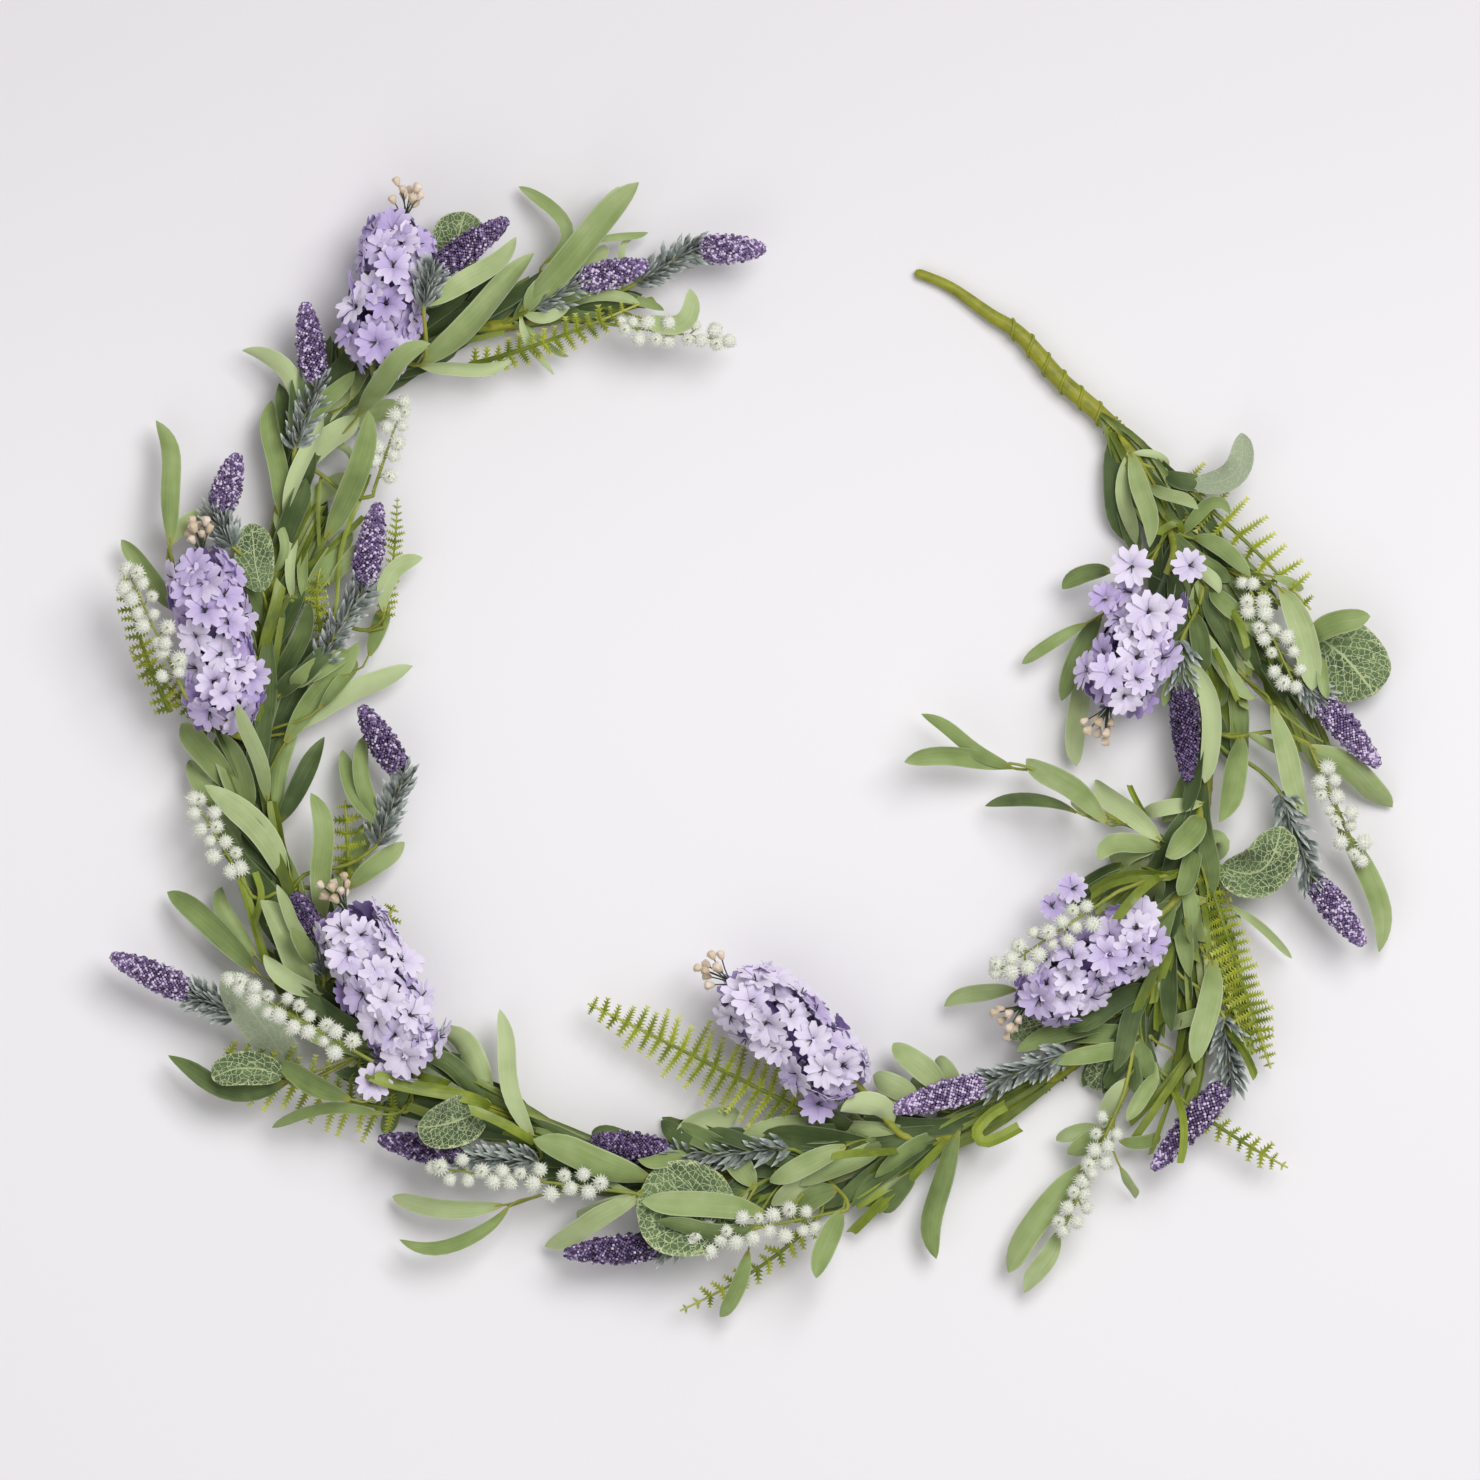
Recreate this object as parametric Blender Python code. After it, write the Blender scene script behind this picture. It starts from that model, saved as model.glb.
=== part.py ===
"""A hyacinth and lavender garland, laid in an open C on a table.

Every place is read off a plan grid over the garland, as seen from above: a plan point is (squares
to the right, squares down) from the grid's top left corner, and a square is 0.54 mm. Widths in
the tables are in squares too, and heights are above the table.

The taped main stem comes first, and then the taped feet of the bunches on it. The blooms, heads,
sprays and fronds are set round it, each at the first height that is free. Then come the side
stems that carry them, and last the leaves, each bent clear of what already stands.
"""
import math
import random
from typing import NamedTuple

import bmesh
import bpy
from mathutils import Vector
from mathutils.bvhtree import BVHTree

MM = 0.001
SQUARE = 0.54 * MM
ORIGIN = (752.0, 747.5)
UP = Vector((0.0, 0.0, 1.0))

# Clearances: between pieces that touch, round a piece that is bent clear, and over the table.
GAP = 0.3 * MM
CLEARANCE = 0.25 * MM
LOWEST = 0.6 * MM

# The main stem, from its bare tail to its tip.
STEM_ROUTE = (
    (915, 272), (950, 287), (990, 315), (1020, 335), (1060, 380), (1100, 415), (1125, 445),
    (1165, 520), (1190, 600), (1203, 700), (1203, 790), (1190, 880), (1165, 960), (1120, 1020),
    (1060, 1070), (990, 1115), (900, 1150), (800, 1170), (700, 1170), (620, 1160), (540, 1130),
    (460, 1095), (390, 1060), (330, 1000), (300, 930), (285, 870), (262, 800), (258, 720),
    (265, 640), (275, 560), (290, 480), (320, 410), (370, 370), (430, 345), (500, 325), (560, 315),
)
STEM_RADIUS = 4.8 * MM
TAIL_RADIUS = 2.7 * MM
TAIL_LENGTH = 100 * MM
STEM_HEIGHT = 7.6 * MM
TAIL_HEIGHT = 3.6 * MM
STEM_SPACING = 40 * MM
STEM_SIDES = 6
# Three thick wraps of tape, cut flat where they rest on the table.
REST_POINTS = ((1197, 640), (715, 1171), (335, 398))
REST_RADIUS = 8.8 * MM
REST_HALF_LENGTH = 5 * MM
REST_TAPER = 4 * MM

FOOT_RADIUS = 3.6 * MM
FOOT_STEP = 14 * MM
FOOT_SIDES = 4
SIDE_STEM_RADIUS = 1.3 * MM
BLOOM_STEM_RADIUS = 2.4 * MM


class Foot(NamedTuple):
    """The taped stretch of a bunch, between two plan points on the main stem."""
    start: tuple
    end: tuple


# The bunches, from the tail to the tip.
FEET = (
    Foot((1118, 437), (1172, 545)),
    Foot((1203, 700), (1203, 745)),
    Foot((1201, 805), (1192, 868)),
    Foot((1168, 950), (1135, 1003)),
    Foot((1085, 1050), (1045, 1081)),
    Foot((960, 1127), (905, 1148)),
    Foot((830, 1166), (765, 1171)),
    Foot((675, 1168), (625, 1161)),
    Foot((525, 1124), (480, 1104)),
    Foot((415, 1074), (375, 1048)),
    Foot((325, 990), (307, 950)),
    Foot((289, 890), (281, 848)),
    Foot((259, 755), (260, 700)),
    Foot((270, 600), (278, 545)),
    Foot((295, 468), (308, 432)),
    Foot((368, 371), (415, 351)),
    Foot((470, 333), (560, 315)),
)


class Spike(NamedTuple):
    """A lavender: its bunch, where its needles start, and the base and tip of its head."""
    bunch: int
    root: tuple
    base: tuple
    tip: tuple


SPIKES = (
    Spike(1, (1180, 640), (1182, 682), (1187, 781)),
    Spike(1, (1300, 680), (1318, 700), (1377, 766)),
    Spike(2, (1279, 792), (1314, 882), (1362, 944)),
    Spike(4, (1223, 1016), (1225, 1083), (1152, 1168)),
    Spike(5, (1068, 1052), (985, 1083), (892, 1109)),
    Spike(7, (790, 1148), (668, 1152), (592, 1138)),
    Spike(7, (700, 1225), (660, 1245), (565, 1252)),
    Spike(9, (540, 1160), (460, 1155), (380, 1138)),
    Spike(11, (240, 1015), (192, 992), (113, 955)),
    Spike(11, (325, 975), (315, 940), (296, 893)),
    Spike(12, (377, 846), (400, 770), (362, 707)),
    Spike(13, (318, 665), (364, 585), (379, 504)),
    Spike(14, (234, 548), (221, 511), (239, 455)),
    Spike(15, (296, 450), (316, 382), (306, 304)),
    Spike(16, (425, 310), (440, 270), (508, 222)),
    Spike(17, (535, 307), (580, 284), (648, 265)),
    Spike(17, (635, 285), (700, 250), (765, 250)),
)
HEAD_RADIUS = 7.4 * MM
HEAD_GRAINS = 0.15
HEAD_SIDES = 6
HEAD_PROFILE = ((0.0, 0.5), (0.12, 0.9), (0.34, 1.0), (0.56, 0.98), (0.78, 0.8), (0.93, 0.5))
# Below a head, rows of needles, one to each face of the stem.
NEEDLE_ROWS = 4
NEEDLE_LENGTH = 14 * MM
NEEDLE_TURN = math.radians(35)
NEEDLE_SPREADS = (36, 20, 9)
NEEDLE_DIPS = (0, -6, 6, -13, 13)


class Bloom(NamedTuple):
    """A hyacinth: its bunch, and the base and tip of its spike."""
    bunch: int
    base: tuple
    tip: tuple


BLOOMS = (
    Bloom(1, (1165, 575), (1110, 700)),
    Bloom(3, (1145, 925), (1030, 1000)),
    Bloom(6, (850, 1078), (735, 985)),
    Bloom(10, (415, 1060), (350, 915)),
    Bloom(13, (225, 715), (205, 560)),
    Bloom(16, (375, 360), (405, 225)),
)
# A bloom is a capsule of florets in rows, each row turned half a floret from the next.
BLOOM_RADIUS = 22.5 * MM
BLOOM_PAST_ENDS = 11 * MM
FLORET_COLUMNS = 6
# Each row's place along the capsule's straight stretch, and how far its florets face forward.
FLORET_ROWS = ((-1.0, -22), (-0.3, -4), (0.42, 14), (0.9, 42))
FLORET_REACH = 0.56
FLORET_NOTCH = 0.58
FLORET_DISH = 3.5 * MM
PETALS = 5
# The core's rings, between the rows: place along the straight stretch, and radius.
CORE_RINGS = ((-1.25, 5), (-0.7, 8.5), (0.05, 9.5), (0.7, 8), (1.3, 4.5))
# The last ring is drawn out into three buds.
BUD_RADIUS = 4.2 * MM
BUD_LENGTH = 15 * MM
BUD_SPREAD = math.radians(27)
STRAIGHT_END = 4 * MM


class Spray(NamedTuple):
    """A spray of berries: its bunch, its root and its tip."""
    bunch: int
    root: tuple
    tip: tuple


SPRAYS = (
    Spray(1, (1235, 560), (1298, 695)),
    Spray(2, (1310, 750), (1362, 865)),
    Spray(3, (1110, 895), (985, 978)),
    Spray(4, (1120, 1100), (1058, 1240)),
    Spray(7, (840, 1210), (682, 1242)),
    Spray(8, (636, 1192), (425, 1165)),
    Spray(10, (375, 1060), (225, 975)),
    Spray(12, (250, 890), (190, 790)),
    Spray(13, (190, 700), (125, 560)),
    Spray(15, (375, 490), (407, 395)),
    Spray(17, (594, 323), (735, 343)),
)
BERRY_RADIUS = 4.35 * MM
BERRY_SPACING = 12.5 * MM
BERRY_REACH = 9 * MM
MOST_BERRIES = 6
BERRY_SIDES = 4
BERRY_STRETCH = 0.75
BERRY_HEEL = 4 * MM
STALK_RADIUS = 1.0 * MM
STALK_ARCH = 2 * MM
STALK_STEPS = 4


class Frond(NamedTuple):
    """A fern frond: its bunch, three points along its rib, and the length of its leaflets."""
    bunch: int
    root: tuple
    middle: tuple
    tip: tuple
    reach: float


FRONDS = (
    Frond(1, (1175, 480), (1245, 542), (1310, 610), 32),
    Frond(3, (1210, 870), (1252, 960), (1292, 1072), 28),
    Frond(4, (1195, 1110), (1243, 1142), (1287, 1167), 24),
    Frond(6, (830, 1120), (700, 1055), (588, 1003), 46),
    Frond(7, (815, 1220), (757, 1268), (680, 1310), 26),
    Frond(10, (400, 1110), (300, 1085), (225, 1048), 38),
    Frond(14, (385, 620), (392, 560), (399, 498), 24),
    Frond(16, (470, 365), (545, 343), (640, 305), 27),
)
# The smallest fronds are part of their bunches.
SMALL_FRONDS = (
    Frond(11, (370, 960), (382, 932), (395, 905), 18),
    Frond(12, (350, 880), (348, 840), (346, 800), 18),
    Frond(13, (215, 730), (172, 690), (130, 650), 20),
)
RIB_RADIUS = 0.9 * MM
RIB_ARCH = 3
# A leaflet's spacing and fewest pairs, and per length: how far it leans forward and droops.
LEAFLET_SPACING = 7 * MM
FEWEST_LEAFLETS = 4
LEAFLET_LEAN = 0.47
LEAFLET_DROOP = 0.12

LOW, MIDDLE, TOP = range(3)


class Leaf(NamedTuple):
    """A blade: three points along its rib, its width, and the layer that it lies in."""
    heel: tuple
    middle: tuple
    tip: tuple
    width: float
    layer: int = MIDDLE


LEAVES = (
    # The tail bunch, at the upper right.
    Leaf((1124, 455), (1124, 505), (1136, 545), 16),
    Leaf((1132, 452), (1143, 500), (1148, 548), 20, TOP),
    Leaf((1144, 490), (1172, 498), (1197, 510), 14, TOP),
    Leaf((1110, 572), (1085, 574), (1062, 589), 18),
    Leaf((1085, 624), (1055, 641), (1022, 664), 13),
    Leaf((1100, 617), (1077, 656), (1061, 701), 20),
    Leaf((1087, 666), (1077, 713), (1076, 766), 21),
    Leaf((1189, 524), (1209, 505), (1229, 515), 14),
    Leaf((1195, 525), (1220, 548), (1249, 577), 18),
    Leaf((1194, 589), (1216, 609), (1244, 631), 18),
    Leaf((1199, 559), (1209, 577), (1219, 594), 14),
    Leaf((1202, 626), (1234, 681), (1256, 696), 16),
    Leaf((1206, 656), (1209, 706), (1204, 783), 20),
    Leaf((1237, 715), (1235, 770), (1218, 822), 24, TOP),
    Leaf((1244, 713), (1261, 741), (1303, 763), 12),
    Leaf((1271, 706), (1284, 756), (1307, 816), 24),
    Leaf((1279, 589), (1301, 631), (1311, 691), 26, TOP),
    Leaf((1318, 656), (1322, 680), (1326, 699), 12),
    Leaf((1321, 741), (1358, 776), (1392, 807), 26),
    # The sprig that points left, and the leaves round it.
    Leaf((1014, 765), (978, 741), (921, 711), 14, TOP),
    Leaf((1010, 767), (956, 756), (904, 762), 20, TOP),
    Leaf((1075, 806), (1060, 780), (1025, 759), 20),
    Leaf((1075, 812), (1036, 799), (985, 806), 14),
    Leaf((1105, 821), (1088, 810), (1073, 797), 14),
    Leaf((1160, 840), (1123, 808), (1095, 780), 22),
    Leaf((1160, 847), (1118, 843), (1099, 860), 20, TOP),
    Leaf((1207, 817), (1183, 840), (1164, 856), 26, TOP),
    Leaf((1201, 847), (1188, 871), (1177, 895), 20),
    # The lower right.
    Leaf((1015, 990), (980, 993), (944, 1006), 18),
    Leaf((1140, 1031), (1095, 1033), (1053, 1038), 20),
    Leaf((1145, 1045), (1095, 1053), (1051, 1062), 18),
    Leaf((1205, 900), (1160, 912), (1122, 942), 22, TOP),
    Leaf((1125, 1078), (1113, 1099), (1103, 1125), 20),
    Leaf((1204, 954), (1210, 989), (1197, 1027), 16),
    Leaf((1345, 830), (1382, 882), (1379, 952), 22),
    Leaf((1212, 960), (1208, 1003), (1193, 1062), 24, TOP),
    Leaf((1200, 1015), (1187, 1020), (1173, 1027), 16),
    Leaf((1102, 1129), (1076, 1131), (1056, 1140), 16),
    Leaf((1104, 1133), (1087, 1142), (1067, 1153), 20),
    Leaf((1119, 1140), (1139, 1142), (1160, 1136), 14),
    Leaf((1087, 1164), (1032, 1216), (1006, 1272), 26),
    Leaf((1058, 1231), (1043, 1263), (1024, 1292), 20),
    Leaf((1150, 1080), (1138, 1100), (1126, 1120), 16),
    # The bottom.
    Leaf((962, 1140), (938, 1190), (936, 1258), 22),
    Leaf((752, 1182), (735, 1158), (718, 1138), 26),
    Leaf((765, 1213), (705, 1203), (642, 1200), 26, TOP),
    Leaf((760, 1225), (705, 1230), (656, 1219), 18, TOP),
    Leaf((845, 1128), (790, 1126), (740, 1138), 24),
    Leaf((900, 1130), (865, 1128), (832, 1135), 16),
    Leaf((915, 1105), (875, 1103), (838, 1110), 20),
    Leaf((918, 1100), (893, 1085), (873, 1075), 24),
    Leaf((945, 1090), (915, 1062), (893, 1043), 26),
    Leaf((958, 1082), (945, 1068), (935, 1060), 18),
    Leaf((845, 1145), (799, 1166), (770, 1181), 22),
    Leaf((831, 1140), (815, 1150), (803, 1159), 14),
    Leaf((885, 1155), (842, 1165), (800, 1185), 22),
    Leaf((830, 1175), (794, 1187), (772, 1205), 22),
    Leaf((844, 1181), (809, 1200), (790, 1220), 24),
    Leaf((842, 1212), (825, 1245), (816, 1276), 22),
    Leaf((748, 1250), (738, 1285), (720, 1316), 16),
    # The bottom left.
    Leaf((551, 1128), (508, 1075), (500, 1009), 19),
    Leaf((493, 1090), (452, 1064), (421, 1058), 20),
    Leaf((650, 1178), (592, 1160), (534, 1138), 30, TOP),
    Leaf((503, 1204), (440, 1208), (393, 1196), 19),
    Leaf((508, 1207), (460, 1242), (400, 1239), 15),
    Leaf((648, 1208), (590, 1222), (545, 1246), 22),
    Leaf((690, 1165), (664, 1158), (638, 1158), 16),
    Leaf((690, 1150), (690, 1130), (740, 1112), 20),
    Leaf((290, 1080), (225, 1088), (169, 1055), 20),
    Leaf((352, 1098), (315, 1083), (277, 1062), 22),
    Leaf((382, 1112), (320, 1108), (273, 1127), 12),
    Leaf((412, 1080), (397, 1103), (384, 1133), 18),
    # The left.
    Leaf((286, 742), (322, 690), (360, 642), 24),
    Leaf((300, 728), (362, 686), (413, 666), 22),
    Leaf((277, 823), (278, 765), (292, 702), 23),
    Leaf((279, 823), (299, 787), (325, 737), 20),
    Leaf((268, 800), (258, 750), (240, 705), 16),
    Leaf((248, 812), (237, 770), (218, 735), 32),
    Leaf((235, 790), (205, 750), (182, 724), 26),
    Leaf((235, 815), (205, 790), (190, 760), 20),
    Leaf((291, 885), (255, 822), (206, 785), 27, TOP),
    Leaf((322, 925), (322, 850), (312, 793), 22),
    Leaf((366, 820), (350, 785), (343, 750), 16),
    Leaf((367, 820), (362, 775), (368, 735), 17),
    Leaf((337, 912), (350, 865), (368, 822), 20),
    Leaf((358, 899), (373, 867), (405, 842), 20),
    Leaf((258, 972), (212, 925), (168, 892), 24),
    Leaf((256, 955), (228, 915), (222, 887), 18),
    Leaf((312, 995), (285, 935), (262, 900), 28, TOP),
    Leaf((318, 950), (295, 922), (279, 884), 14),
    Leaf((325, 965), (305, 945), (292, 928), 18),
    Leaf((317, 1008), (291, 982), (265, 954), 20),
    # The upper left.
    Leaf((171, 546), (172, 480), (157, 421), 20),
    Leaf((171, 546), (194, 521), (224, 514), 18),
    Leaf((283, 516), (277, 460), (272, 401), 20),
    Leaf((285, 514), (300, 470), (324, 414), 16),
    Leaf((303, 466), (331, 437), (360, 418), 24),
    Leaf((327, 539), (358, 472), (370, 412), 24, TOP),
    Leaf((345, 425), (375, 412), (402, 404), 22),
    Leaf((308, 598), (332, 558), (352, 530), 20),
    Leaf((331, 583), (347, 562), (360, 544), 14),
    Leaf((304, 606), (303, 571), (306, 529), 11),
    Leaf((385, 612), (392, 575), (423, 558), 18),
    Leaf((370, 656), (378, 630), (388, 605), 18),
    Leaf((175, 610), (150, 575), (122, 540), 20),
    # The tip bunches, at the top.
    Leaf((416, 387), (478, 318), (535, 255), 26, TOP),
    Leaf((435, 309), (473, 280), (517, 239), 22, TOP),
    Leaf((513, 311), (570, 262), (639, 185), 28, TOP),
    Leaf((560, 262), (595, 228), (619, 187), 16),
    Leaf((545, 264), (566, 228), (519, 187), 14),
    Leaf((560, 305), (595, 297), (640, 304), 12),
    Leaf((637, 318), (680, 325), (690, 290), 20, TOP),
    Leaf((525, 315), (548, 318), (570, 305), 12),
    Leaf((420, 385), (465, 370), (512, 361), 14),
    Leaf((360, 415), (398, 368), (432, 346), 22),
    Leaf((322, 425), (345, 388), (358, 362), 24),
    Leaf((300, 432), (288, 372), (243, 351), 20),
)
# Flat grass-like stems and cut stalks: of one width, with blunt ends.
STRAPS = (
    Leaf((1194, 512), (1175, 524), (1154, 537), 8),
    Leaf((1231, 601), (1240, 624), (1246, 649), 8),
    Leaf((1159, 862), (1124, 877), (1088, 895), 12, TOP),
    Leaf((1157, 866), (1135, 892), (1112, 921), 10, TOP),
    Leaf((1189, 1055), (1160, 1090), (1128, 1125), 8),
    Leaf((1186, 1062), (1152, 1110), (1130, 1144), 8),
    Leaf((1184, 1075), (1181, 1118), (1178, 1162), 8),
    Leaf((1230, 1025), (1242, 1050), (1254, 1078), 8),
    Leaf((905, 1150), (868, 1152), (829, 1155), 8),
    Leaf((900, 1170), (870, 1180), (842, 1189), 16),
    Leaf((900, 1178), (878, 1192), (855, 1205), 12),
    Leaf((892, 1189), (870, 1212), (850, 1233), 10),
    Leaf((470, 1098), (424, 1079), (375, 1060), 14),
    Leaf((545, 1138), (505, 1123), (467, 1107), 10),
    Leaf((462, 1088), (440, 1078), (419, 1068), 8),
    Leaf((264, 654), (273, 616), (282, 579), 12),
)
# Round eucalyptus leaves.
ROUNDS = (
    Leaf((1194, 440), (1240, 448), (1259, 492), 32, TOP),
    Leaf((1335, 628), (1350, 665), (1365, 710), 68),
    Leaf((1222, 830), (1250, 865), (1283, 902), 48),
    Leaf((1121, 1050), (1105, 1066), (1089, 1086), 30),
    Leaf((1088, 1020), (1048, 1022), (1007, 1034), 28),
    Leaf((737, 1205), (690, 1207), (640, 1205), 96, MIDDLE),
    Leaf((478, 1125), (450, 1122), (419, 1125), 50),
    Leaf((280, 1072), (248, 1080), (217, 1080), 33),
    Leaf((290, 1050), (260, 1008), (226, 975), 28, TOP),
    Leaf((243, 588), (236, 556), (228, 525), 36),
    Leaf((450, 272), (458, 242), (466, 213), 52, TOP),
)

BLADE_THICKNESS = 1.3 * MM
LOWEST_HEEL = 1.5 * MM
PETIOLE_WIDTH = 1.8 * MM
SHORTEST_PETIOLE = 14 * MM
# Along a blade: the share of its length, and the share of its width there.
LEAF_OUTLINE = ((0.26, 0.82), (0.62, 0.96), (1.0, 0.0))
STRAP_OUTLINE = ((0.06, 1.0), (0.5, 1.0), (1.0, 0.85))
ROUND_OUTLINE = ((0.06, 0.45), (0.26, 0.9), (0.52, 1.0), (0.8, 0.76), (1.0, 0.18))
LARGEST_ROLL = math.radians(18)

# What each kind of piece may try in turn: heights in mm, and how much its tip is above its root.
BLOOM_LEVELS = (36, 38, 40, 43, 46, 50, 54, 58)
BLOOM_TILTS = (2, -3, 6)
SPIKE_LEVELS = (28, 32, 24, 36, 41, 20, 46, 52, 58, 15, 64)
SPIKE_TILTS = (2, 9, -7)
SPRAY_LEVELS = (30, 34, 26, 39, 44, 22, 50, 56, 62, 18, 68, 74)
SPRAY_TILTS = (3, 10, -8)
FROND_LEVELS = (18, 22, 14, 27, 32, 38, 44, 10, 50, 56)
FROND_TILTS = (0, -7, 8, 16)
STEM_ARCHES = (0, 5, -5, 10, -9, 18)
STEM_SWAYS = (0, 7, -7, 16, -16)
TIP_HEIGHTS = {
    LOW: (3, 5, 8, 12, 17, 23, 30, 38, 46, 56),
    MIDDLE: (12, 8, 17, 5, 23, 3, 30, 38, 47, 57, 67),
    TOP: (40, 47, 34, 55, 28, 63, 22, 16, 10, 5),
}
BLADE_ARCHES = (4, 0, 9, -5, 16)
BLADE_SWAYS = (0, 4, -4, 8, -8)
HEEL_RISES = (1.5, -9, 9, -14, 18, -20)
# A blade stops at the first choice that crosses only its twig, or at the best of so many.
MOST_CROSSINGS_TRIED = 160
OUTER_CROSSING_COST = 3

COLOURS = {
    "tape": (0.24, 0.30, 0.06),
    "foliage": (0.30, 0.42, 0.17),
    "fern": (0.26, 0.36, 0.07),
    "lavender": (0.11, 0.06, 0.20),
    "petal": (0.52, 0.43, 0.74),
    "berry": (0.78, 0.79, 0.68),
}
ROUGHNESS = {"tape": 0.6, "foliage": 0.75, "fern": 0.5, "lavender": 0.8, "petal": 0.7, "berry": 0.95}


class Shape:
    """A closed skin of triangles that point outwards."""

    def __init__(self, points, faces):
        self.points = points
        signed = sum(points[a].dot(points[b].cross(points[c])) for a, b, c in faces)
        self.faces = faces if signed > 0 else [(a, c, b) for a, b, c in faces]
        self.low = Vector([min(point[axis] for point in points) for axis in range(3)])
        self.high = Vector([max(point[axis] for point in points) for axis in range(3)])
        self.tree = BVHTree.FromPolygons(points, self.faces)


def place(point, height):
    """The world point over a plan point, at a height in metres."""
    return Vector(((point[0] - ORIGIN[0]) * SQUARE, (ORIGIN[1] - point[1]) * SQUARE, height))


def flat(vector):
    """A vector with its height taken out."""
    return Vector((vector.x, vector.y, 0.0))


def smooth(points, steps):
    """Points along the Catmull-Rom curve through the given ones, with so many steps a span."""
    ends = [points[0] * 2 - points[1]] + list(points) + [points[-1] * 2 - points[-2]]
    row = []
    for a, b, c, d in zip(ends, ends[1:], ends[2:], ends[3:]):
        for step in range(steps):
            t = step / steps
            row.append((b * 2 + (c - a) * t + (a * 2 - b * 5 + c * 4 - d) * t ** 2
                        + (b * 3 - a - c * 3 + d) * t ** 3) / 2)
    return row + [points[-1]]


def bow(start, middle, end, share):
    """The point at a share of the way along the bow through three points."""
    return (start * ((1 - share) * (1 - 2 * share)) + middle * (4 * share * (1 - share))
            + end * (share * (2 * share - 1)))


def bezier(a, b, c, d, share):
    """The point at a share of the way along a cubic curve."""
    rest = 1 - share
    return (a * rest ** 3 + b * (3 * rest ** 2 * share) + c * (3 * rest * share ** 2)
            + d * share ** 3)


def frames(spine, roll=0.0):
    """For each point of a spine: the point, and the ways to its side and to its upper face."""
    rows = []
    for k, point in enumerate(spine):
        along = (spine[min(k + 1, len(spine) - 1)] - spine[max(k - 1, 0)]).normalized()
        side = along.cross(UP)
        side = side.normalized() if side.length > 0.01 else Vector((1.0, 0.0, 0.0))
        rise = side.cross(along)
        rows.append((point, side * math.cos(roll) + rise * math.sin(roll),
                     rise * math.cos(roll) - side * math.sin(roll)))
    return rows


def loft(rings):
    """A closed shape over a row of rings, where a ring of one point ends it in a tip.

    The quads of a ring's second half are split the other way from those of its first half, so
    that the two faces of a blade are split alike.
    """
    faces = []
    first = 0
    for ring, following in zip(rings, rings[1:]):
        second = first + len(ring)
        count = max(len(ring), len(following))
        for k in range(count):
            after = (k + 1) % count
            if len(ring) == 1:
                faces.append((first, second + after, second + k))
            elif len(following) == 1:
                faces.append((first + k, first + after, second))
            elif 2 * k < count:
                faces.append((first + k, first + after, second + after))
                faces.append((first + k, second + after, second + k))
            else:
                faces.append((first + k, first + after, second + k))
                faces.append((first + after, second + after, second + k))
        first = second
    count = len(rings[0])
    for k in range(2, count):
        faces.append((1, (k + 1) % count, k))
    count = len(rings[-1])
    for k in range(2, count):
        faces.append((first + 1, first + k, first + (k + 1) % count))
    return Shape([point for ring in rings for point in ring], faces)


def tube(spine, radii, sides):
    """A tube along a spine, with an edge along its top; a radius of 0 ends it in a point."""
    rings = []
    for (point, side, rise), radius in zip(frames(spine), radii):
        turns = [math.tau * (k / sides + 0.25) for k in range(sides)] if radius else [0.0]
        rings.append([point + (side * math.cos(turn) + rise * math.sin(turn)) * radius
                      for turn in turns])
    return loft(rings)


def blade(spine, widths, roll, margin):
    """A thin blade with sharp edges and a rib along its upper face."""
    rings = []
    for (point, side, rise), width in zip(frames(spine, roll), widths):
        if width == 0:
            rings.append([point])
            continue
        across = side * (width / 2 + margin)
        rings.append([point - across - rise * margin,
                      point + rise * (BLADE_THICKNESS + margin),
                      point + across - rise * margin])
    return loft(rings)


class Garland:
    """The shapes that stand so far, by the name of their node."""

    def __init__(self):
        self.nodes = {}
        self.twigs = []

    def stand(self, node, shapes):
        """Add shapes to a node."""
        self.nodes.setdefault(node, []).extend(shapes)

    def is_clear(self, node, shapes):
        """Whether shapes for a node stay over the table and off the other nodes."""
        for shape in shapes:
            if shape.low.z < LOWEST:
                return False
            for name, others in self.nodes.items():
                if name == node:
                    continue
                for other in others:
                    apart = any(shape.low[k] > other.high[k] or shape.high[k] < other.low[k]
                                for k in range(3))
                    if not apart and shape.tree.overlap(other.tree):
                        return False
        return True

    def crossings(self, node, shape):
        """How many of a node's own shapes one more shape for it crosses."""
        return sum(1 for other in self.nodes[node] if shape.tree.overlap(other.tree))

    def settle(self, node, build, choices):
        """Add what build makes of the first choice that is clear, and return that choice."""
        for choice in choices:
            if self.is_clear(node, build(choice, CLEARANCE)):
                self.stand(node, build(choice, 0.0))
                return choice
        return None


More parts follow.
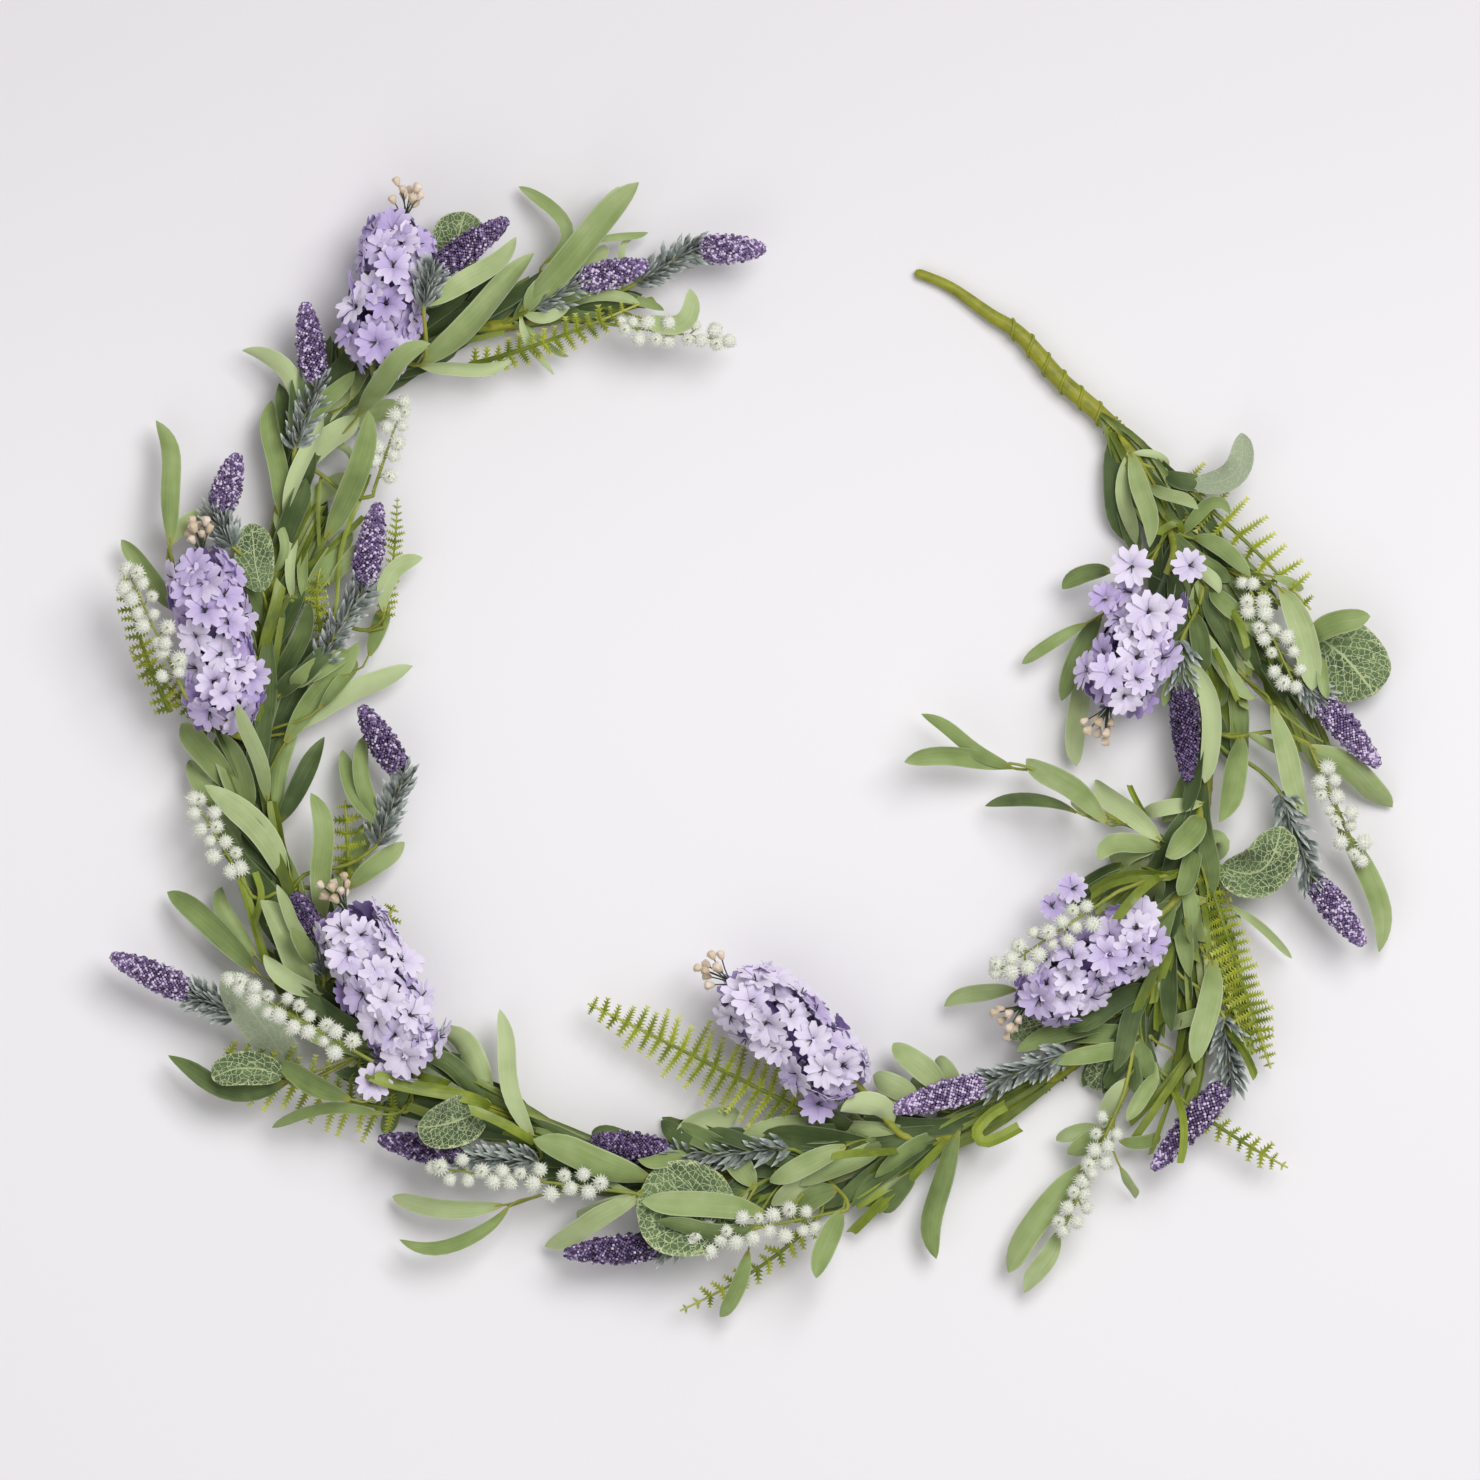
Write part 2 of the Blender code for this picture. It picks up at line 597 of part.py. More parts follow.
class MainStem:
    """The taped main stem: its centre line by the length along it from the tail."""

    def __init__(self):
        self.line = smooth([place(point, 0.0) for point in STEM_ROUTE], 8)
        self.lengths = [0.0]
        for a, b in zip(self.line, self.line[1:]):
            self.lengths.append(self.lengths[-1] + (b - a).length)
        self.length = self.lengths[-1]
        for point, along in zip(self.line, self.lengths):
            point.z = TAIL_HEIGHT + (STEM_HEIGHT - TAIL_HEIGHT) * self.fullness(along)

    @staticmethod
    def fullness(along):
        """From 0 at the bare tail to 1 where the bunches start."""
        share = min(along / TAIL_LENGTH, 1.0)
        return share * share * (3 - 2 * share)

    def at(self, along):
        """The centre at a length along the stem."""
        for k, (a, b) in enumerate(zip(self.lengths, self.lengths[1:])):
            if along <= b:
                return self.line[k].lerp(self.line[k + 1], (along - a) / (b - a))
        return self.line[-1].copy()

    def nearest(self, point):
        """The length along the stem that is nearest a plan point."""
        target = place(point, 0.0)
        distances = [flat(centre - target).length for centre in self.line]
        return self.lengths[distances.index(min(distances))]

    def shape(self):
        """The stem, thicker at its three resting wraps, which are cut flat at the table."""
        stations = {k * STEM_SPACING: 0.0 for k in range(int(self.length / STEM_SPACING))}
        stations[self.length] = 0.0
        for point in REST_POINTS:
            middle = self.nearest(point)
            far = REST_HALF_LENGTH + REST_TAPER
            stations = {s: r for s, r in stations.items() if abs(s - middle) > far + REST_TAPER}
            for side in (-1, 1):
                stations[middle + side * far] = 0.0
                stations[middle + side * REST_HALF_LENGTH] = REST_RADIUS
        spine = [self.at(along) for along in sorted(stations)]
        radii = [stations[along] or TAIL_RADIUS + (STEM_RADIUS - TAIL_RADIUS) * self.fullness(along)
                 for along in sorted(stations)]
        return tube(spine, radii, STEM_SIDES)


def foot_line(stem, foot):
    """The centre line of a bunch's taped foot, which lies along the top of the main stem."""
    start, end = stem.nearest(foot.start), stem.nearest(foot.end)
    count = max(3, round((end - start) / FOOT_STEP) + 1)
    rise = UP * (STEM_RADIUS + GAP + FOOT_RADIUS)
    return [stem.at(start + (end - start) * k / (count - 1)) + rise for k in range(count)]


def axis_line(item, level, tilt):
    """The base and tip of a bloom or head whose middle is at a level, in mm."""
    return (place(item.base, (level - tilt / 2) * MM), place(item.tip, (level + tilt / 2) * MM))


def ring_round(centre, side, rise, reaches, turn=0.0):
    """Points round a centre, at the given distances in turn."""
    step = math.tau / len(reaches)
    return [centre + (side * math.cos(turn + k * step) + rise * math.sin(turn + k * step)) * reach
            for k, reach in enumerate(reaches)]


def bridge(inner, outer, centre, side, rise):
    """Triangles between two closed rings round a centre, given as lists of (index, point)."""
    def bearing(point):
        return math.atan2((point - centre).dot(rise), (point - centre).dot(side)) % math.tau

    inner = sorted(inner, key=lambda item: bearing(item[1]))
    outer = sorted(outer, key=lambda item: bearing(item[1]))
    steps = sorted([(bearing(point), 0, k) for k, (_, point) in enumerate(inner)]
                   + [(bearing(point), 1, k) for k, (_, point) in enumerate(outer)])
    now = [len(inner) - 1, len(outer) - 1]
    faces = []
    for _, ring, k in steps:
        before = (inner[now[0]][0], outer[now[1]][0])
        now[ring] = k
        faces.append((*before, (inner, outer)[ring][k][0]))
    return faces


class Florets:
    """The skin of a bloom: a core, each face of which is drawn out into a floret."""

    def __init__(self, middle, along, half, margin):
        self.middle = middle
        self.along = along
        self.side = along.cross(UP).normalized()
        self.rise = self.side.cross(along)
        self.half = half
        self.straight = half + BLOOM_PAST_ENDS - BLOOM_RADIUS
        self.margin = margin
        self.points = []
        self.faces = []
        for row, (place_along, radius) in enumerate(CORE_RINGS):
            centre = middle + along * self.straight * place_along
            self.points += ring_round(centre, self.side, self.rise,
                                      [radius * MM] * FLORET_COLUMNS,
                                      row * math.pi / FLORET_COLUMNS)

    def add(self, corners, centre, facing, radius, turn):
        """Draw a face of the core out into a funnel with a dished face of notched petals."""
        side = facing.cross(self.along)
        side = side.normalized() if side.length > 0.1 else self.side
        rise = facing.cross(side)
        reaches = [radius * (FLORET_NOTCH if k % 2 else 1.0) + self.margin
                   for k in range(2 * PETALS)]
        rim = ring_round(centre, side, rise, reaches, turn)
        first = len(self.points)
        self.points += rim + [centre - facing * (FLORET_DISH - self.margin)]
        dish = first + len(rim)
        for k in range(len(rim)):
            self.faces.append((first + k, first + (k + 1) % len(rim), dish))
        self.faces += bridge([(k, self.points[k]) for k in corners],
                             list(enumerate(rim, first)), centre, side, rise)

    def shape(self):
        """The whole skin."""
        for row, (place_along, slope) in enumerate(FLORET_ROWS):
            slope = math.radians(slope)
            spacing = math.tau * BLOOM_RADIUS * math.cos(slope) / FLORET_COLUMNS
            for column in range(FLORET_COLUMNS):
                turn = (2 * column + 1 + row + 0.5) * math.pi / FLORET_COLUMNS
                way = self.side * math.cos(turn) + self.rise * math.sin(turn)
                facing = way * math.cos(slope) + self.along * math.sin(slope)
                centre = (self.middle + self.along * self.straight * place_along
                          + facing * BLOOM_RADIUS)
                after = (column + 1) % FLORET_COLUMNS
                low = row * FLORET_COLUMNS
                high = low + FLORET_COLUMNS
                corners = (low + column, low + after, high + after, high + column)
                self.add(corners, centre, facing, spacing * FLORET_REACH, row * math.pi / PETALS)
        self.add_stalk()
        self.add_buds()
        return outward(self.points, self.faces)

    def extend(self, loop, ring):
        """Join a loop of the skin's points to a new ring of as many, and return the new loop."""
        fresh = [len(self.points) + k for k in range(len(ring))]
        self.points += ring
        for k, corner in enumerate(loop):
            after = (k + 1) % len(loop)
            self.faces += [(corner, loop[after], fresh[after]), (corner, fresh[after], fresh[k])]
        return fresh

    def add_stalk(self):
        """Draw the core's first ring out into the stalk, down to the bloom's base."""
        loop = list(range(FLORET_COLUMNS))
        reaches = [BLOOM_STEM_RADIUS + self.margin] * FLORET_COLUMNS
        start = self.middle + self.along * self.straight * CORE_RINGS[0][0]
        for centre in (start - self.along * MM, self.middle - self.along * self.half):
            loop = self.extend(loop, ring_round(centre, self.side, self.rise, reaches))
        for k in range(2, FLORET_COLUMNS):
            self.faces.append((loop[0], loop[k - 1], loop[k]))

    def add_buds(self):
        """Split the core's last ring in three, and draw each part out into a bud."""
        last = (len(CORE_RINGS) - 1) * FLORET_COLUMNS
        ring = [last + k for k in range(FLORET_COLUMNS)]
        centre = sum((self.points[k] for k in ring), Vector()) / FLORET_COLUMNS
        hub = len(self.points)
        self.points.append(centre + self.along * MM)
        tip = self.middle + self.along * (self.half + BUD_LENGTH)
        for k in range(0, FLORET_COLUMNS, 2):
            corners = [ring[k], ring[k + 1], ring[(k + 2) % FLORET_COLUMNS], hub]
            heel = sum((self.points[corner] for corner in corners), Vector()) / 4
            out = (self.points[ring[k + 1]] - centre).normalized()
            way = self.along * math.cos(BUD_SPREAD) + out * math.sin(BUD_SPREAD)
            reach = (tip - centre).length + self.margin
            bulge = [heel + way * reach * 0.62
                     + (self.points[corner] - heel).normalized() * (BUD_RADIUS + self.margin)
                     for corner in corners]
            loop = self.extend(corners, bulge)
            self.points.append(heel + way * reach)
            self.faces += [(loop[j], loop[(j + 1) % 4], len(self.points) - 1) for j in range(4)]


def outward(points, faces):
    """A shape from loose faces, all turned the same way."""
    mesh = bmesh.new()
    vertices = [mesh.verts.new(point) for point in points]
    for face in faces:
        mesh.faces.new([vertices[k] for k in face])
    bmesh.ops.recalc_face_normals(mesh, faces=mesh.faces)
    mesh.verts.index_update()
    faces = [tuple(vertex.index for vertex in face.verts) for face in mesh.faces]
    mesh.free()
    return Shape(points, faces)


def bloom(item, level, tilt, margin):
    """A hyacinth: florets round a core on a stalk, and buds at its tip."""
    base, tip = axis_line(item, level, tilt)
    return [Florets((base + tip) / 2, (tip - base).normalized(), (tip - base).length / 2,
                    margin).shape()]


def head(item, level, tilt, margin):
    """A lavender head: a tapered spike with grains raised from it."""
    base, tip = axis_line(item, level, tilt)
    frame = frames([base, tip])[0]
    rings = []
    for row, (share, width) in enumerate(HEAD_PROFILE):
        centre = base.lerp(tip, share)
        ring = []
        for k in range(HEAD_SIDES):
            angle = math.tau * (k + 0.5 * (row % 2)) / HEAD_SIDES
            grain = 1 + HEAD_GRAINS * (-1) ** (k + row // 2)
            reach = HEAD_RADIUS * width * grain + margin
            ring.append(centre + (frame[1] * math.cos(angle) + frame[2] * math.sin(angle)) * reach)
        rings.append(ring)
    return [loft(rings + [[tip]])]


def stalk_spine(item, level, tilt):
    """The stalk of a spray of berries, which ends in the middle of its last berry."""
    root = place(item.root, (level - tilt / 2) * MM)
    tip = place(item.tip, (level + tilt / 2) * MM)
    end = tip - (tip - root).normalized() * BERRY_RADIUS
    middle = (root + end) / 2 + UP * STALK_ARCH
    return [bow(root, middle, end, k / STALK_STEPS) for k in range(STALK_STEPS + 1)]


def spray(item, level, tilt, margin):
    """A stalk with berries on both sides of its outer part, and one at its tip."""
    spine = stalk_spine(item, level, tilt)
    along = (spine[-1] - spine[0]).normalized()
    side = along.cross(UP).normalized()
    length = (spine[-1] - spine[0]).length
    shapes = [tube(spine, [STALK_RADIUS + margin] * len(spine), 3)]
    count = min(MOST_BERRIES, round(length * BERRY_STRETCH / BERRY_SPACING) + 2)
    for k in range(count):
        stalk = bow(spine[0], spine[STALK_STEPS // 2], spine[-1], 1 - k / count * BERRY_STRETCH)
        reach = side * BERRY_REACH * (-1) ** k * (0.75 + 0.25 * math.sin(3 * k))
        centre = stalk + reach + UP * (3 * math.sin(2.3 * k) + 2) * MM if k else stalk
        shapes.append(berry(stalk - along * BERRY_HEEL, centre, BERRY_RADIUS + margin))
    return shapes


def berry(heel, centre, radius):
    """A round berry that tapers back to its heel on the stalk."""
    along = (centre - heel).normalized()
    _, side, rise = frames([heel, centre])[0]
    belt = [radius * 0.94] * BERRY_SIDES
    half_turn = math.pi / BERRY_SIDES
    return loft([[heel], ring_round(centre - along * radius * 0.42, side, rise, belt),
                 ring_round(centre + along * radius * 0.42, side, rise, belt, half_turn),
                 [centre + along * radius]])


def frond_line(item, level, tilt):
    """Root, middle and tip of a frond's rib."""
    return (place(item.root, (level - tilt / 2) * MM),
            place(item.middle, (level + RIB_ARCH) * MM),
            place(item.tip, (level + tilt / 2) * MM))


def leaflet_pairs(line):
    """How many pairs of leaflets a frond's rib has room for."""
    return max(FEWEST_LEAFLETS, round((line[2] - line[0]).length / LEAFLET_SPACING))


def frond(item, level, tilt, margin):
    """A fern frond: a rib, each side of each stretch of which is drawn out into a leaflet."""
    line = frond_line(item, level, tilt)
    pairs = leaflet_pairs(line)
    spine = [bow(*line, k / pairs) for k in range(pairs)]
    thick = RIB_RADIUS + margin
    points = []
    faces = []
    for k, (point, side, rise) in enumerate(frames(spine + [line[2]])[:pairs]):
        points += [point + side * x * thick + rise * z * thick
                   for x, z in ((-1, 1), (1, 1), (1, -1), (-1, -1))]
    for k in range(pairs - 1):
        a, b = 4 * k, 4 * k + 4
        faces += [(a, a + 1, b + 1), (a, b + 1, b), (a + 3, a + 2, b + 2), (a + 3, b + 2, b + 3)]
        share = (k + 0.5) / pairs
        along = (spine[k + 1] - spine[k]).normalized()
        side = along.cross(UP).normalized()
        reach = item.reach * SQUARE * math.sin(math.pi * (0.2 + 0.74 * share)) ** 0.8
        for way, (upper, lower) in ((-1, (0, 3)), (1, (1, 2))):
            tip = len(points)
            out = side * way * math.sqrt(1 - LEAFLET_LEAN ** 2) + along * LEAFLET_LEAN
            points.append(spine[k].lerp(spine[k + 1], 0.5) - UP * LEAFLET_DROOP * reach
                          + out * (reach + margin))
            faces += [(a + upper, b + upper, tip), (b + upper, b + lower, tip),
                      (b + lower, a + lower, tip), (a + lower, a + upper, tip)]
    last = 4 * (pairs - 1)
    points.append(line[2])
    faces += [(last + k, last + (k + 1) % 4, len(points) - 1) for k in range(4)]
    faces += [(0, 1, 2), (0, 2, 3)]
    return [outward(points, faces)]


def needled_stem(path, radius, spread, margin):
    """A side stem; the faces of its last stretch but one are drawn out into needles."""
    first = len(path) - 2 - NEEDLE_ROWS
    along = (path[-2] - path[first]).normalized()
    points = []
    faces = [(0, 1, 2)]
    for k, (point, side, rise) in enumerate(frames(path)):
        turn = math.pi / 2 + NEEDLE_TURN * max(0, k - first)
        points += ring_round(point, side, rise, [radius + margin] * 3, turn)
    for row in range(len(path) - 1):
        for k in range(3):
            a, b = 3 * row + k, 3 * row + (k + 1) % 3
            if not first <= row < first + NEEDLE_ROWS:
                faces += [(a, b, b + 3), (a, b + 3, a + 3)]
                continue
            middle = (points[a] + points[b] + points[a + 3] + points[b + 3]) / 4
            out = (middle - path[row].lerp(path[row + 1], 0.5)).normalized()
            tip = len(points)
            length = NEEDLE_LENGTH * (0.8 + 0.2 * ((k + row) % 2)) + margin
            length = min(length, (path[-1] - middle).dot(along) / math.cos(spread))
            points.append(middle + (along * math.cos(spread) + out * math.sin(spread)) * length)
            faces += [(a, b, tip), (b, b + 3, tip), (b + 3, a + 3, tip), (a + 3, a, tip)]
    last = 3 * (len(path) - 1)
    faces += [(last, last + 1, last + 2)]
    return outward(points, faces)


def stem_path(start, heading, way, arch, sway):
    """A side stem's path from its bunch's foot, and along the row of points to what it carries."""
    root = way[0]
    approach = (way[1] - root).normalized()
    reach = (root - start).length / 3
    offset = UP * arch * MM + heading.cross(UP).normalized() * sway * MM
    knees = (start + heading * reach + offset, root - approach * reach + offset)
    return [bezier(start, *knees, root, k / 3) for k in range(4)] + way[1:]


def starts_on_foot(line, root):
    """Where on a foot's line a side stem to a root may start, and its headings there."""
    distances = [flat(point - root).length for point in line]
    first = max(0, distances.index(min(distances)) - 1)
    order = sorted(range(len(line)), key=lambda k: abs(k - first))
    return [(line[k], (line[min(k + 1, len(line) - 1)] - line[max(k - 1, 0)]).normalized())
            for k in order]


def carry(garland, item, line, joint, approach, gap, radius):
    """Lead a side stem from a bunch's foot to a joint, which it meets squarely.

    On a lavender the stem bears needles past the item's root. Returns whether it found a way.
    """
    node = node_name("bunch", item.bunch)
    end = [joint - approach * STRAIGHT_END, joint - approach * gap]
    needled = isinstance(item, Spike)
    ways = [(0, end)]
    if needled:
        ways = []
        for spread in NEEDLE_SPREADS:
            for dip in NEEDLE_DIPS:
                root = place(item.root, joint.z + dip * MM)
                stretch = [root.lerp(end[0], k / NEEDLE_ROWS) for k in range(NEEDLE_ROWS)]
                ways.append((math.radians(spread), stretch + end))

    def build(choice, margin):
        (spread, way), start, sway, arch = choice
        path = stem_path(*start, way, arch, sway)
        if needled:
            return [needled_stem(path, radius, spread, margin)]
        return [tube(path, [radius + margin] * len(path), 3)]

    choices = [(way, start, sway, arch) for way in ways
               for start in starts_on_foot(line, way[1][0])[:3]
               for sway in STEM_SWAYS for arch in STEM_ARCHES]
    choice = garland.settle(node, build, choices)
    if choice is not None:
        (_, way), start, sway, arch = choice
        garland.twigs.append((node, stem_path(*start, way, arch, sway)))
    return choice is not None


def node_name(kind, number):
    """The name of a numbered node."""
    return f"{kind}_{number:02d}"


def nearest_on(path, target):
    """The point of a path that is nearest a target in plan, and its plan distance."""
    best = None
    for a, b in zip(path, path[1:]):
        run = flat(b - a)
        share = flat(target - a).dot(run) / max(run.length_squared, 1e-12)
        point = a.lerp(b, max(0.0, min(1.0, share)))
        distance = flat(point - target).length
        if best is None or distance < best[1]:
            best = (point, distance)
    return best


def anchors(garland, heel, middle, count=5):
    """The best places on the twigs for a blade to grow from, nearest and behind it first."""
    ranked = []
    way = (middle - heel).normalized()
    for node, path in garland.twigs:
        point, distance = nearest_on(path, heel)
        ahead = flat(heel - point).normalized().dot(way) if distance > 1e-6 else 1.0
        ranked.append((distance * (1.5 - 0.5 * ahead), node, point))
    ranked.sort(key=lambda row: row[0])
    return [(node, point) for _, node, point in ranked[:count]]


def blade_path(item, anchor, rise, tip_height, arch, sway, outline):
    """A blade's spine from its anchor, with its petiole first where it needs one."""
    heel = place(item.heel, max(anchor.z + rise * MM, LOWEST_HEEL))
    petiole = [anchor]
    if flat(heel - anchor).length > SHORTEST_PETIOLE:
        petiole.append(heel)
    start = petiole[-1]
    tip = place(item.tip, tip_height * MM)
    across = flat(tip - start).cross(UP).normalized() * sway * MM
    middle = place(item.middle, max((start.z + tip.z) / 2 + arch * MM, LOWEST_HEEL))
    return petiole + [bow(start, middle + across / 2, tip + across, share)
                      for share, _ in outline]


def add_blade(garland, number, item, outline):
    """Grow a blade from the nearest twig where it is clear, by trying its heights and bends."""
    rng = random.Random(number)
    roll = rng.uniform(-LARGEST_ROLL, LARGEST_ROLL)
    heights = TIP_HEIGHTS[item.layer]
    start = rng.randrange(3)
    heights = heights[start:] + heights[:start]
    shares = [share for _, share in outline]

    def build(choice, margin):
        path = blade_path(item, *choice, outline)
        petiole = [PETIOLE_WIDTH] * (len(path) - len(outline))
        if len(petiole) == 1:
            petiole = [0]
        widths = petiole + [share * item.width * SQUARE for share in shares]
        return [blade(path, widths, roll, margin)]

    def outer_part(choice):
        path = blade_path(item, *choice, outline)[-len(outline):]
        return [blade(path, [share * item.width * SQUARE for share in shares], roll, 0.0)]

    best = None
    tried = 0
    for rise in HEEL_RISES:
        for node, anchor in anchors(garland, place(item.heel, 0.0), place(item.middle, 0.0)):
            short = flat(place(item.heel, 0.0) - anchor).length <= SHORTEST_PETIOLE
            if short and rise != HEEL_RISES[0]:
                continue
            for sway in BLADE_SWAYS:
                for arch in BLADE_ARCHES:
                    for height in heights:
                        choice = (anchor, rise, height, arch, sway)
                        if not garland.is_clear(node, build(choice, CLEARANCE)):
                            continue
                        crossings = garland.crossings(node, build(choice, 0.0)[0])
                        if not garland.is_clear(None, outer_part(choice)):
                            crossings += OUTER_CROSSING_COST
                        if best is None or crossings < best[0]:
                            best = (crossings, node, choice)
                        tried += 1
                        if crossings <= 1 or tried > MOST_CROSSINGS_TRIED:
                            garland.stand(best[1], build(best[2], 0.0))
                            return
    if best:
        garland.stand(best[1], build(best[2], 0.0))


def bloom_joint(item, level, tilt):
    """Where a bloom's stem meets it, and the way it arrives."""
    base, tip = axis_line(item, level, tilt)
    return base, (tip - base).normalized()


def stalk_joint(item, level, tilt):
    """Where a side stem meets a berry stalk, and the way it arrives."""
    spine = stalk_spine(item, level, tilt)
    return spine[0], (spine[1] - spine[0]).normalized()


def rib_joint(item, level, tilt):
    """Where a side stem meets a frond's rib, and the way it arrives."""
    line = frond_line(item, level, tilt)
    pairs = leaflet_pairs(line)
    return line[0], (bow(*line, 1 / pairs) - line[0]).normalized()


class Kind(NamedTuple):
    """A kind of piece that a side stem carries, and what it may try."""
    name: str
    items: tuple
    make: object
    joint: object
    levels: tuple
    tilts: tuple
    stem_radius: float
    gap: float = GAP


KINDS = (
    Kind("hyacinth", BLOOMS, bloom, bloom_joint, BLOOM_LEVELS, BLOOM_TILTS, BLOOM_STEM_RADIUS),
    Kind("lavender_head", SPIKES, head, bloom_joint, SPIKE_LEVELS, SPIKE_TILTS,
         SIDE_STEM_RADIUS),
    Kind("berry_spray", SPRAYS, spray, stalk_joint, SPRAY_LEVELS, SPRAY_TILTS,
         SIDE_STEM_RADIUS),
    Kind("fern", FRONDS, frond, rib_joint, FROND_LEVELS, FROND_TILTS, SIDE_STEM_RADIUS),
    Kind("bunch", SMALL_FRONDS, frond, rib_joint, FROND_LEVELS, FROND_TILTS, SIDE_STEM_RADIUS,
         -1 * MM),
)


def set_item(garland, kind, number, item, line):
    """Set a piece at the first height where both it and its side stem are clear."""
    node = node_name(kind.name, item.bunch if kind.name == "bunch" else number)
    for level in kind.levels:
        for tilt in kind.tilts:
            if not garland.is_clear(node, kind.make(item, level, tilt, CLEARANCE)):
                continue
            stood = list(garland.nodes.get(node, []))
            garland.stand(node, kind.make(item, level, tilt, 0.0))
            joint, approach = kind.joint(item, level, tilt)
            if carry(garland, item, line, joint, approach, kind.gap, kind.stem_radius):
                return
            garland.nodes[node] = stood


def set_out(garland, stem):
    """Place everything, in the order that gives the showiest pieces their own height."""
    garland.stand("main_stem", [stem.shape()])
    feet = [foot_line(stem, foot) for foot in FEET]
    for number, line in enumerate(feet, 1):
        radii = [FOOT_RADIUS] * len(line)
        garland.stand(node_name("bunch", number), [tube(line, radii, FOOT_SIDES)])
        garland.twigs.append((node_name("bunch", number), line))
    for kind in KINDS:
        for number, item in enumerate(kind.items, 1):
            set_item(garland, kind, number, item, feet[item.bunch - 1])
        if kind.name == "hyacinth":
            for number, item in enumerate(ROUNDS):
                add_blade(garland, 500 + number, item, ROUND_OUTLINE)
    for layer in (TOP, MIDDLE, LOW):
        for number, item in enumerate(STRAPS):
            if item.layer == layer:
                add_blade(garland, 700 + number, item, STRAP_OUTLINE)
        for number, item in enumerate(LEAVES):
            if item.layer == layer:
                add_blade(garland, number, item, LEAF_OUTLINE)


def make_material(name):
    """A plain material of a named colour."""
    material = bpy.data.materials.new(name)
    material.use_nodes = True
    shader = material.node_tree.nodes["Principled BSDF"]
    shader.inputs["Base Color"].default_value = (*COLOURS[name], 1.0)
    shader.inputs["Roughness"].default_value = ROUGHNESS[name]
    shader.inputs["Metallic"].default_value = 0.0
    return material


def as_object(name, shape):
    """An object that holds one shape."""
    mesh = bpy.data.meshes.new(name)
    mesh.from_pydata([tuple(point) for point in shape.points], [], shape.faces)
    return bpy.data.objects.new(name, mesh)


def keep_outer_skin(mesh):
    """Fill the pockets that fusing sealed, by keeping the largest of the mesh's skins."""
    skin = bmesh.new()
    skin.from_mesh(mesh)
    unseen = set(skin.faces)
    islands = []
    while unseen:
        island = {unseen.pop()}
        edge = list(island)
        while edge:
            near = {other for face in edge for side in face.edges for other in side.link_faces}
            edge = list(near & unseen)
            unseen -= near
            island |= near
        islands.append(island)
    largest = max(islands, key=lambda island: sum(face.calc_area() for face in island))
    spare = [face for island in islands if island is not largest for face in island]
    bmesh.ops.delete(skin, geom=spare, context="FACES")
    skin.to_mesh(mesh)
    skin.free()


def fuse(name, shapes, material):
    """Join a node's shapes in one body."""
    body = as_object(name, shapes[0])
    scene = bpy.context.scene.collection
    scene.objects.link(body)
    if len(shapes) > 1:
        repeats = bpy.data.collections.new(name + "_repeats")
        scene.children.link(repeats)
        for shape in shapes[1:]:
            repeats.objects.link(as_object(name + "_repeat", shape))
        union = body.modifiers.new("join", "BOOLEAN")
        union.operation = "UNION"
        union.operand_type = "COLLECTION"
        union.collection = repeats
        union.solver = "MANIFOLD"
        depsgraph = bpy.context.evaluated_depsgraph_get()
        joined = bpy.data.meshes.new_from_object(body.evaluated_get(depsgraph))
        body.modifiers.clear()
        body.data = joined
        for item in list(repeats.objects):
            bpy.data.objects.remove(item)
        bpy.data.collections.remove(repeats)
        keep_outer_skin(joined)
    body.data.materials.clear()
    body.data.materials.append(material)
    return body


def cut_flat(body):
    """Cut what is below the table off a body, and close the cuts."""
    mesh = bmesh.new()
    mesh.from_mesh(body.data)
    cut = bmesh.ops.bisect_plane(
        mesh, geom=mesh.verts[:] + mesh.edges[:] + mesh.faces[:], dist=1e-7, plane_co=(0, 0, 0),
        plane_no=(0, 0, -1), clear_outer=True)
    edges = [item for item in cut["geom_cut"] if isinstance(item, bmesh.types.BMEdge)]
    bmesh.ops.edgeloop_fill(mesh, edges=edges)
    bmesh.ops.recalc_face_normals(mesh, faces=mesh.faces)
    mesh.to_mesh(body.data)
    mesh.free()


def main():
    """Build the garland."""
    for item in list(bpy.data.objects):
        bpy.data.objects.remove(item)
    garland = Garland()
    set_out(garland, MainStem())
    slots = {"main_stem": "tape", "bunch": "foliage", "hyacinth": "petal",
             "lavender_head": "lavender", "berry_spray": "berry", "fern": "fern"}
    materials = {name: make_material(name) for name in COLOURS}
    for name, shapes in garland.nodes.items():
        kind = name if name in slots else name[:-3]
        body = fuse(name, shapes, materials[slots[kind]])
        if name == "main_stem":
            cut_flat(body)


main()
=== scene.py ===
"""The looks of a hyacinth and lavender garland that lies in an open C on a table.

The frame's solids say where each piece stands. Survey reads the height and the bend of each one off
their corners, and every class below it dresses one kind of piece there: the taped main stem, the
leaves and stems of the bunches, the hyacinths, the lavender, the berry sprays and the ferns.

Plan points are (squares to the right, squares down) on a grid over the garland as seen from above,
where a square is 0.54 mm. Widths in the tables are in squares too.
"""
import logging
import math
import random
from dataclasses import dataclass, field
from enum import Enum
from itertools import product
from typing import Any, Iterable, Iterator, NamedTuple, Sequence, Union

import bmesh
import bpy
import numpy as np
from mathutils import Euler, Matrix, Vector
from mathutils.kdtree import KDTree


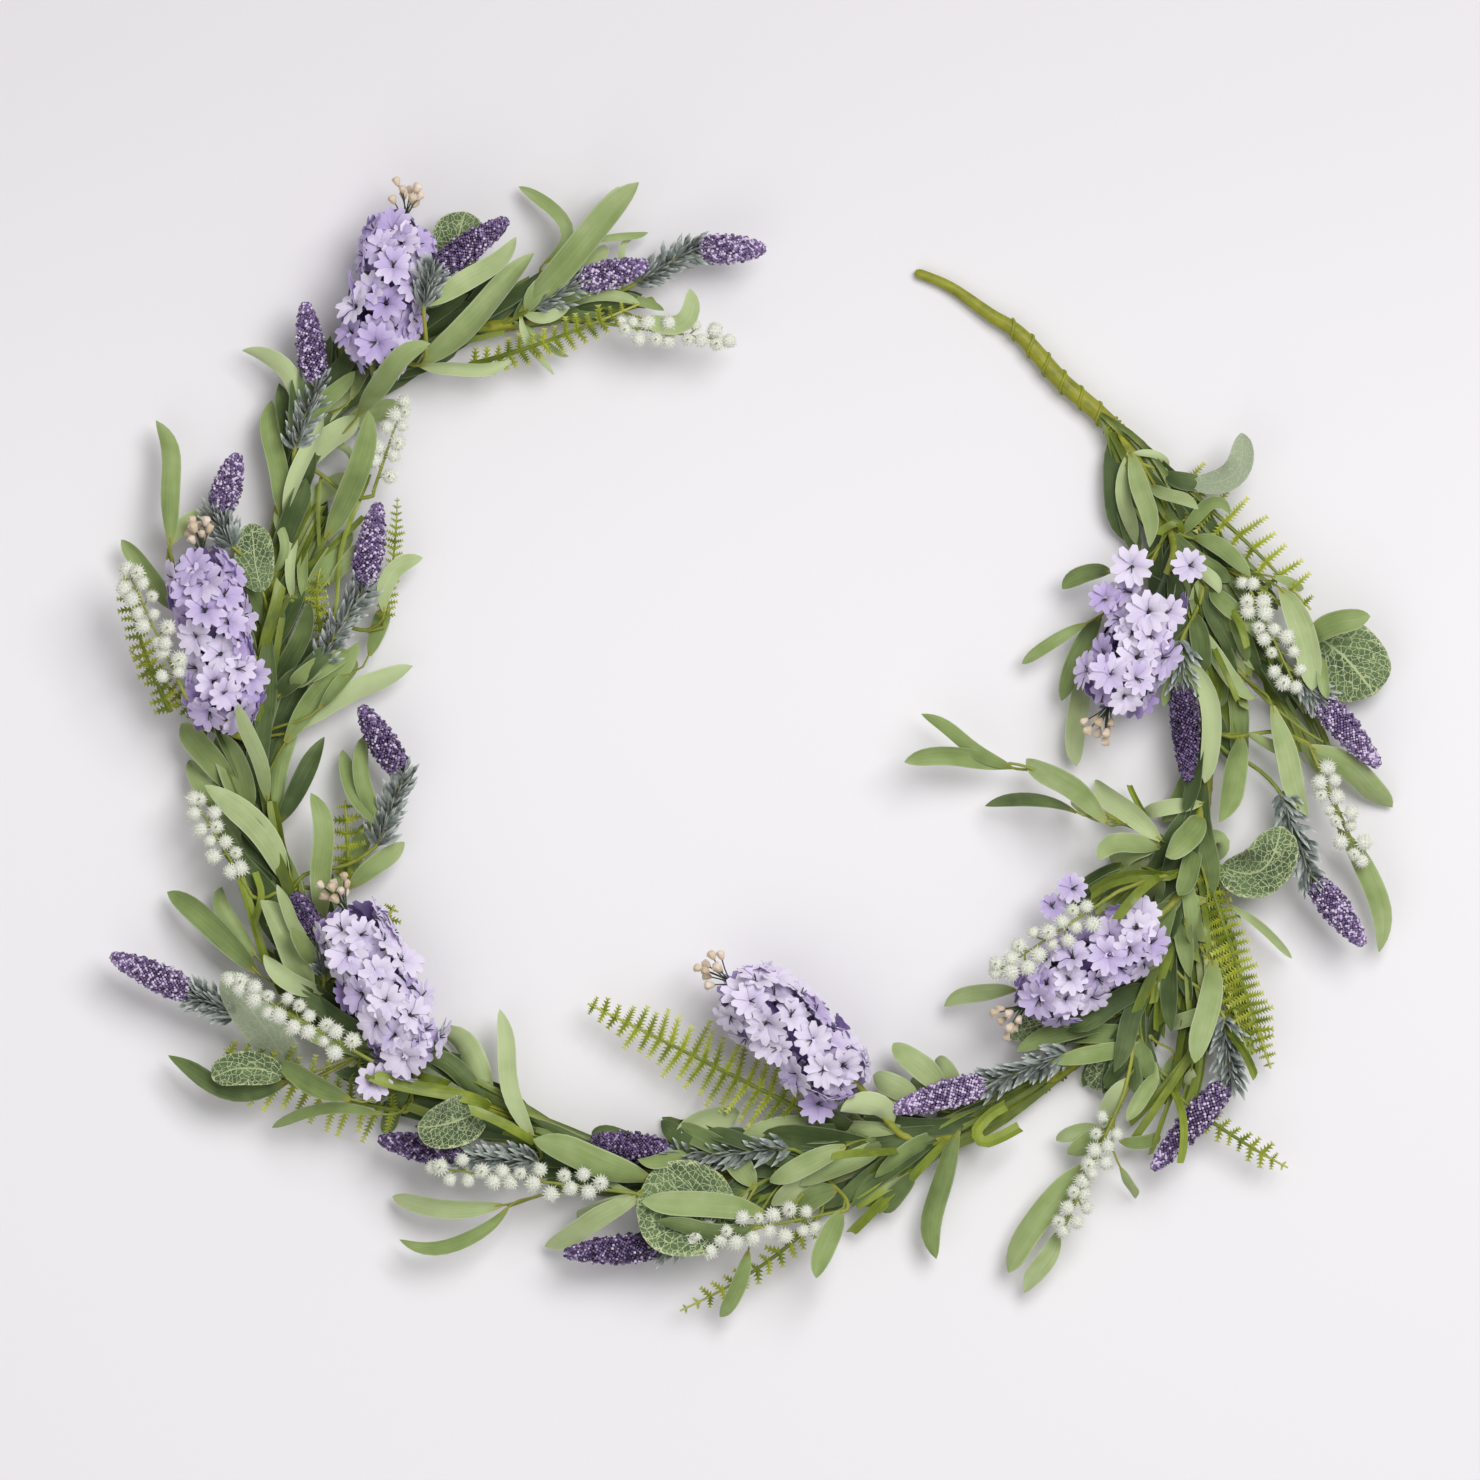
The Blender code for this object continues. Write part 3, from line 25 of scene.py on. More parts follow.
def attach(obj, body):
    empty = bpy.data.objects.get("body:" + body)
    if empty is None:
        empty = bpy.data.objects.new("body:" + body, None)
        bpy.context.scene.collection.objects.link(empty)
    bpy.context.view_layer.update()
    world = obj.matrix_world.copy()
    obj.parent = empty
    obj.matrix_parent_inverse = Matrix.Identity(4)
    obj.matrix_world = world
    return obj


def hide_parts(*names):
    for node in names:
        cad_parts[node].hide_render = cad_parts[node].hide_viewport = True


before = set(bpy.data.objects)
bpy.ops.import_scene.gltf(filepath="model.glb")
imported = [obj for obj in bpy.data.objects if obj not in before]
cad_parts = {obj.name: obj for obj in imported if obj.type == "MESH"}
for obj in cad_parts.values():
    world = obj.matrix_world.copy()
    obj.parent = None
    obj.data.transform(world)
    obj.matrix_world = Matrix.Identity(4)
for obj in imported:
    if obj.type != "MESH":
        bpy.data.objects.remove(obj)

log = logging.getLogger("garland")

MM = 0.001
SQUARE = 0.54 * MM
ORIGIN = (752.0, 747.5)
UP = Vector((0.0, 0.0, 1.0))
GOLDEN_ANGLE = math.pi * (3 - math.sqrt(5))
Plan = tuple[float, float]
Array = np.ndarray


class Layer(Enum):
    """The layer that a blade lies in: the heights in mm that its tip may have."""
    LOW = (3, 5, 8, 12, 17, 23, 30, 38, 46, 56)
    MIDDLE = (12, 8, 17, 5, 23, 3, 30, 38, 47, 57, 67)
    TOP = (40, 47, 34, 55, 28, 63, 22, 16, 10, 5)


class Cut(Enum):
    """How a blade is cut: shares of its length, with the share of its width in the solids there."""
    LEAF = ((0.26, 0.82), (0.62, 0.96), (1.0, 0.0))
    STRAP = ((0.06, 1.0), (0.5, 1.0), (1.0, 0.85))
    ROUND = ((0.06, 0.45), (0.26, 0.9), (0.52, 1.0), (0.8, 0.76), (1.0, 0.18))


LOW, MIDDLE, TOP = Layer


class Foot(NamedTuple):
    """The taped stretch of a bunch, between two plan points on the main stem."""
    start: Plan
    end: Plan


class Spike(NamedTuple):
    """A lavender: its bunch, where its needles start, and the base and tip of its head."""
    bunch: int
    root: Plan
    base: Plan
    tip: Plan


class Bloom(NamedTuple):
    """A hyacinth: its bunch, and the base and tip of its spike."""
    bunch: int
    base: Plan
    tip: Plan


class Spray(NamedTuple):
    """A spray of berries: its bunch, its root and its tip."""
    bunch: int
    root: Plan
    tip: Plan


class Frond(NamedTuple):
    """A fern frond: its bunch, its rib's points, and its leaflets.

    The leaflets' length and spacing are in squares, then come how far they lean to the tip and how
    sharply they shorten towards it.
    """
    bunch: int
    root: Plan
    middle: Plan
    tip: Plan
    reach: float
    step: float = 15
    lean: float = 0.12
    taper: float = 3.2


class Leaf(NamedTuple):
    """A blade: three points along its rib, its width, and the layer that it lies in."""
    heel: Plan
    middle: Plan
    tip: Plan
    width: float
    layer: Layer = MIDDLE


class Sheaf(NamedTuple):
    """Straps side by side: their bunch, three plan points, how many, and their breadth in all."""
    bunch: int
    start: Plan
    middle: Plan
    end: Plan
    count: int
    breadth: float


class Sprig(NamedTuple):
    """A thin stem that leaves grow on: its bunch, and points with their heights in mm."""
    bunch: int
    points: tuple


class Loop(NamedTuple):
    """A strap that bends back: its bunch, its width, and points with their heights in mm."""
    bunch: int
    width: float
    points: tuple


class Floret(NamedTuple):
    """A floret beside its bloom: where it is, its height in mm, its size and its shade."""
    bloom: int
    point: Plan
    height: float
    size: float
    tone: float


def blades(*rows: tuple) -> tuple[Leaf, ...]:
    """Blades from rows of their rib's six coordinates, their width and perhaps their layer."""
    return tuple(Leaf(row[:2], row[2:4], row[4:6], *row[6:]) for row in rows)


# The main stem, from its bare tail to its tip.
STEM_ROUTE = (
    (915, 272), (950, 287), (990, 315), (1020, 335), (1060, 380), (1100, 415), (1125, 445),
    (1165, 520), (1190, 600), (1203, 700), (1203, 790), (1190, 880), (1165, 960), (1120, 1020),
    (1060, 1070), (990, 1115), (900, 1150), (800, 1170), (700, 1170), (620, 1160), (540, 1130),
    (460, 1095), (390, 1060), (330, 1000), (300, 930), (285, 870), (262, 800), (258, 720),
    (265, 640), (275, 560), (290, 480), (320, 410), (370, 370), (430, 345), (500, 325), (560, 315),
)
FEET = (
    Foot((1118, 437), (1172, 545)), Foot((1203, 700), (1203, 745)), Foot((1201, 805), (1192, 868)),
    Foot((1168, 950), (1135, 1003)), Foot((1085, 1050), (1045, 1081)), Foot((960, 1127), (905, 1148)),
    Foot((830, 1166), (765, 1171)), Foot((675, 1168), (625, 1161)), Foot((525, 1124), (480, 1104)),
    Foot((415, 1074), (375, 1048)), Foot((325, 990), (307, 950)), Foot((289, 890), (281, 848)),
    Foot((259, 755), (260, 700)), Foot((270, 600), (278, 545)), Foot((295, 468), (308, 432)),
    Foot((368, 371), (415, 351)), Foot((470, 333), (560, 315)),
)
SPIKES = (
    Spike(1, (1180, 640), (1182, 682), (1187, 781)), Spike(1, (1300, 680), (1318, 700), (1377, 766)),
    Spike(2, (1279, 792), (1314, 882), (1362, 944)), Spike(4, (1223, 1016), (1225, 1083), (1152, 1168)),
    Spike(5, (1068, 1052), (985, 1083), (892, 1109)), Spike(7, (790, 1148), (668, 1152), (592, 1138)),
    Spike(7, (700, 1225), (660, 1245), (565, 1252)), Spike(9, (540, 1160), (460, 1155), (380, 1138)),
    Spike(11, (240, 1015), (192, 992), (113, 955)), Spike(11, (325, 975), (315, 940), (296, 893)),
    Spike(12, (377, 846), (400, 770), (362, 707)), Spike(13, (318, 665), (364, 585), (379, 504)),
    Spike(14, (234, 548), (221, 511), (239, 455)), Spike(15, (296, 450), (316, 382), (306, 304)),
    Spike(16, (425, 310), (440, 270), (508, 222)), Spike(17, (535, 307), (580, 284), (648, 265)),
    Spike(17, (635, 285), (700, 250), (765, 250)),
)
BLOOMS = (
    Bloom(1, (1165, 575), (1110, 700)), Bloom(3, (1145, 925), (1030, 1000)),
    Bloom(6, (850, 1078), (735, 985)), Bloom(10, (415, 1060), (350, 915)),
    Bloom(13, (225, 715), (205, 560)), Bloom(16, (375, 360), (405, 225)),
)
SPRAYS = (
    Spray(1, (1235, 560), (1298, 695)), Spray(2, (1310, 750), (1362, 865)),
    Spray(3, (1110, 895), (985, 978)), Spray(4, (1120, 1100), (1058, 1240)),
    Spray(7, (840, 1210), (682, 1242)), Spray(8, (636, 1192), (425, 1165)),
    Spray(10, (375, 1060), (225, 975)), Spray(12, (250, 890), (190, 790)),
    Spray(13, (190, 700), (125, 560)), Spray(15, (375, 490), (407, 395)), Spray(17, (594, 323), (735, 343)),
)
FRONDS = (
    Frond(1, (1175, 480), (1245, 542), (1310, 610), 32),
    Frond(3, (1210, 870), (1252, 960), (1292, 1072), 28),
    Frond(4, (1195, 1110), (1243, 1142), (1287, 1167), 24),
    Frond(6, (830, 1120), (700, 1055), (588, 1003), 46),
    Frond(7, (815, 1220), (757, 1268), (680, 1310), 26),
    Frond(10, (400, 1110), (300, 1085), (225, 1048), 38), Frond(14, (385, 620), (392, 560), (399, 498), 24),
    Frond(16, (470, 365), (545, 343), (640, 305), 27),
)
SMALL_FRONDS = (
    Frond(11, (370, 960), (382, 932), (395, 905), 18), Frond(12, (350, 880), (348, 840), (346, 800), 18),
    Frond(13, (215, 730), (172, 690), (130, 650), 20),
)
LEAVES = blades(
    # The tail bunch, at the upper right.
    (1124, 455, 1124, 505, 1136, 545, 16), (1132, 452, 1143, 500, 1148, 548, 20, TOP),
    (1144, 490, 1172, 498, 1197, 510, 14, TOP), (1110, 572, 1085, 574, 1062, 589, 18),
    (1085, 624, 1055, 641, 1022, 664, 13), (1100, 617, 1077, 656, 1061, 701, 20),
    (1087, 666, 1077, 713, 1076, 766, 21), (1189, 524, 1209, 505, 1229, 515, 14),
    (1195, 525, 1220, 548, 1249, 577, 18), (1194, 589, 1216, 609, 1244, 631, 18),
    (1199, 559, 1209, 577, 1219, 594, 14), (1202, 626, 1234, 681, 1256, 696, 16),
    (1206, 656, 1209, 706, 1204, 783, 20), (1237, 715, 1235, 770, 1218, 822, 24, TOP),
    (1244, 713, 1261, 741, 1303, 763, 12), (1271, 706, 1284, 756, 1307, 816, 24),
    (1279, 589, 1301, 631, 1311, 691, 26, TOP), (1318, 656, 1322, 680, 1326, 699, 12),
    (1321, 741, 1358, 776, 1392, 807, 26),
    # The sprig that points left, and the leaves round it.
    (1014, 765, 978, 741, 921, 711, 14, TOP), (1010, 767, 956, 756, 904, 762, 20, TOP),
    (1075, 806, 1060, 780, 1025, 759, 20), (1075, 812, 1036, 799, 985, 806, 14),
    (1105, 821, 1088, 810, 1073, 797, 14), (1160, 840, 1123, 808, 1095, 780, 22),
    (1160, 847, 1118, 843, 1099, 860, 20, TOP), (1207, 817, 1183, 840, 1164, 856, 26, TOP),
    (1201, 847, 1188, 871, 1177, 895, 20),
    # The lower right.
    (1015, 990, 980, 993, 944, 1006, 18), (1140, 1031, 1095, 1033, 1053, 1038, 20),
    (1145, 1045, 1095, 1053, 1051, 1062, 18), (1205, 900, 1160, 912, 1122, 942, 22, TOP),
    (1125, 1078, 1113, 1099, 1103, 1125, 20), (1204, 954, 1210, 989, 1197, 1027, 16),
    (1345, 830, 1382, 882, 1379, 952, 22), (1212, 960, 1208, 1003, 1193, 1062, 24, TOP),
    (1200, 1015, 1187, 1020, 1173, 1027, 16), (1102, 1129, 1076, 1131, 1056, 1140, 16),
    (1104, 1133, 1087, 1142, 1067, 1153, 20), (1119, 1140, 1139, 1142, 1160, 1136, 14),
    (1087, 1164, 1032, 1216, 1006, 1272, 26), (1058, 1231, 1043, 1263, 1024, 1292, 20),
    (1150, 1080, 1138, 1100, 1126, 1120, 16),
    # The bottom.
    (962, 1140, 938, 1190, 936, 1258, 22), (752, 1182, 735, 1158, 718, 1138, 26),
    (765, 1213, 705, 1203, 642, 1200, 26, TOP), (760, 1225, 705, 1230, 656, 1219, 18, TOP),
    (845, 1128, 790, 1126, 740, 1138, 24), (900, 1130, 865, 1128, 832, 1135, 16),
    (915, 1105, 875, 1103, 838, 1110, 20), (918, 1100, 893, 1085, 873, 1075, 24),
    (945, 1090, 915, 1062, 893, 1043, 26), (958, 1082, 945, 1068, 935, 1060, 18),
    (845, 1145, 799, 1166, 770, 1181, 22), (831, 1140, 815, 1150, 803, 1159, 14),
    (885, 1155, 842, 1165, 800, 1185, 22), (830, 1175, 794, 1187, 772, 1205, 22),
    (844, 1181, 809, 1200, 790, 1220, 24), (842, 1212, 825, 1245, 816, 1276, 22),
    (748, 1250, 738, 1285, 720, 1316, 16),
    # The bottom left.
    (551, 1128, 508, 1075, 500, 1009, 19), (493, 1090, 452, 1064, 421, 1058, 20),
    (650, 1178, 592, 1160, 534, 1138, 30, TOP), (503, 1204, 440, 1208, 393, 1196, 19),
    (508, 1207, 460, 1242, 400, 1239, 15), (648, 1208, 590, 1222, 545, 1246, 22),
    (690, 1165, 664, 1158, 638, 1158, 16), (690, 1150, 690, 1130, 740, 1112, 20),
    (290, 1080, 225, 1088, 169, 1055, 20), (352, 1098, 315, 1083, 277, 1062, 22),
    (382, 1112, 320, 1108, 273, 1127, 12), (412, 1080, 397, 1103, 384, 1133, 18),
    # The left.
    (286, 742, 322, 690, 360, 642, 24), (300, 728, 362, 686, 413, 666, 22),
    (277, 823, 278, 765, 292, 702, 23), (279, 823, 299, 787, 325, 737, 20),
    (268, 800, 258, 750, 240, 705, 16), (248, 812, 237, 770, 218, 735, 32),
    (235, 790, 205, 750, 182, 724, 26), (235, 815, 205, 790, 190, 760, 20),
    (291, 885, 255, 822, 206, 785, 27, TOP), (322, 925, 322, 850, 312, 793, 22),
    (366, 820, 350, 785, 343, 750, 16), (367, 820, 362, 775, 368, 735, 17),
    (337, 912, 350, 865, 368, 822, 20), (358, 899, 373, 867, 405, 842, 20),
    (258, 972, 212, 925, 168, 892, 24), (256, 955, 228, 915, 222, 887, 18),
    (312, 995, 285, 935, 262, 900, 28, TOP), (318, 950, 295, 922, 279, 884, 14),
    (325, 965, 305, 945, 292, 928, 18), (317, 1008, 291, 982, 265, 954, 20),
    # The upper left.
    (171, 546, 172, 480, 157, 421, 20), (171, 546, 194, 521, 224, 514, 18),
    (283, 516, 277, 460, 272, 401, 20), (285, 514, 300, 470, 324, 414, 16),
    (303, 466, 331, 437, 360, 418, 24), (327, 539, 358, 472, 370, 412, 24, TOP),
    (345, 425, 375, 412, 402, 404, 22), (308, 598, 332, 558, 352, 530, 20),
    (331, 583, 347, 562, 360, 544, 14), (304, 606, 303, 571, 306, 529, 11),
    (385, 612, 392, 575, 423, 558, 18), (370, 656, 378, 630, 388, 605, 18),
    (175, 610, 150, 575, 122, 540, 20),
    # The tip bunches, at the top.
    (416, 387, 478, 318, 535, 255, 26, TOP), (435, 309, 473, 280, 517, 239, 22, TOP),
    (513, 311, 570, 262, 639, 185, 28, TOP), (560, 262, 595, 228, 619, 187, 16),
    (545, 264, 566, 228, 519, 187, 14), (560, 305, 595, 297, 640, 304, 12),
    (637, 318, 680, 325, 690, 290, 20, TOP), (525, 315, 548, 318, 570, 305, 12),
    (420, 385, 465, 370, 512, 361, 14), (360, 415, 398, 368, 432, 346, 22),
    (322, 425, 345, 388, 358, 362, 24), (300, 432, 288, 372, 243, 351, 20),
)
STRAPS = blades(
    (1194, 512, 1175, 524, 1154, 537, 8), (1231, 601, 1240, 624, 1246, 649, 8),
    (1159, 862, 1124, 877, 1088, 895, 12, TOP), (1157, 866, 1135, 892, 1112, 921, 10, TOP),
    (1189, 1055, 1160, 1090, 1128, 1125, 8), (1186, 1062, 1152, 1110, 1130, 1144, 8),
    (1184, 1075, 1181, 1118, 1178, 1162, 8), (1230, 1025, 1242, 1050, 1254, 1078, 8),
    (905, 1150, 868, 1152, 829, 1155, 8), (900, 1170, 870, 1180, 842, 1189, 16),
    (900, 1178, 878, 1192, 855, 1205, 12), (892, 1189, 870, 1212, 850, 1233, 10),
    (470, 1098, 424, 1079, 375, 1060, 14), (545, 1138, 505, 1123, 467, 1107, 10),
    (462, 1088, 440, 1078, 419, 1068, 8), (264, 654, 273, 616, 282, 579, 12),
)
ROUNDS = blades(
    (1194, 440, 1240, 448, 1259, 492, 32, TOP), (1335, 628, 1350, 665, 1365, 710, 68),
    (1222, 830, 1250, 865, 1283, 902, 48), (1121, 1050, 1105, 1066, 1089, 1086, 30),
    (1088, 1020, 1048, 1022, 1007, 1034, 28), (737, 1205, 690, 1207, 640, 1205, 96),
    (478, 1125, 450, 1122, 419, 1125, 50), (280, 1072, 248, 1080, 217, 1080, 33),
    (290, 1050, 260, 1008, 226, 975, 28, TOP), (243, 588, 236, 556, 228, 525, 36),
    (450, 272, 458, 242, 466, 213, 52, TOP),
)
SMALL_LEAVES = blades(
    (905, 1112, 875, 1104, 840, 1110, 24, TOP), (1306, 642, 1336, 622, 1368, 617, 24, TOP),
    (1142, 447, 1155, 455, 1169, 465, 8), (1172, 537, 1166, 552, 1162, 567, 12, LOW),
    (1271, 577, 1288, 582, 1303, 589, 10), (1158, 845, 1129, 851, 1112, 864, 26, LOW),
    (1160, 871, 1151, 892, 1136, 914, 24, LOW), (1179, 801, 1161, 808, 1144, 814, 16, LOW),
    (1138, 1007, 1105, 1010, 1077, 1015, 10), (1228, 905, 1262, 928, 1291, 958, 9),
    (1185, 927, 1193, 943, 1204, 956, 8), (1167, 988, 1170, 1003, 1173, 1018, 8),
    (1119, 1166, 1128, 1182, 1135, 1198, 10), (1191, 1068, 1190, 1080, 1189, 1094, 14, LOW),
    (1210, 836, 1221, 841, 1210, 859, 16, LOW), (930, 1095, 920, 1085, 912, 1078, 20, LOW),
    (500, 1085, 468, 1050, 435, 1035, 26, LOW), (636, 1190, 610, 1181, 593, 1162, 7),
    (618, 1205, 597, 1208, 577, 1214, 14, LOW), (655, 1145, 618, 1133, 592, 1134, 10),
    (320, 709, 340, 685, 354, 657, 14, LOW), (270, 868, 240, 832, 209, 795, 20, LOW),
    (291, 520, 322, 493, 347, 474, 20, LOW), (330, 434, 343, 448, 350, 466, 8),
    (293, 600, 291, 565, 293, 528, 10), (283, 574, 286, 545, 275, 512, 10),
    (590, 243, 620, 238, 648, 233, 8), (612, 268, 622, 255, 631, 241, 7),
    (585, 272, 597, 258, 605, 245, 14, LOW), (605, 308, 640, 302, 664, 311, 10),
    (519, 312, 530, 345, 554, 375, 9), (513, 321, 541, 340, 569, 357, 8),
    (352, 400, 365, 372, 372, 350, 12, LOW),
)
SMALL_STRAPS = blades(
    (1216, 656, 1227, 678, 1236, 701, 6, TOP), (1165, 1099, 1158, 1127, 1150, 1155, 5),
    (1204, 912, 1206, 930, 1208, 950, 6, TOP), (1149, 825, 1139, 804, 1129, 784, 6),
    (532, 1125, 503, 1107, 473, 1088, 8, LOW), (312, 564, 338, 540, 364, 516, 6),
    (350, 522, 360, 498, 370, 474, 5), (320, 545, 321, 510, 322, 475, 4),
)
# Straps side by side, as the stems of the picks run along the main stem.
SHEAVES = (
    Sheaf(1, (1113, 429), (1138, 465), (1168, 520), 9, 46),
    Sheaf(1, (1160, 470), (1213, 535), (1270, 592), 6, 14),
    Sheaf(1, (1178, 525), (1234, 612), (1262, 700), 6, 46),
    Sheaf(1, (1190, 545), (1212, 640), (1222, 730), 5, 30),
    Sheaf(1, (1228, 610), (1284, 692), (1322, 765), 7, 30),
    Sheaf(3, (1196, 830), (1200, 910), (1205, 1010), 6, 34),
    Sheaf(3, (1208, 886), (1226, 958), (1250, 1060), 4, 24),
    Sheaf(3, (1190, 840), (1140, 872), (1092, 912), 6, 40),
    Sheaf(4, (1195, 960), (1190, 1040), (1175, 1120), 6, 34),
    Sheaf(5, (1075, 1058), (1010, 1100), (940, 1136), 6, 34),
    Sheaf(6, (950, 1128), (900, 1165), (848, 1215), 5, 44),
    Sheaf(6, (960, 1122), (900, 1140), (830, 1152), 5, 30),
    Sheaf(8, (680, 1168), (600, 1152), (510, 1118), 5, 26),
    Sheaf(9, (560, 1135), (500, 1108), (430, 1075), 6, 36),
    Sheaf(11, (330, 1000), (300, 930), (285, 860), 5, 26),
    Sheaf(13, (262, 770), (262, 690), (275, 600), 5, 26),
    Sheaf(14, (268, 640), (300, 560), (335, 490), 6, 36),
    Sheaf(16, (350, 395), (420, 350), (500, 325), 5, 26),
)
# Thin stems with leaves on them, each from its root to its end.
SPRIGS = (
    Sprig(3, ((1172, 843, 12), (1130, 826, 18), (1095, 808, 22), (1060, 787, 24), (1030, 768, 26),
              (1008, 763, 28))),
    Sprig(8, ((625, 1186, 10), (590, 1190, 12), (550, 1192, 18), (508, 1206, 22))),
    Sprig(13, ((258, 745, 8), (218, 690, 12), (185, 610, 24), (171, 546, 34))),
    Sprig(17, ((512, 318, 12), (538, 292, 22), (556, 263, 30))),
    Sprig(4, ((1150, 1035, 12), (1124, 1095, 22), (1104, 1133, 26), (1085, 1175, 27),
              (1062, 1225, 26))),
    Sprig(1, ((1205, 630, 12), (1255, 690, 18), (1300, 728, 22), (1322, 742, 24))),
    Sprig(1, ((1208, 560, 12), (1262, 590, 20), (1316, 636, 26))),
    Sprig(2, ((1310, 750, 22), (1328, 795, 24), (1346, 832, 25))),
)
# Open spots beside the stem where the floor or bare tape shows: plan points and their reach.
CLEARINGS = (
    (1042, 1132, 58), (985, 1152, 40), (1020, 1100, 34), (572, 1108, 32), (625, 1128, 26),
    (1152, 752, 44), (1218, 792, 16), (1264, 800, 36), (480, 388, 42), (436, 402, 34),
    (556, 356, 40), (252, 492, 34), (258, 450, 24), (302, 792, 30), (306, 852, 22), (236, 900, 22),
    (240, 960, 22), (462, 1188, 34), (712, 1272, 30), (850, 1242, 20), (1246, 905, 24),
    (1290, 560, 40), (1330, 610, 30), (640, 350, 40), (1095, 760, 40), (682, 1178, 22),
    (1010, 1092, 30), (326, 470, 18),
)
# The blades that are shown bent or placed otherwise than their solids, by the numbers that
# Survey.run gives them, and how many mm they are raised.
SHOWN = {
    19: (Leaf((1012, 768), (972, 748), (921, 714), 15), 0),
    21: (Leaf((1104, 822), (1066, 786), (1026, 759), 24), 0),
    34: (Leaf((1338, 830), (1372, 885), (1378, 952), 22), 0),
    40: (Leaf((1087, 1164), (1042, 1212), (1008, 1272), 26), 0),
    45: (Leaf((765, 1213), (705, 1203), (642, 1200), 26, TOP), 10),
    46: (Leaf((760, 1225), (705, 1230), (656, 1219), 18, TOP), 11),
    67: (Leaf((676, 1143), (700, 1122), (739, 1113), 26), 0),
    111: (Leaf((637, 318), (680, 325), (690, 290), 20, TOP), 8),
    500: (Leaf((1191, 484), (1233, 474), (1240, 434), 27), 0),
    501: (Leaf((1310, 634), (1345, 659), (1374, 694), 75), 0),
    502: (Leaf((1221, 866), (1261, 869), (1279, 826), 52), 0),
    505: (Leaf((737, 1208), (690, 1207), (637, 1203), 98), 9),
    507: (Leaf((284, 1076), (248, 1067), (214, 1078), 34), 14),
    508: (Leaf((294, 1074), (262, 1022), (225, 972), 44), 0),
    509: (Leaf((264, 592), (256, 560), (252, 524), 40), 14),
}
# Straps that bend back on themselves, or out of their bunch.
LOOPS = (
    Loop(6, 12, ((1004, 1104, 18), (988, 1114, 24), (975, 1130, 30), (982, 1142, 32), (1000, 1137, 28),
                 (1019, 1127, 24))),
    Loop(11, 9, ((282, 992, 14), (264, 955, 22), (252, 912, 27), (238, 868, 30))),
    Loop(11, 7, ((254, 925, 26), (262, 895, 28), (256, 872, 27))),
)
# Florets that stand clear of their bloom: height in mm, size and shade.
LONE_FLORETS = (
    Floret(1, (1130, 567), 50, 1.02, 0.85), Floret(1, (1187, 566), 48, 0.86, 0.8),
    Floret(1, (1104, 598), 40, 0.8, 0.35), Floret(4, (375, 1080), 44, 0.95, 0.8),
    Floret(3, (818, 1104), 30, 0.92, 0.3), Floret(5, (253, 676), 44, 0.95, 0.6),
    Floret(5, (214, 708), 48, 0.9, 0.55), Floret(2, (1071, 887), 36, 0.76, 0.5),
    Floret(2, (1052, 906), 34, 0.66, 0.45),
)
# How pale each bloom is, and by how much each lavender head is paler or darker than its own draw.
BLOOM_SHADES = (0.52, 0.42, 0.62, 0.66, 0.37, 0.35)
HEAD_SHADES = (-0.2, 0.3, 0.26, 0.2, 0.4, -0.1, 0.0, 0.0, 0.26, -0.1, 0.05, 0.24, 0.22, 0.2, 0.0,
               0.2, 0.26)
# The fronds that are shown otherwise than their solids, by the node that each belongs to.
SHOWN_FRONDS = {
    "fern_01": Frond(1, (1175, 480), (1245, 542), (1310, 610), 32, 19),
    "fern_02": Frond(3, (1206, 872), (1234, 960), (1270, 1068), 21, 9),
    "fern_03": Frond(4, (1195, 1110), (1243, 1142), (1287, 1167), 15, 12.5, 0.3),
    "fern_04": Frond(6, (830, 1124), (709, 1063), (588, 1003), 41, 12.5, 0.1, 1.7),
    "fern_05": Frond(7, (815, 1220), (757, 1268), (680, 1310), 15, 13.5, 0.45),
    "fern_07": Frond(14, (385, 620), (394, 560), (398, 498), 10, 7, 0.4),
    "fern_08": Frond(16, (470, 365), (545, 343), (640, 305), 17, 12, 0.3),
    "bunch_13": Frond(13, (215, 730), (172, 690), (130, 650), 12, 8),
}
# Fronds that the solids leave out, with their level in mm.
MORE_FRONDS = (
    (Frond(13, (172, 712), (142, 640), (124, 566), 15, 10), 26),
    (Frond(13, (330, 655), (318, 610), (322, 565), 13, 8), 16),
    (Frond(3, (1200, 880), (1216, 950), (1246, 1050), 16, 10), 16),
)


def place(point: Plan, height: float) -> Vector:
    """The world point over a plan point, at a height in metres."""
    return Vector(((point[0] - ORIGIN[0]) * SQUARE, (ORIGIN[1] - point[1]) * SQUARE, height))


def flat(vector: Vector) -> Vector:
    """A vector with its height taken out."""
    return Vector((vector.x, vector.y, 0.0))


def heights(level: float, tilt: float) -> tuple[float, float]:
    """The heights of a piece's root and tip, from its level and tilt in mm."""
    return (level - tilt / 2) * MM, (level + tilt / 2) * MM


def of_bunch(items: Iterable[Any], number: int) -> list[Any]:
    """Those of some items that belong to a bunch."""
    return [item for item in items if item.bunch == number]


def smooth(points: list[Vector], steps: int) -> list[Vector]:
    """Points along the Catmull-Rom curve through the given ones.

    Args:
        points: the points that the curve goes through.
        steps: how many stretches each span between two of them is cut into.

    Returns:
        The points along the curve, ends included.
    """
    ends = [points[0] * 2 - points[1]] + list(points) + [points[-1] * 2 - points[-2]]
    row = []
    for a, b, c, d in zip(ends, ends[1:], ends[2:], ends[3:]):
        for step in range(steps):
            t = step / steps
            row.append((b * 2 + (c - a) * t + (a * 2 - b * 5 + c * 4 - d) * t ** 2
                        + (b * 3 - a - c * 3 + d) * t ** 3) / 2)
    return row + [points[-1]]


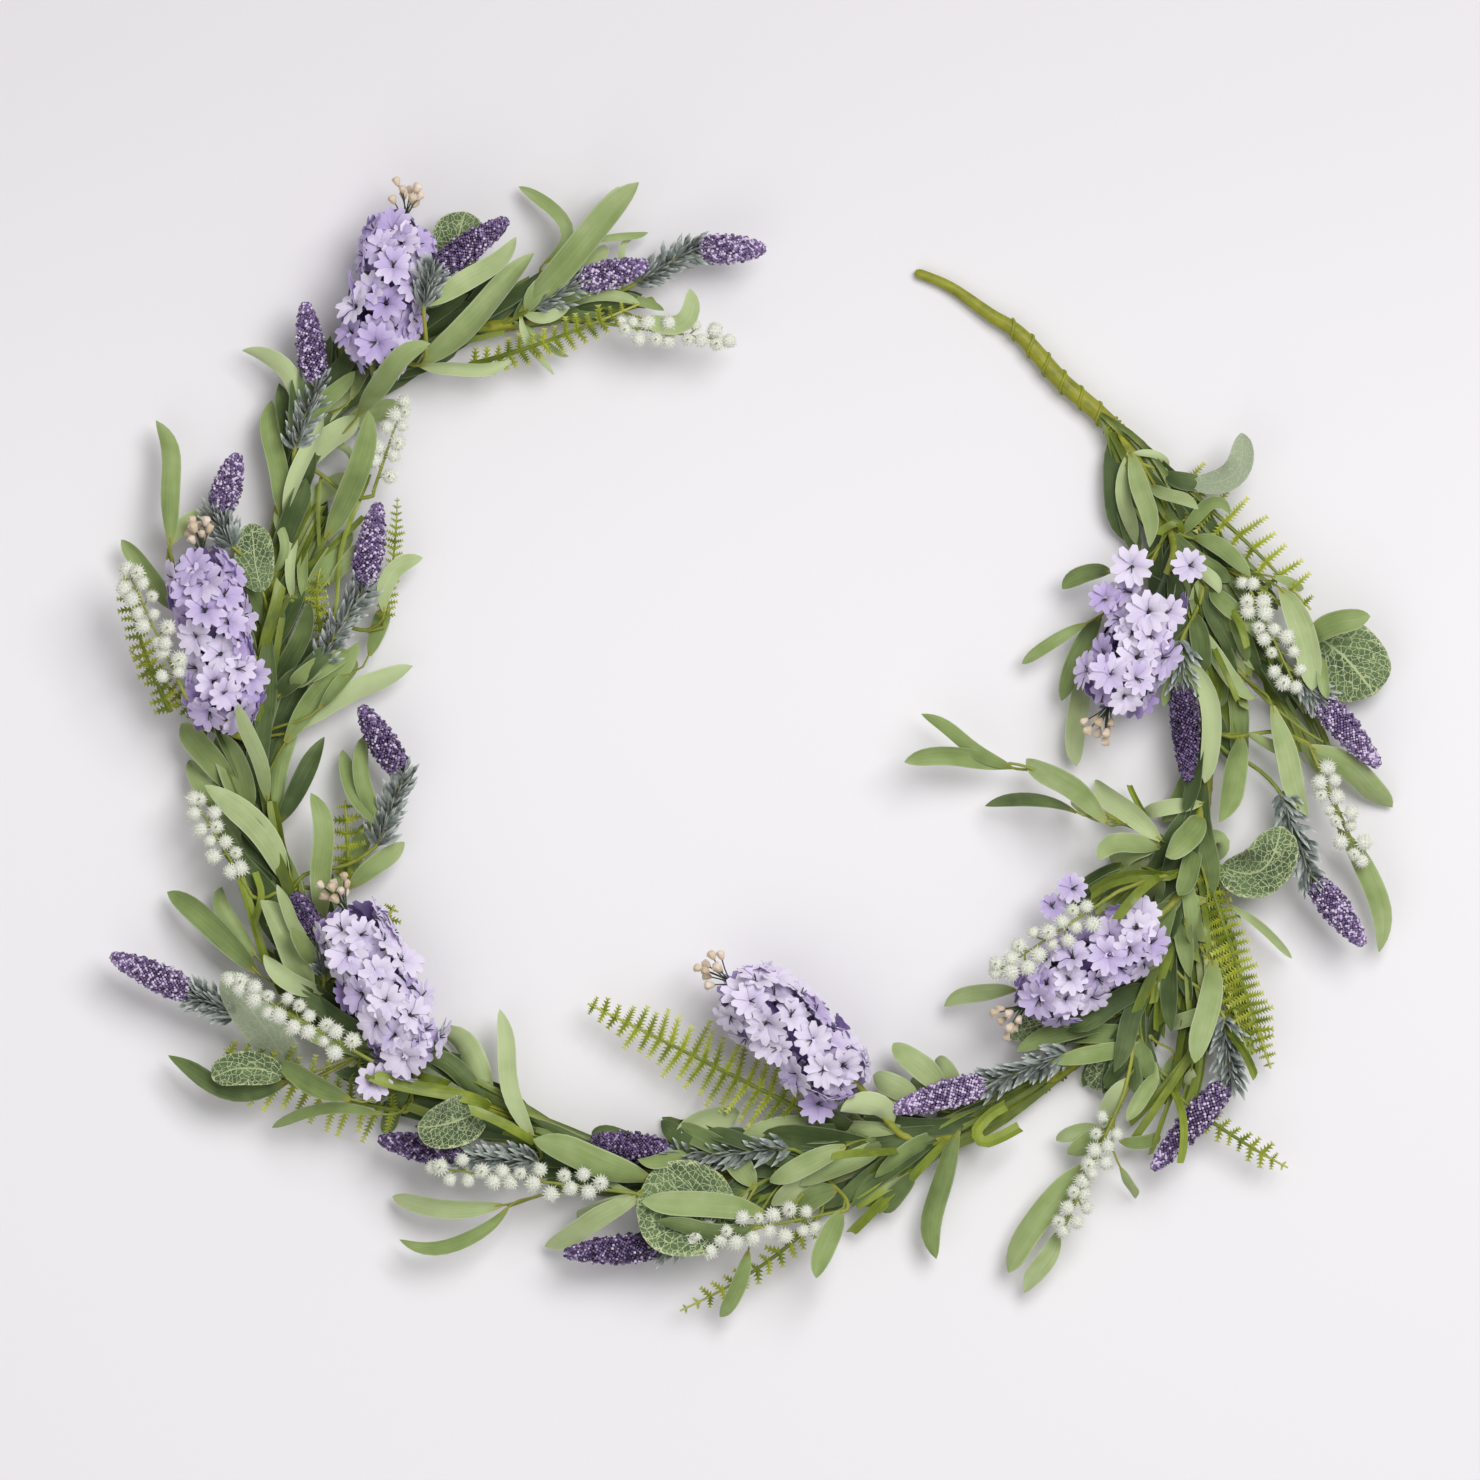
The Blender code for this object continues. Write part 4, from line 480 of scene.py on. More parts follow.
def bow(start: Vector, middle: Vector, end: Vector, share: float) -> Vector:
    """The point at a share of the way along the bow through three points."""
    return (start * ((1 - share) * (1 - 2 * share)) + middle * (4 * share * (1 - share))
            + end * (share * (2 * share - 1)))


def bowed(start: Vector, middle: Vector, end: Vector, steps: int = 16) -> list[Vector]:
    """Points all along the bow through three points."""
    return [bow(start, middle, end, k / steps) for k in range(steps + 1)]


def around(along: Vector, turn: float) -> Vector:
    """The way out from an axis, at a turn about it from its left side."""
    left = UP.cross(along).normalized()
    return left * math.cos(turn) + along.cross(left) * math.sin(turn)


def stray(rng: random.Random) -> Vector:
    """A short way in any direction."""
    return Vector([rng.uniform(-1, 1) for _ in range(3)])


def clamp(value: float, low: float = 0.0, high: float = 1.0) -> float:
    """A value kept between two others."""
    return min(max(value, low), high)


def link(name: str, data: bpy.types.ID) -> bpy.types.Object:
    """A new object in the scene that shows some data."""
    item = bpy.data.objects.new(name, data)
    bpy.context.scene.collection.objects.link(item)
    return item


def bezier(a: Vector, b: Vector, c: Vector, d: Vector, share: float) -> Vector:
    """The point at a share of the way along a cubic curve."""
    rest = 1 - share
    return (a * rest ** 3 + b * (3 * rest ** 2 * share) + c * (3 * rest * share ** 2)
            + d * share ** 3)


def frames(spine: Sequence[Vector], roll: float = 0.0) -> list[tuple[Vector, Vector, Vector]]:
    """For each point of a spine: the point, and the ways to its side and to its upper face."""
    rows = []
    for k, point in enumerate(spine):
        along = (spine[min(k + 1, len(spine) - 1)] - spine[max(k - 1, 0)]).normalized()
        side = along.cross(UP)
        side = side.normalized() if side.length > 0.01 else Vector((1.0, 0.0, 0.0))
        rise = side.cross(along)
        rows.append((point, side * math.cos(roll) + rise * math.sin(roll),
                     rise * math.cos(roll) - side * math.sin(roll)))
    return rows


def corners_of(spine: Sequence[Vector], radius: float, sides: int,
               turns: Iterable[float] = ()) -> list[list[Vector]]:
    """The rings of corners that a solid tube has along a spine.

    Args:
        spine: the points along the tube's middle.
        radius: its radius.
        sides: how many corners a ring has.
        turns: by how much more than a quarter each ring is turned, or nothing for all alike.

    Returns:
        One list of corners for each point of the spine.
    """
    turns = list(turns) or [0.0] * len(spine)
    return [[point + (side * math.cos(math.tau * (k / sides + 0.25) + turn)
                      + rise * math.sin(math.tau * (k / sides + 0.25) + turn)) * radius
             for k in range(sides)]
            for (point, side, rise), turn in zip(frames(spine), turns)]


class Solid:
    """One of the frame's solids, as a tree of its corners."""

    WORST = 3 * MM

    def __init__(self, item: bpy.types.Object) -> None:
        """Take the corners of a node's mesh."""
        vertices = item.data.vertices
        self.tree = KDTree(len(vertices))
        for k, vertex in enumerate(vertices):
            self.tree.insert(vertex.co, k)
        self.tree.balance()

    def off(self, point: Vector) -> float:
        """How far the nearest corner is from a point."""
        return self.tree.find(point)[2]

    def misfit(self, points: Sequence[Vector]) -> float:
        """How far the solid's corners are from some points, on average."""
        return sum(min(self.off(point), self.WORST) for point in points) / len(points)


@dataclass
class Twig:
    """A foot or a side stem of a bunch, and whether it is needled below a lavender's head."""
    node: str
    path: list[Vector]
    radius: float
    spike: bool = False
    foot: bool = False


@dataclass
class Blade:
    """A leaf, strap or round leaf as it stands: its rib, its width and how it is cut."""
    node: str
    rib: list[Vector]
    width: float
    roll: float
    cut: Cut
    pale: bool = False


@dataclass
class Carried:
    """A piece that a side stem carries: its kind, its number, and the level and tilt in mm."""
    node: str
    item: Any
    level: float
    tilt: float


@dataclass
class Survey:
    """Where every piece of the garland stands, read off the corners of the frame's solids.

    The fields are the sizes that the solids were laid out with, and what each kind of piece may
    have been given: heights in mm, and how much a tip is above its root.
    """
    gap: float = 0.3 * MM
    stem_radius: float = 4.8 * MM
    tail_radius: float = 2.7 * MM
    tail_length: float = 100 * MM
    stem_height: float = 7.6 * MM
    tail_height: float = 3.6 * MM
    foot_radius: float = 3.6 * MM
    foot_step: float = 14 * MM
    side_radius: float = 1.3 * MM
    bloom_stem_radius: float = 2.4 * MM
    bloom_reach: float = 20 * MM
    lowest_sunk: float = 4 * MM
    straight_end: float = 4 * MM
    head_radius: float = 7.4 * MM
    head_grains: float = 0.15
    berry_radius: float = 4.35 * MM
    stalk_arch: float = 2 * MM
    rib_arch: float = 3 * MM
    needle_rows: int = 4
    needle_turn: float = math.radians(35)
    needle_dips: tuple = (0, -6, 6, -13, 13)
    blade_thickness: float = 1.3 * MM
    lowest_heel: float = 1.5 * MM
    shortest_petiole: float = 14 * MM
    leaflet_step: float = 7 * MM
    largest_roll: float = math.radians(18)
    heel_rises: tuple = (1.5, -9, 9, -14, 18, -20)
    blade_sways: tuple = (0, 4, -4, 8, -8)
    blade_arches: tuple = (4, 0, 9, -5, 16)
    stem_sways: tuple = (0, 7, -7, 16, -16)
    stem_arches: tuple = (0, 5, -5, 10, -9, 18)
    pale_rounds: tuple = (0, 8)
    solids: dict = field(default_factory=dict)
    twigs: list = field(default_factory=list)
    carried: list = field(default_factory=list)
    blades: list = field(default_factory=list)

    def __post_init__(self) -> None:
        """Take the frame's solids and lay out the main stem's centre line."""
        self.solids = {name: Solid(item) for name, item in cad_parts.items()}
        self.line = smooth([place(point, 0.0) for point in STEM_ROUTE], 8)
        self.lengths = [0.0]
        for a, b in zip(self.line, self.line[1:]):
            self.lengths.append(self.lengths[-1] + (b - a).length)
        for point, along in zip(self.line, self.lengths):
            full = self.fullness(along)
            point.z = self.tail_height + (self.stem_height - self.tail_height) * full

    def fullness(self, along: float) -> float:
        """From 0 at the bare tail to 1 where the bunches start."""
        share = min(along / self.tail_length, 1.0)
        return share * share * (3 - 2 * share)

    def at(self, along: float) -> Vector:
        """The main stem's centre at a length along it."""
        for k, (a, b) in enumerate(zip(self.lengths, self.lengths[1:])):
            if along <= b:
                return self.line[k].lerp(self.line[k + 1], (along - a) / (b - a))
        return self.line[-1].copy()

    def nearest(self, point: Plan) -> float:
        """The length along the main stem that is nearest a plan point."""
        target = place(point, 0.0)
        distances = [flat(centre - target).length for centre in self.line]
        return self.lengths[distances.index(min(distances))]

    def run(self) -> None:
        """Find the feet, then what is carried and its stems, and the blades last."""
        for number, foot in enumerate(FEET, 1):
            start, end = self.nearest(foot.start), self.nearest(foot.end)
            count = max(3, round((end - start) / self.foot_step) + 1)
            rise = UP * (self.stem_radius + self.gap + self.foot_radius)
            line = [self.at(start + (end - start) * k / (count - 1)) + rise for k in range(count)]
            self.twigs.append(Twig(f"bunch_{number:02d}", line, self.foot_radius, foot=True))
        for number, item in enumerate(BLOOMS, 1):
            self.set_piece("hyacinth", number, item)
        for number, item in enumerate(ROUNDS):
            self.blades.append(self.find_blade(500 + number, item, Cut.ROUND))
            self.blades[-1].pale = number in self.pale_rounds
        for kind, items in (("lavender_head", SPIKES), ("berry_spray", SPRAYS), ("fern", FRONDS),
                            ("bunch", SMALL_FRONDS)):
            for number, item in enumerate(items, 1):
                self.set_piece(kind, number, item)
        for number, item in enumerate(STRAPS):
            self.blades.append(self.find_blade(700 + number, item, Cut.STRAP))
        for number, item in enumerate(LEAVES):
            self.blades.append(self.find_blade(number, item, Cut.LEAF))
        self.sink_stems()

    def sink_stems(self) -> None:
        """Take the thin side stems under the blooms that they cross."""
        axes = [self.axis(piece.item, piece.level, piece.tilt) for piece in self.carried
                if isinstance(piece.item, Bloom)]
        points = [point for twig in self.twigs if not twig.foot and twig.radius == self.side_radius
                  for point in twig.path]
        for base, tip in axes:
            along = flat(tip - base)
            for point in points:
                share = flat(point - base).dot(along) / along.length_squared
                centre = base.lerp(tip, share)
                if -0.15 < share < 1 and flat(point - centre).length < self.bloom_reach:
                    point.z = min(point.z, max(centre.z - self.bloom_reach, self.lowest_sunk))

    def axis(self, item: Any, level: float, tilt: float) -> tuple[Vector, Vector]:
        """The base and tip of a bloom or head whose middle is at a level."""
        low, high = heights(level, tilt)
        return place(item.base, low), place(item.tip, high)

    def stalk(self, item: Spray, level: float, tilt: float) -> list[Vector]:
        """Root, middle and end of a berry stalk, which ends in the middle of its last berry."""
        low, high = heights(level, tilt)
        root, tip = place(item.root, low), place(item.tip, high)
        end = tip - (tip - root).normalized() * self.berry_radius
        return [root, (root + end) / 2 + UP * self.stalk_arch, end]

    def rib(self, item: Frond, level: float, tilt: float) -> list[Vector]:
        """Root, middle and tip of a frond's rib."""
        low, high = heights(level, tilt)
        return [place(item.root, low), place(item.middle, level * MM + self.rib_arch),
                place(item.tip, high)]

    def corners(self, item: Any, level: float, tilt: float) -> list[Vector]:
        """Corners that a carried piece's solid has at a level and tilt: its root's and its tip."""
        if isinstance(item, Bloom):
            base, tip = self.axis(item, level, tilt)
            return corners_of([base, tip], self.bloom_stem_radius, 4)[0][::2]
        if isinstance(item, Spike):
            base, tip = self.axis(item, level, tilt)
            _, side, rise = frames([base, tip])[0]
            reach = self.head_radius * 0.5 * (1 + self.head_grains)
            return [tip, base + side * reach]
        if isinstance(item, Spray):
            line = self.stalk(item, level, tilt)
            return [place(item.tip, heights(level, tilt)[1]), line[0]]
        line = self.rib(item, level, tilt)
        return [line[2], line[0]]

    def joint(self, item: Any, level: float, tilt: float) -> tuple[Vector, Vector]:
        """Where a side stem meets a carried piece, and the way it arrives."""
        if isinstance(item, (Bloom, Spike)):
            base, tip = self.axis(item, level, tilt)
            return base, (tip - base).normalized()
        if isinstance(item, Spray):
            line = self.stalk(item, level, tilt)
            return line[0], (bow(*line, 0.25) - line[0]).normalized()
        line = self.rib(item, level, tilt)
        pairs = max(4, round((line[2] - line[0]).length / self.leaflet_step))
        return line[0], (bow(*line, 1 / pairs) - line[0]).normalized()

    def set_piece(self, kind: str, number: int, item: Any) -> None:
        """Find a carried piece's level and tilt, and the side stem that leads to it."""
        node = f"{kind}_{(item.bunch if kind == 'bunch' else number):02d}"
        levels, tilts = LEVELS[type(item)]
        solid = self.solids[node]
        level, tilt = min(((a, b) for a in levels for b in tilts),
                          key=lambda choice: solid.misfit(self.corners(item, *choice)))
        shown = SHOWN_FRONDS.get(node, item)
        self.carried.append(Carried(node, shown, level, tilt))
        self.lead_stem(item, level, tilt, -1 * MM if kind == "bunch" else self.gap)

    def lead_stem(self, item: Any, level: float, tilt: float, gap: float) -> None:
        """Find the path of a side stem, from its bunch's foot to what it carries."""
        node = f"bunch_{item.bunch:02d}"
        line = self.twigs[item.bunch - 1].path
        joint, approach = self.joint(item, level, tilt)
        end = [joint - approach * self.straight_end, joint - approach * gap]
        needled = isinstance(item, Spike)
        radius = self.bloom_stem_radius if isinstance(item, Bloom) else self.side_radius
        ways = [end]
        if needled:
            roots = [place(item.root, joint.z + dip * MM) for dip in self.needle_dips]
            ways = [[root.lerp(end[0], k / self.needle_rows) for k in range(self.needle_rows)]
                    + end for root in roots]
        best = None
        for way in ways:
            distances = [flat(point - way[0]).length for point in line]
            first = max(0, distances.index(min(distances)) - 1)
            for k in sorted(range(len(line)), key=lambda k: abs(k - first))[:3]:
                heading = (line[min(k + 1, len(line) - 1)] - line[max(k - 1, 0)]).normalized()
                for sway, arch in product(self.stem_sways, self.stem_arches):
                    path = self.stem_path(line[k], heading, way, arch, sway)
                    skip = len(path) - 2 - self.needle_rows if needled else len(path)
                    turns = [self.needle_turn * max(0, j - skip) for j in range(len(path))]
                    rings = corners_of(path, radius, 3, turns)[1:]
                    score = self.solids[node].misfit([p for ring in rings for p in ring])
                    if best is None or score < best[0]:
                        best = (score, path)
        self.twigs.append(Twig(node, best[1], radius, spike=needled))

    @staticmethod
    def stem_path(start: Vector, heading: Vector, way: list[Vector], arch: float,
                  sway: float) -> list[Vector]:
        """A side stem's path from its bunch's foot, and along the points to what it carries."""
        root = way[0]
        approach = (way[1] - root).normalized()
        reach = (root - start).length / 3
        offset = UP * arch * MM + heading.cross(UP).normalized() * sway * MM
        knees = (start + heading * reach + offset, root - approach * reach + offset)
        return [bezier(start, *knees, root, k / 3) for k in range(4)] + way[1:]

    def anchors(self, heel: Vector, middle: Vector, count: int = 5) -> list[tuple[str, Vector]]:
        """The likeliest places on the twigs for a blade to grow from, nearest ones first."""
        ranked = []
        way = (middle - heel).normalized()
        for twig in self.twigs:
            best = None
            for a, b in zip(twig.path, twig.path[1:]):
                stretch = flat(b - a)
                share = flat(heel - a).dot(stretch) / max(stretch.length_squared, 1e-12)
                point = a.lerp(b, clamp(share))
                distance = flat(point - heel).length
                if best is None or distance < best[1]:
                    best = (point, distance)
            point, distance = best
            ahead = flat(heel - point).normalized().dot(way) if distance > 1e-6 else 1.0
            ranked.append((distance * (1.5 - 0.5 * ahead), twig.node, point))
        ranked.sort(key=lambda row: row[0])
        return [(node, point) for _, node, point in ranked[:count]]

    def blade_bow(self, item: Leaf, anchor: Vector, rise: float, height: float, arch: float,
                  sway: float) -> tuple[Vector, Vector, Vector]:
        """Start, middle and tip of a blade's rib for one choice of its heights and bends."""
        start = anchor
        heel = place(item.heel, max(anchor.z + rise * MM, self.lowest_heel))
        if flat(heel - anchor).length > self.shortest_petiole:
            start = heel
        tip = place(item.tip, height * MM)
        across = flat(tip - start).cross(UP).normalized() * sway * MM
        middle = place(item.middle, max((start.z + tip.z) / 2 + arch * MM, self.lowest_heel))
        return start, middle + across / 2, tip + across

    def stances(self, item: Leaf, anchor: Vector, solid: Solid,
                reach: float) -> Iterator[tuple[Vector, Vector, Vector]]:
        """The bows that a blade may have whose tips are within reach of a solid's corners."""
        short = flat(place(item.heel, 0.0) - anchor).length <= self.shortest_petiole
        rises = self.heel_rises[:1] if short else self.heel_rises
        for sway, height in product(self.blade_sways, item.layer.value):
            tip = self.blade_bow(item, anchor, 0.0, height, 0.0, sway)[2]
            if solid.off(tip) <= reach:
                for rise, arch in product(rises, self.blade_arches):
                    yield self.blade_bow(item, anchor, rise, height, arch, sway)

    def find_blade(self, number: int, item: Leaf, cut: Cut) -> Blade:
        """Find how a blade stands among the heights and bends that it may have.

        Args:
            number: the seed of its roll.
            item: its row in the tables.
            cut: how it is cut.

        Returns:
            The blade whose corners lie nearest those of the solids.
        """
        roll = random.Random(number).uniform(-self.largest_roll, self.largest_roll)
        widths = [share * item.width * SQUARE for _, share in cut.value]
        slack = 0.1 * MM if cut is Cut.LEAF else widths[-1] / 2 + 2 * MM
        best = None
        for reach in (slack, math.inf):
            for node, anchor in self.anchors(place(item.heel, 0.0), place(item.middle, 0.0)):
                solid = self.solids[node]
                for ends in self.stances(item, anchor, solid, reach):
                    score = self.blade_misfit(solid, anchor, ends, roll, widths, cut)
                    if best is None or score < best[0]:
                        best = (score, node, ends)
            if best and best[0] < Solid.WORST / 2:
                break
        _, node, ends = best
        if number in SHOWN:
            item, lift = SHOWN[number]
            ends = [place(point, end.z + lift * MM) for point, end in zip(item, ends)]
        rib = bowed(*ends)
        return Blade(node, rib, item.width * SQUARE, roll, cut)

    def blade_misfit(self, solid: Solid, anchor: Vector, ends: Sequence[Vector], roll: float,
                     widths: list[float], cut: Cut) -> float:
        """How far a solid's corners are from those that a blade would have."""
        path = [anchor] + ([ends[0]] if ends[0] != anchor else [])
        path += [bow(*ends, share) for share, _ in cut.value]
        points = []
        for (point, side, rise), width in zip(frames(path, roll)[-len(widths):], widths):
            if width:
                points += [point - side * width / 2, point + side * width / 2]
            points.append(point + rise * (self.blade_thickness if width else 0.0))
        return solid.misfit(points)

    def guess_blade(self, number: int, item: Leaf, cut: Cut) -> Blade:
        """Stand a blade that the solids leave out on its nearest twig."""
        rng = random.Random(number)
        node, anchor = self.anchors(place(item.heel, 0.0), place(item.middle, 0.0), 1)[0]
        height = rng.choice(item.layer.value[:3])
        ends = self.blade_bow(item, anchor, 1.5, height, rng.uniform(2, 7), 0.0)
        rib = bowed(*ends)
        roll = rng.uniform(-self.largest_roll, self.largest_roll)
        return Blade(node, rib, item.width * SQUARE, roll, cut)


# What the solids of each kind may have been given: levels, and how much a tip is above its root.
LEVELS = {
    Bloom: ((36, 38, 40, 43, 46, 50, 54, 58), (2, -3, 6)),
    Spike: ((28, 32, 24, 36, 41, 20, 46, 52, 58, 15, 64), (2, 9, -7)),
    Spray: ((30, 34, 26, 39, 44, 22, 50, 56, 62, 18, 68, 74), (3, 10, -8)),
    Frond: ((18, 22, 14, 27, 32, 38, 44, 10, 50, 56), (0, -7, 8, 16)),
}


class Value:
    """A node's output, with Python's operators, each of which adds a Math node."""

    def __init__(self, graph: "Graph", socket: bpy.types.NodeSocket) -> None:
        """Wrap a socket of a graph."""
        self.graph = graph
        self.socket = socket

    def math(self, operation: str, *values: "Operand") -> "Value":
        """The result of a Math node on up to three values."""
        return self.graph.add("ShaderNodeMath", {"operation": operation}, dict(enumerate(values)))

    def __add__(self, other: "Operand") -> "Value":
        """This and another."""
        return self.math("ADD", self, other)

    __radd__ = __add__

    def __sub__(self, other: "Operand") -> "Value":
        """This less another."""
        return self.math("SUBTRACT", self, other)

    def __rsub__(self, other: "Operand") -> "Value":
        """Another less this."""
        return self.math("SUBTRACT", other, self)

    def __mul__(self, other: "Operand") -> "Value":
        """This times another."""
        return self.math("MULTIPLY", self, other)

    __rmul__ = __mul__

    def __truediv__(self, other: "Operand") -> "Value":
        """This over another."""
        return self.math("DIVIDE", self, other)

    def __pow__(self, other: "Operand") -> "Value":
        """This to a power."""
        return self.math("POWER", self, other)

    def __abs__(self) -> "Value":
        """This without its sign."""
        return self.math("ABSOLUTE", self)

    def fraction(self) -> "Value":
        """What is left of this past a whole number."""
        return self.math("FRACT", self)

    def fade(self, low: float, high: float) -> "Value":
        """From 0 where this is at low to 1 where it is at high, eased at both ends."""
        return self.graph.add("ShaderNodeMapRange", {"interpolation_type": "SMOOTHSTEP"},
                              {0: self, 1: low, 2: high})


Operand = Union[Value, float]
Colour = tuple[float, float, float, float]


def tint(red: int, green: int, blue: int) -> Colour:
    """A colour for a shader, from its values on a screen."""
    def light(value: int) -> float:
        share = value / 255
        return share / 12.92 if share < 0.04045 else ((share + 0.055) / 1.055) ** 2.4

    return light(red), light(green), light(blue), 1.0


class Graph:
    """A material's nodes, added one by one."""

    def __init__(self, name: str) -> None:
        """Start a material with its one shader."""
        self.material = bpy.data.materials.new(name)
        self.material.use_nodes = True
        self.tree = self.material.node_tree
        self.shader = self.tree.nodes["Principled BSDF"]

    def add(self, kind: str, settings: dict[str, Any], sockets: dict[Any, Any],
            out: Any = 0) -> Value:
        """Add a node.

        Args:
            kind: the node's type.
            settings: its properties, set first.
            sockets: its inputs by name or number, each with a link or a value.
            out: the output that is wanted.

        Returns:
            That output.
        """
        node = self.tree.nodes.new(kind)
        for key, value in settings.items():
            setattr(node, key, value)
        self.feed(node, sockets)
        return Value(self, node.outputs[out])

    def feed(self, node: bpy.types.Node, sockets: dict[Any, Any]) -> None:
        """Link or set a node's inputs."""
        for key, value in sockets.items():
            if isinstance(value, Value):
                self.tree.links.new(value.socket, node.inputs[key])
            else:
                node.inputs[key].default_value = value

    def mix(self, share: Operand, first: Any, second: Any) -> Value:
        """A colour that goes from the first to the second."""
        return self.add("ShaderNodeMix", {"data_type": "RGBA"}, {0: share, 6: first, 7: second}, 2)

    def spot(self) -> tuple[Value, Value, Value]:
        """Where on its own blade or rod a point lies: along it, across it and up through it."""
        return self.parts(self.add("ShaderNodeAttribute", {"attribute_name": "spot"}, {}, "Vector"))

    def parts(self, vector: Value) -> tuple[Value, Value, Value]:
        """A vector's three values."""
        node = self.tree.nodes.new("ShaderNodeSeparateXYZ")
        self.feed(node, {0: vector})
        return tuple(Value(self, output) for output in node.outputs)

    def tone(self) -> Value:
        """The shade from 0 to 1 that each blade, petal or grain was given; for blades and florets it also
        holds painted shade and painted light.
        """
        return self.add("ShaderNodeAttribute", {"attribute_name": "tone"}, {}, "Fac")

    def place(self) -> Value:
        """Where a point of the garland lies, in metres."""
        return self.add("ShaderNodeTexCoord", {}, {}, "Object")

    def vector(self, x: Operand, y: Operand, z: Operand) -> Value:
        """A vector from three values."""
        return self.add("ShaderNodeCombineXYZ", {}, {0: x, 1: y, 2: z})

    def noise(self, vector: Value, scale: float, detail: float = 2.0) -> Value:
        """Soft noise from about 0.3 to 0.7, of so many lumps a metre or a unit."""
        return self.add("ShaderNodeTexNoise", {},
                        {"Vector": vector, "Scale": scale, "Detail": detail}, "Fac")

    def grain(self, x: Operand, y: Operand, z: Operand = 0.0, detail: float = 2.0) -> Value:
        """Soft noise over three values, of one lump a unit of each."""
        return self.noise(self.vector(x, y, z), 1.0, detail)

    def edges(self, vector: Value, scale: float) -> Value:
        """How far a point is from the nearest border between cells."""
        return self.add("ShaderNodeTexVoronoi", {"feature": "DISTANCE_TO_EDGE"},
                        {"Vector": vector, "Scale": scale}, "Distance")

    def bump(self, height: Value, depth: float, strength: float = 1.0) -> Value:
        """A normal that follows a height of so many metres."""
        return self.add("ShaderNodeBump", {},
                        {"Height": height, "Distance": depth, "Strength": strength}, "Normal")

    def finish(self, **sockets: Any) -> bpy.types.Material:
        """Feed the shader by its inputs' names, with _ for a space, and return the material."""
        self.feed(self.shader, {key.replace("_", " "): value for key, value in sockets.items()})
        return self.material


@dataclass(frozen=True)
class SageFabric:
    """The satin fabric of the long leaves: streaked along, pale-edged, yellowish at the heel."""
    deep: Colour = tint(56, 76, 28)
    middle: Colour = tint(137, 156, 90)
    pale: Colour = tint(184, 198, 146)
    under: Colour = tint(182, 194, 160)
    edge: Colour = tint(204, 214, 176)
    heel: Colour = tint(166, 156, 50)
    clouds: float = 60.0
    edge_start: float = 0.86
    heel_end: float = 0.2
    roughness: float = 0.68
    sheen: float = 0.12
    relief: float = 0.2 * MM

    def material(self) -> bpy.types.Material:
        """The leaves' material."""
        graph = Graph("sage_fabric")
        along, across, up = graph.spot()
        streaks = graph.grain(along * 3.0, across * 8.0, graph.tone() * 40.0)
        cloud = graph.noise(graph.place(), self.clouds)
        shade = (graph.tone() * 0.95 + (cloud - 0.5) * 0.5 + (streaks - 0.5) * 0.25
                 + along * 0.16 - 0.04)
        face = graph.mix(shade.fade(-0.05, 0.55), self.deep, self.middle)
        face = graph.mix(shade.fade(0.4, 1.0), face, self.pale)
        face = graph.mix((1.0 - up) * 0.6, face, self.under)
        face = graph.mix((1.0 - along.fade(0.0, self.heel_end)) * 0.5, face, self.heel)
        rim = abs(across).fade(self.edge_start, 1.0) * (graph.tone() * 0.6 + 0.15)
        face = graph.mix(rim, face, self.edge)
        weave = graph.grain(along * 30.0, across * 60.0)
        return graph.finish(Base_Color=face, Roughness=self.roughness, Sheen_Weight=self.sheen,
                            Sheen_Roughness=0.5,
                            Normal=graph.bump(streaks + weave * 0.3, self.relief, 0.6))


@dataclass(frozen=True)
class FlockedLeaf:
    """A round eucalyptus leaf: flocked dark green under a fine pale net of veins."""
    deep: Colour = tint(50, 72, 46)
    mid: Colour = tint(104, 128, 82)
    vein: Colour = tint(202, 212, 160)
    pale: Colour = tint(180, 190, 164)
    cell: float = 700.0
    coarse: float = 300.0
    flock: float = 2500.0
    clouds: float = 70.0
    side_veins: float = 8.0
    vein_sweep: float = 3.4
    vein_strength: float = 0.68
    roughness: float = 0.85
    sheen: float = 0.25
    relief: float = 0.25 * MM

    def material(self) -> bpy.types.Material:
        """The round leaves' material."""
        graph = Graph("flocked_leaf")
        along, across, up = graph.spot()
        spot = graph.place()
        midrib = 1.0 - abs(across).fade(0.015, 0.05)
        side = (along * self.side_veins - abs(across) * self.vein_sweep).fraction()
        ribs = 1.0 - abs(side - 0.5).fade(0.02, 0.07)
        net = 1.0 - graph.edges(spot, self.cell).fade(0.02, 0.12)
        mesh = 1.0 - graph.edges(spot, self.coarse).fade(0.02, 0.08)
        veins = (midrib + ribs * 0.65 + net * 0.45 + mesh * 0.7).fade(0.1, 0.95)
        rim = (abs(across).fade(0.84, 1.0) + along.fade(0.92, 1.0)) * 0.35
        flock = graph.noise(spot, self.flock)
        ground = graph.mix((graph.noise(spot, self.clouds) + graph.tone() * 0.4).fade(0.3, 0.9),
                           self.deep, self.mid)
        face = graph.mix((veins * self.vein_strength + rim).fade(0.0, 1.0), ground, self.vein)
        face = graph.mix(graph.tone().fade(0.7, 1.0) * 0.7, face, self.pale)
        face = graph.mix((1.0 - up) * 0.5, face, self.mid)
        return graph.finish(Base_Color=face, Roughness=self.roughness, Sheen_Weight=self.sheen,
                            Sheen_Roughness=0.4,
                            Normal=graph.bump(veins * 0.6 + flock, self.relief, 0.7))


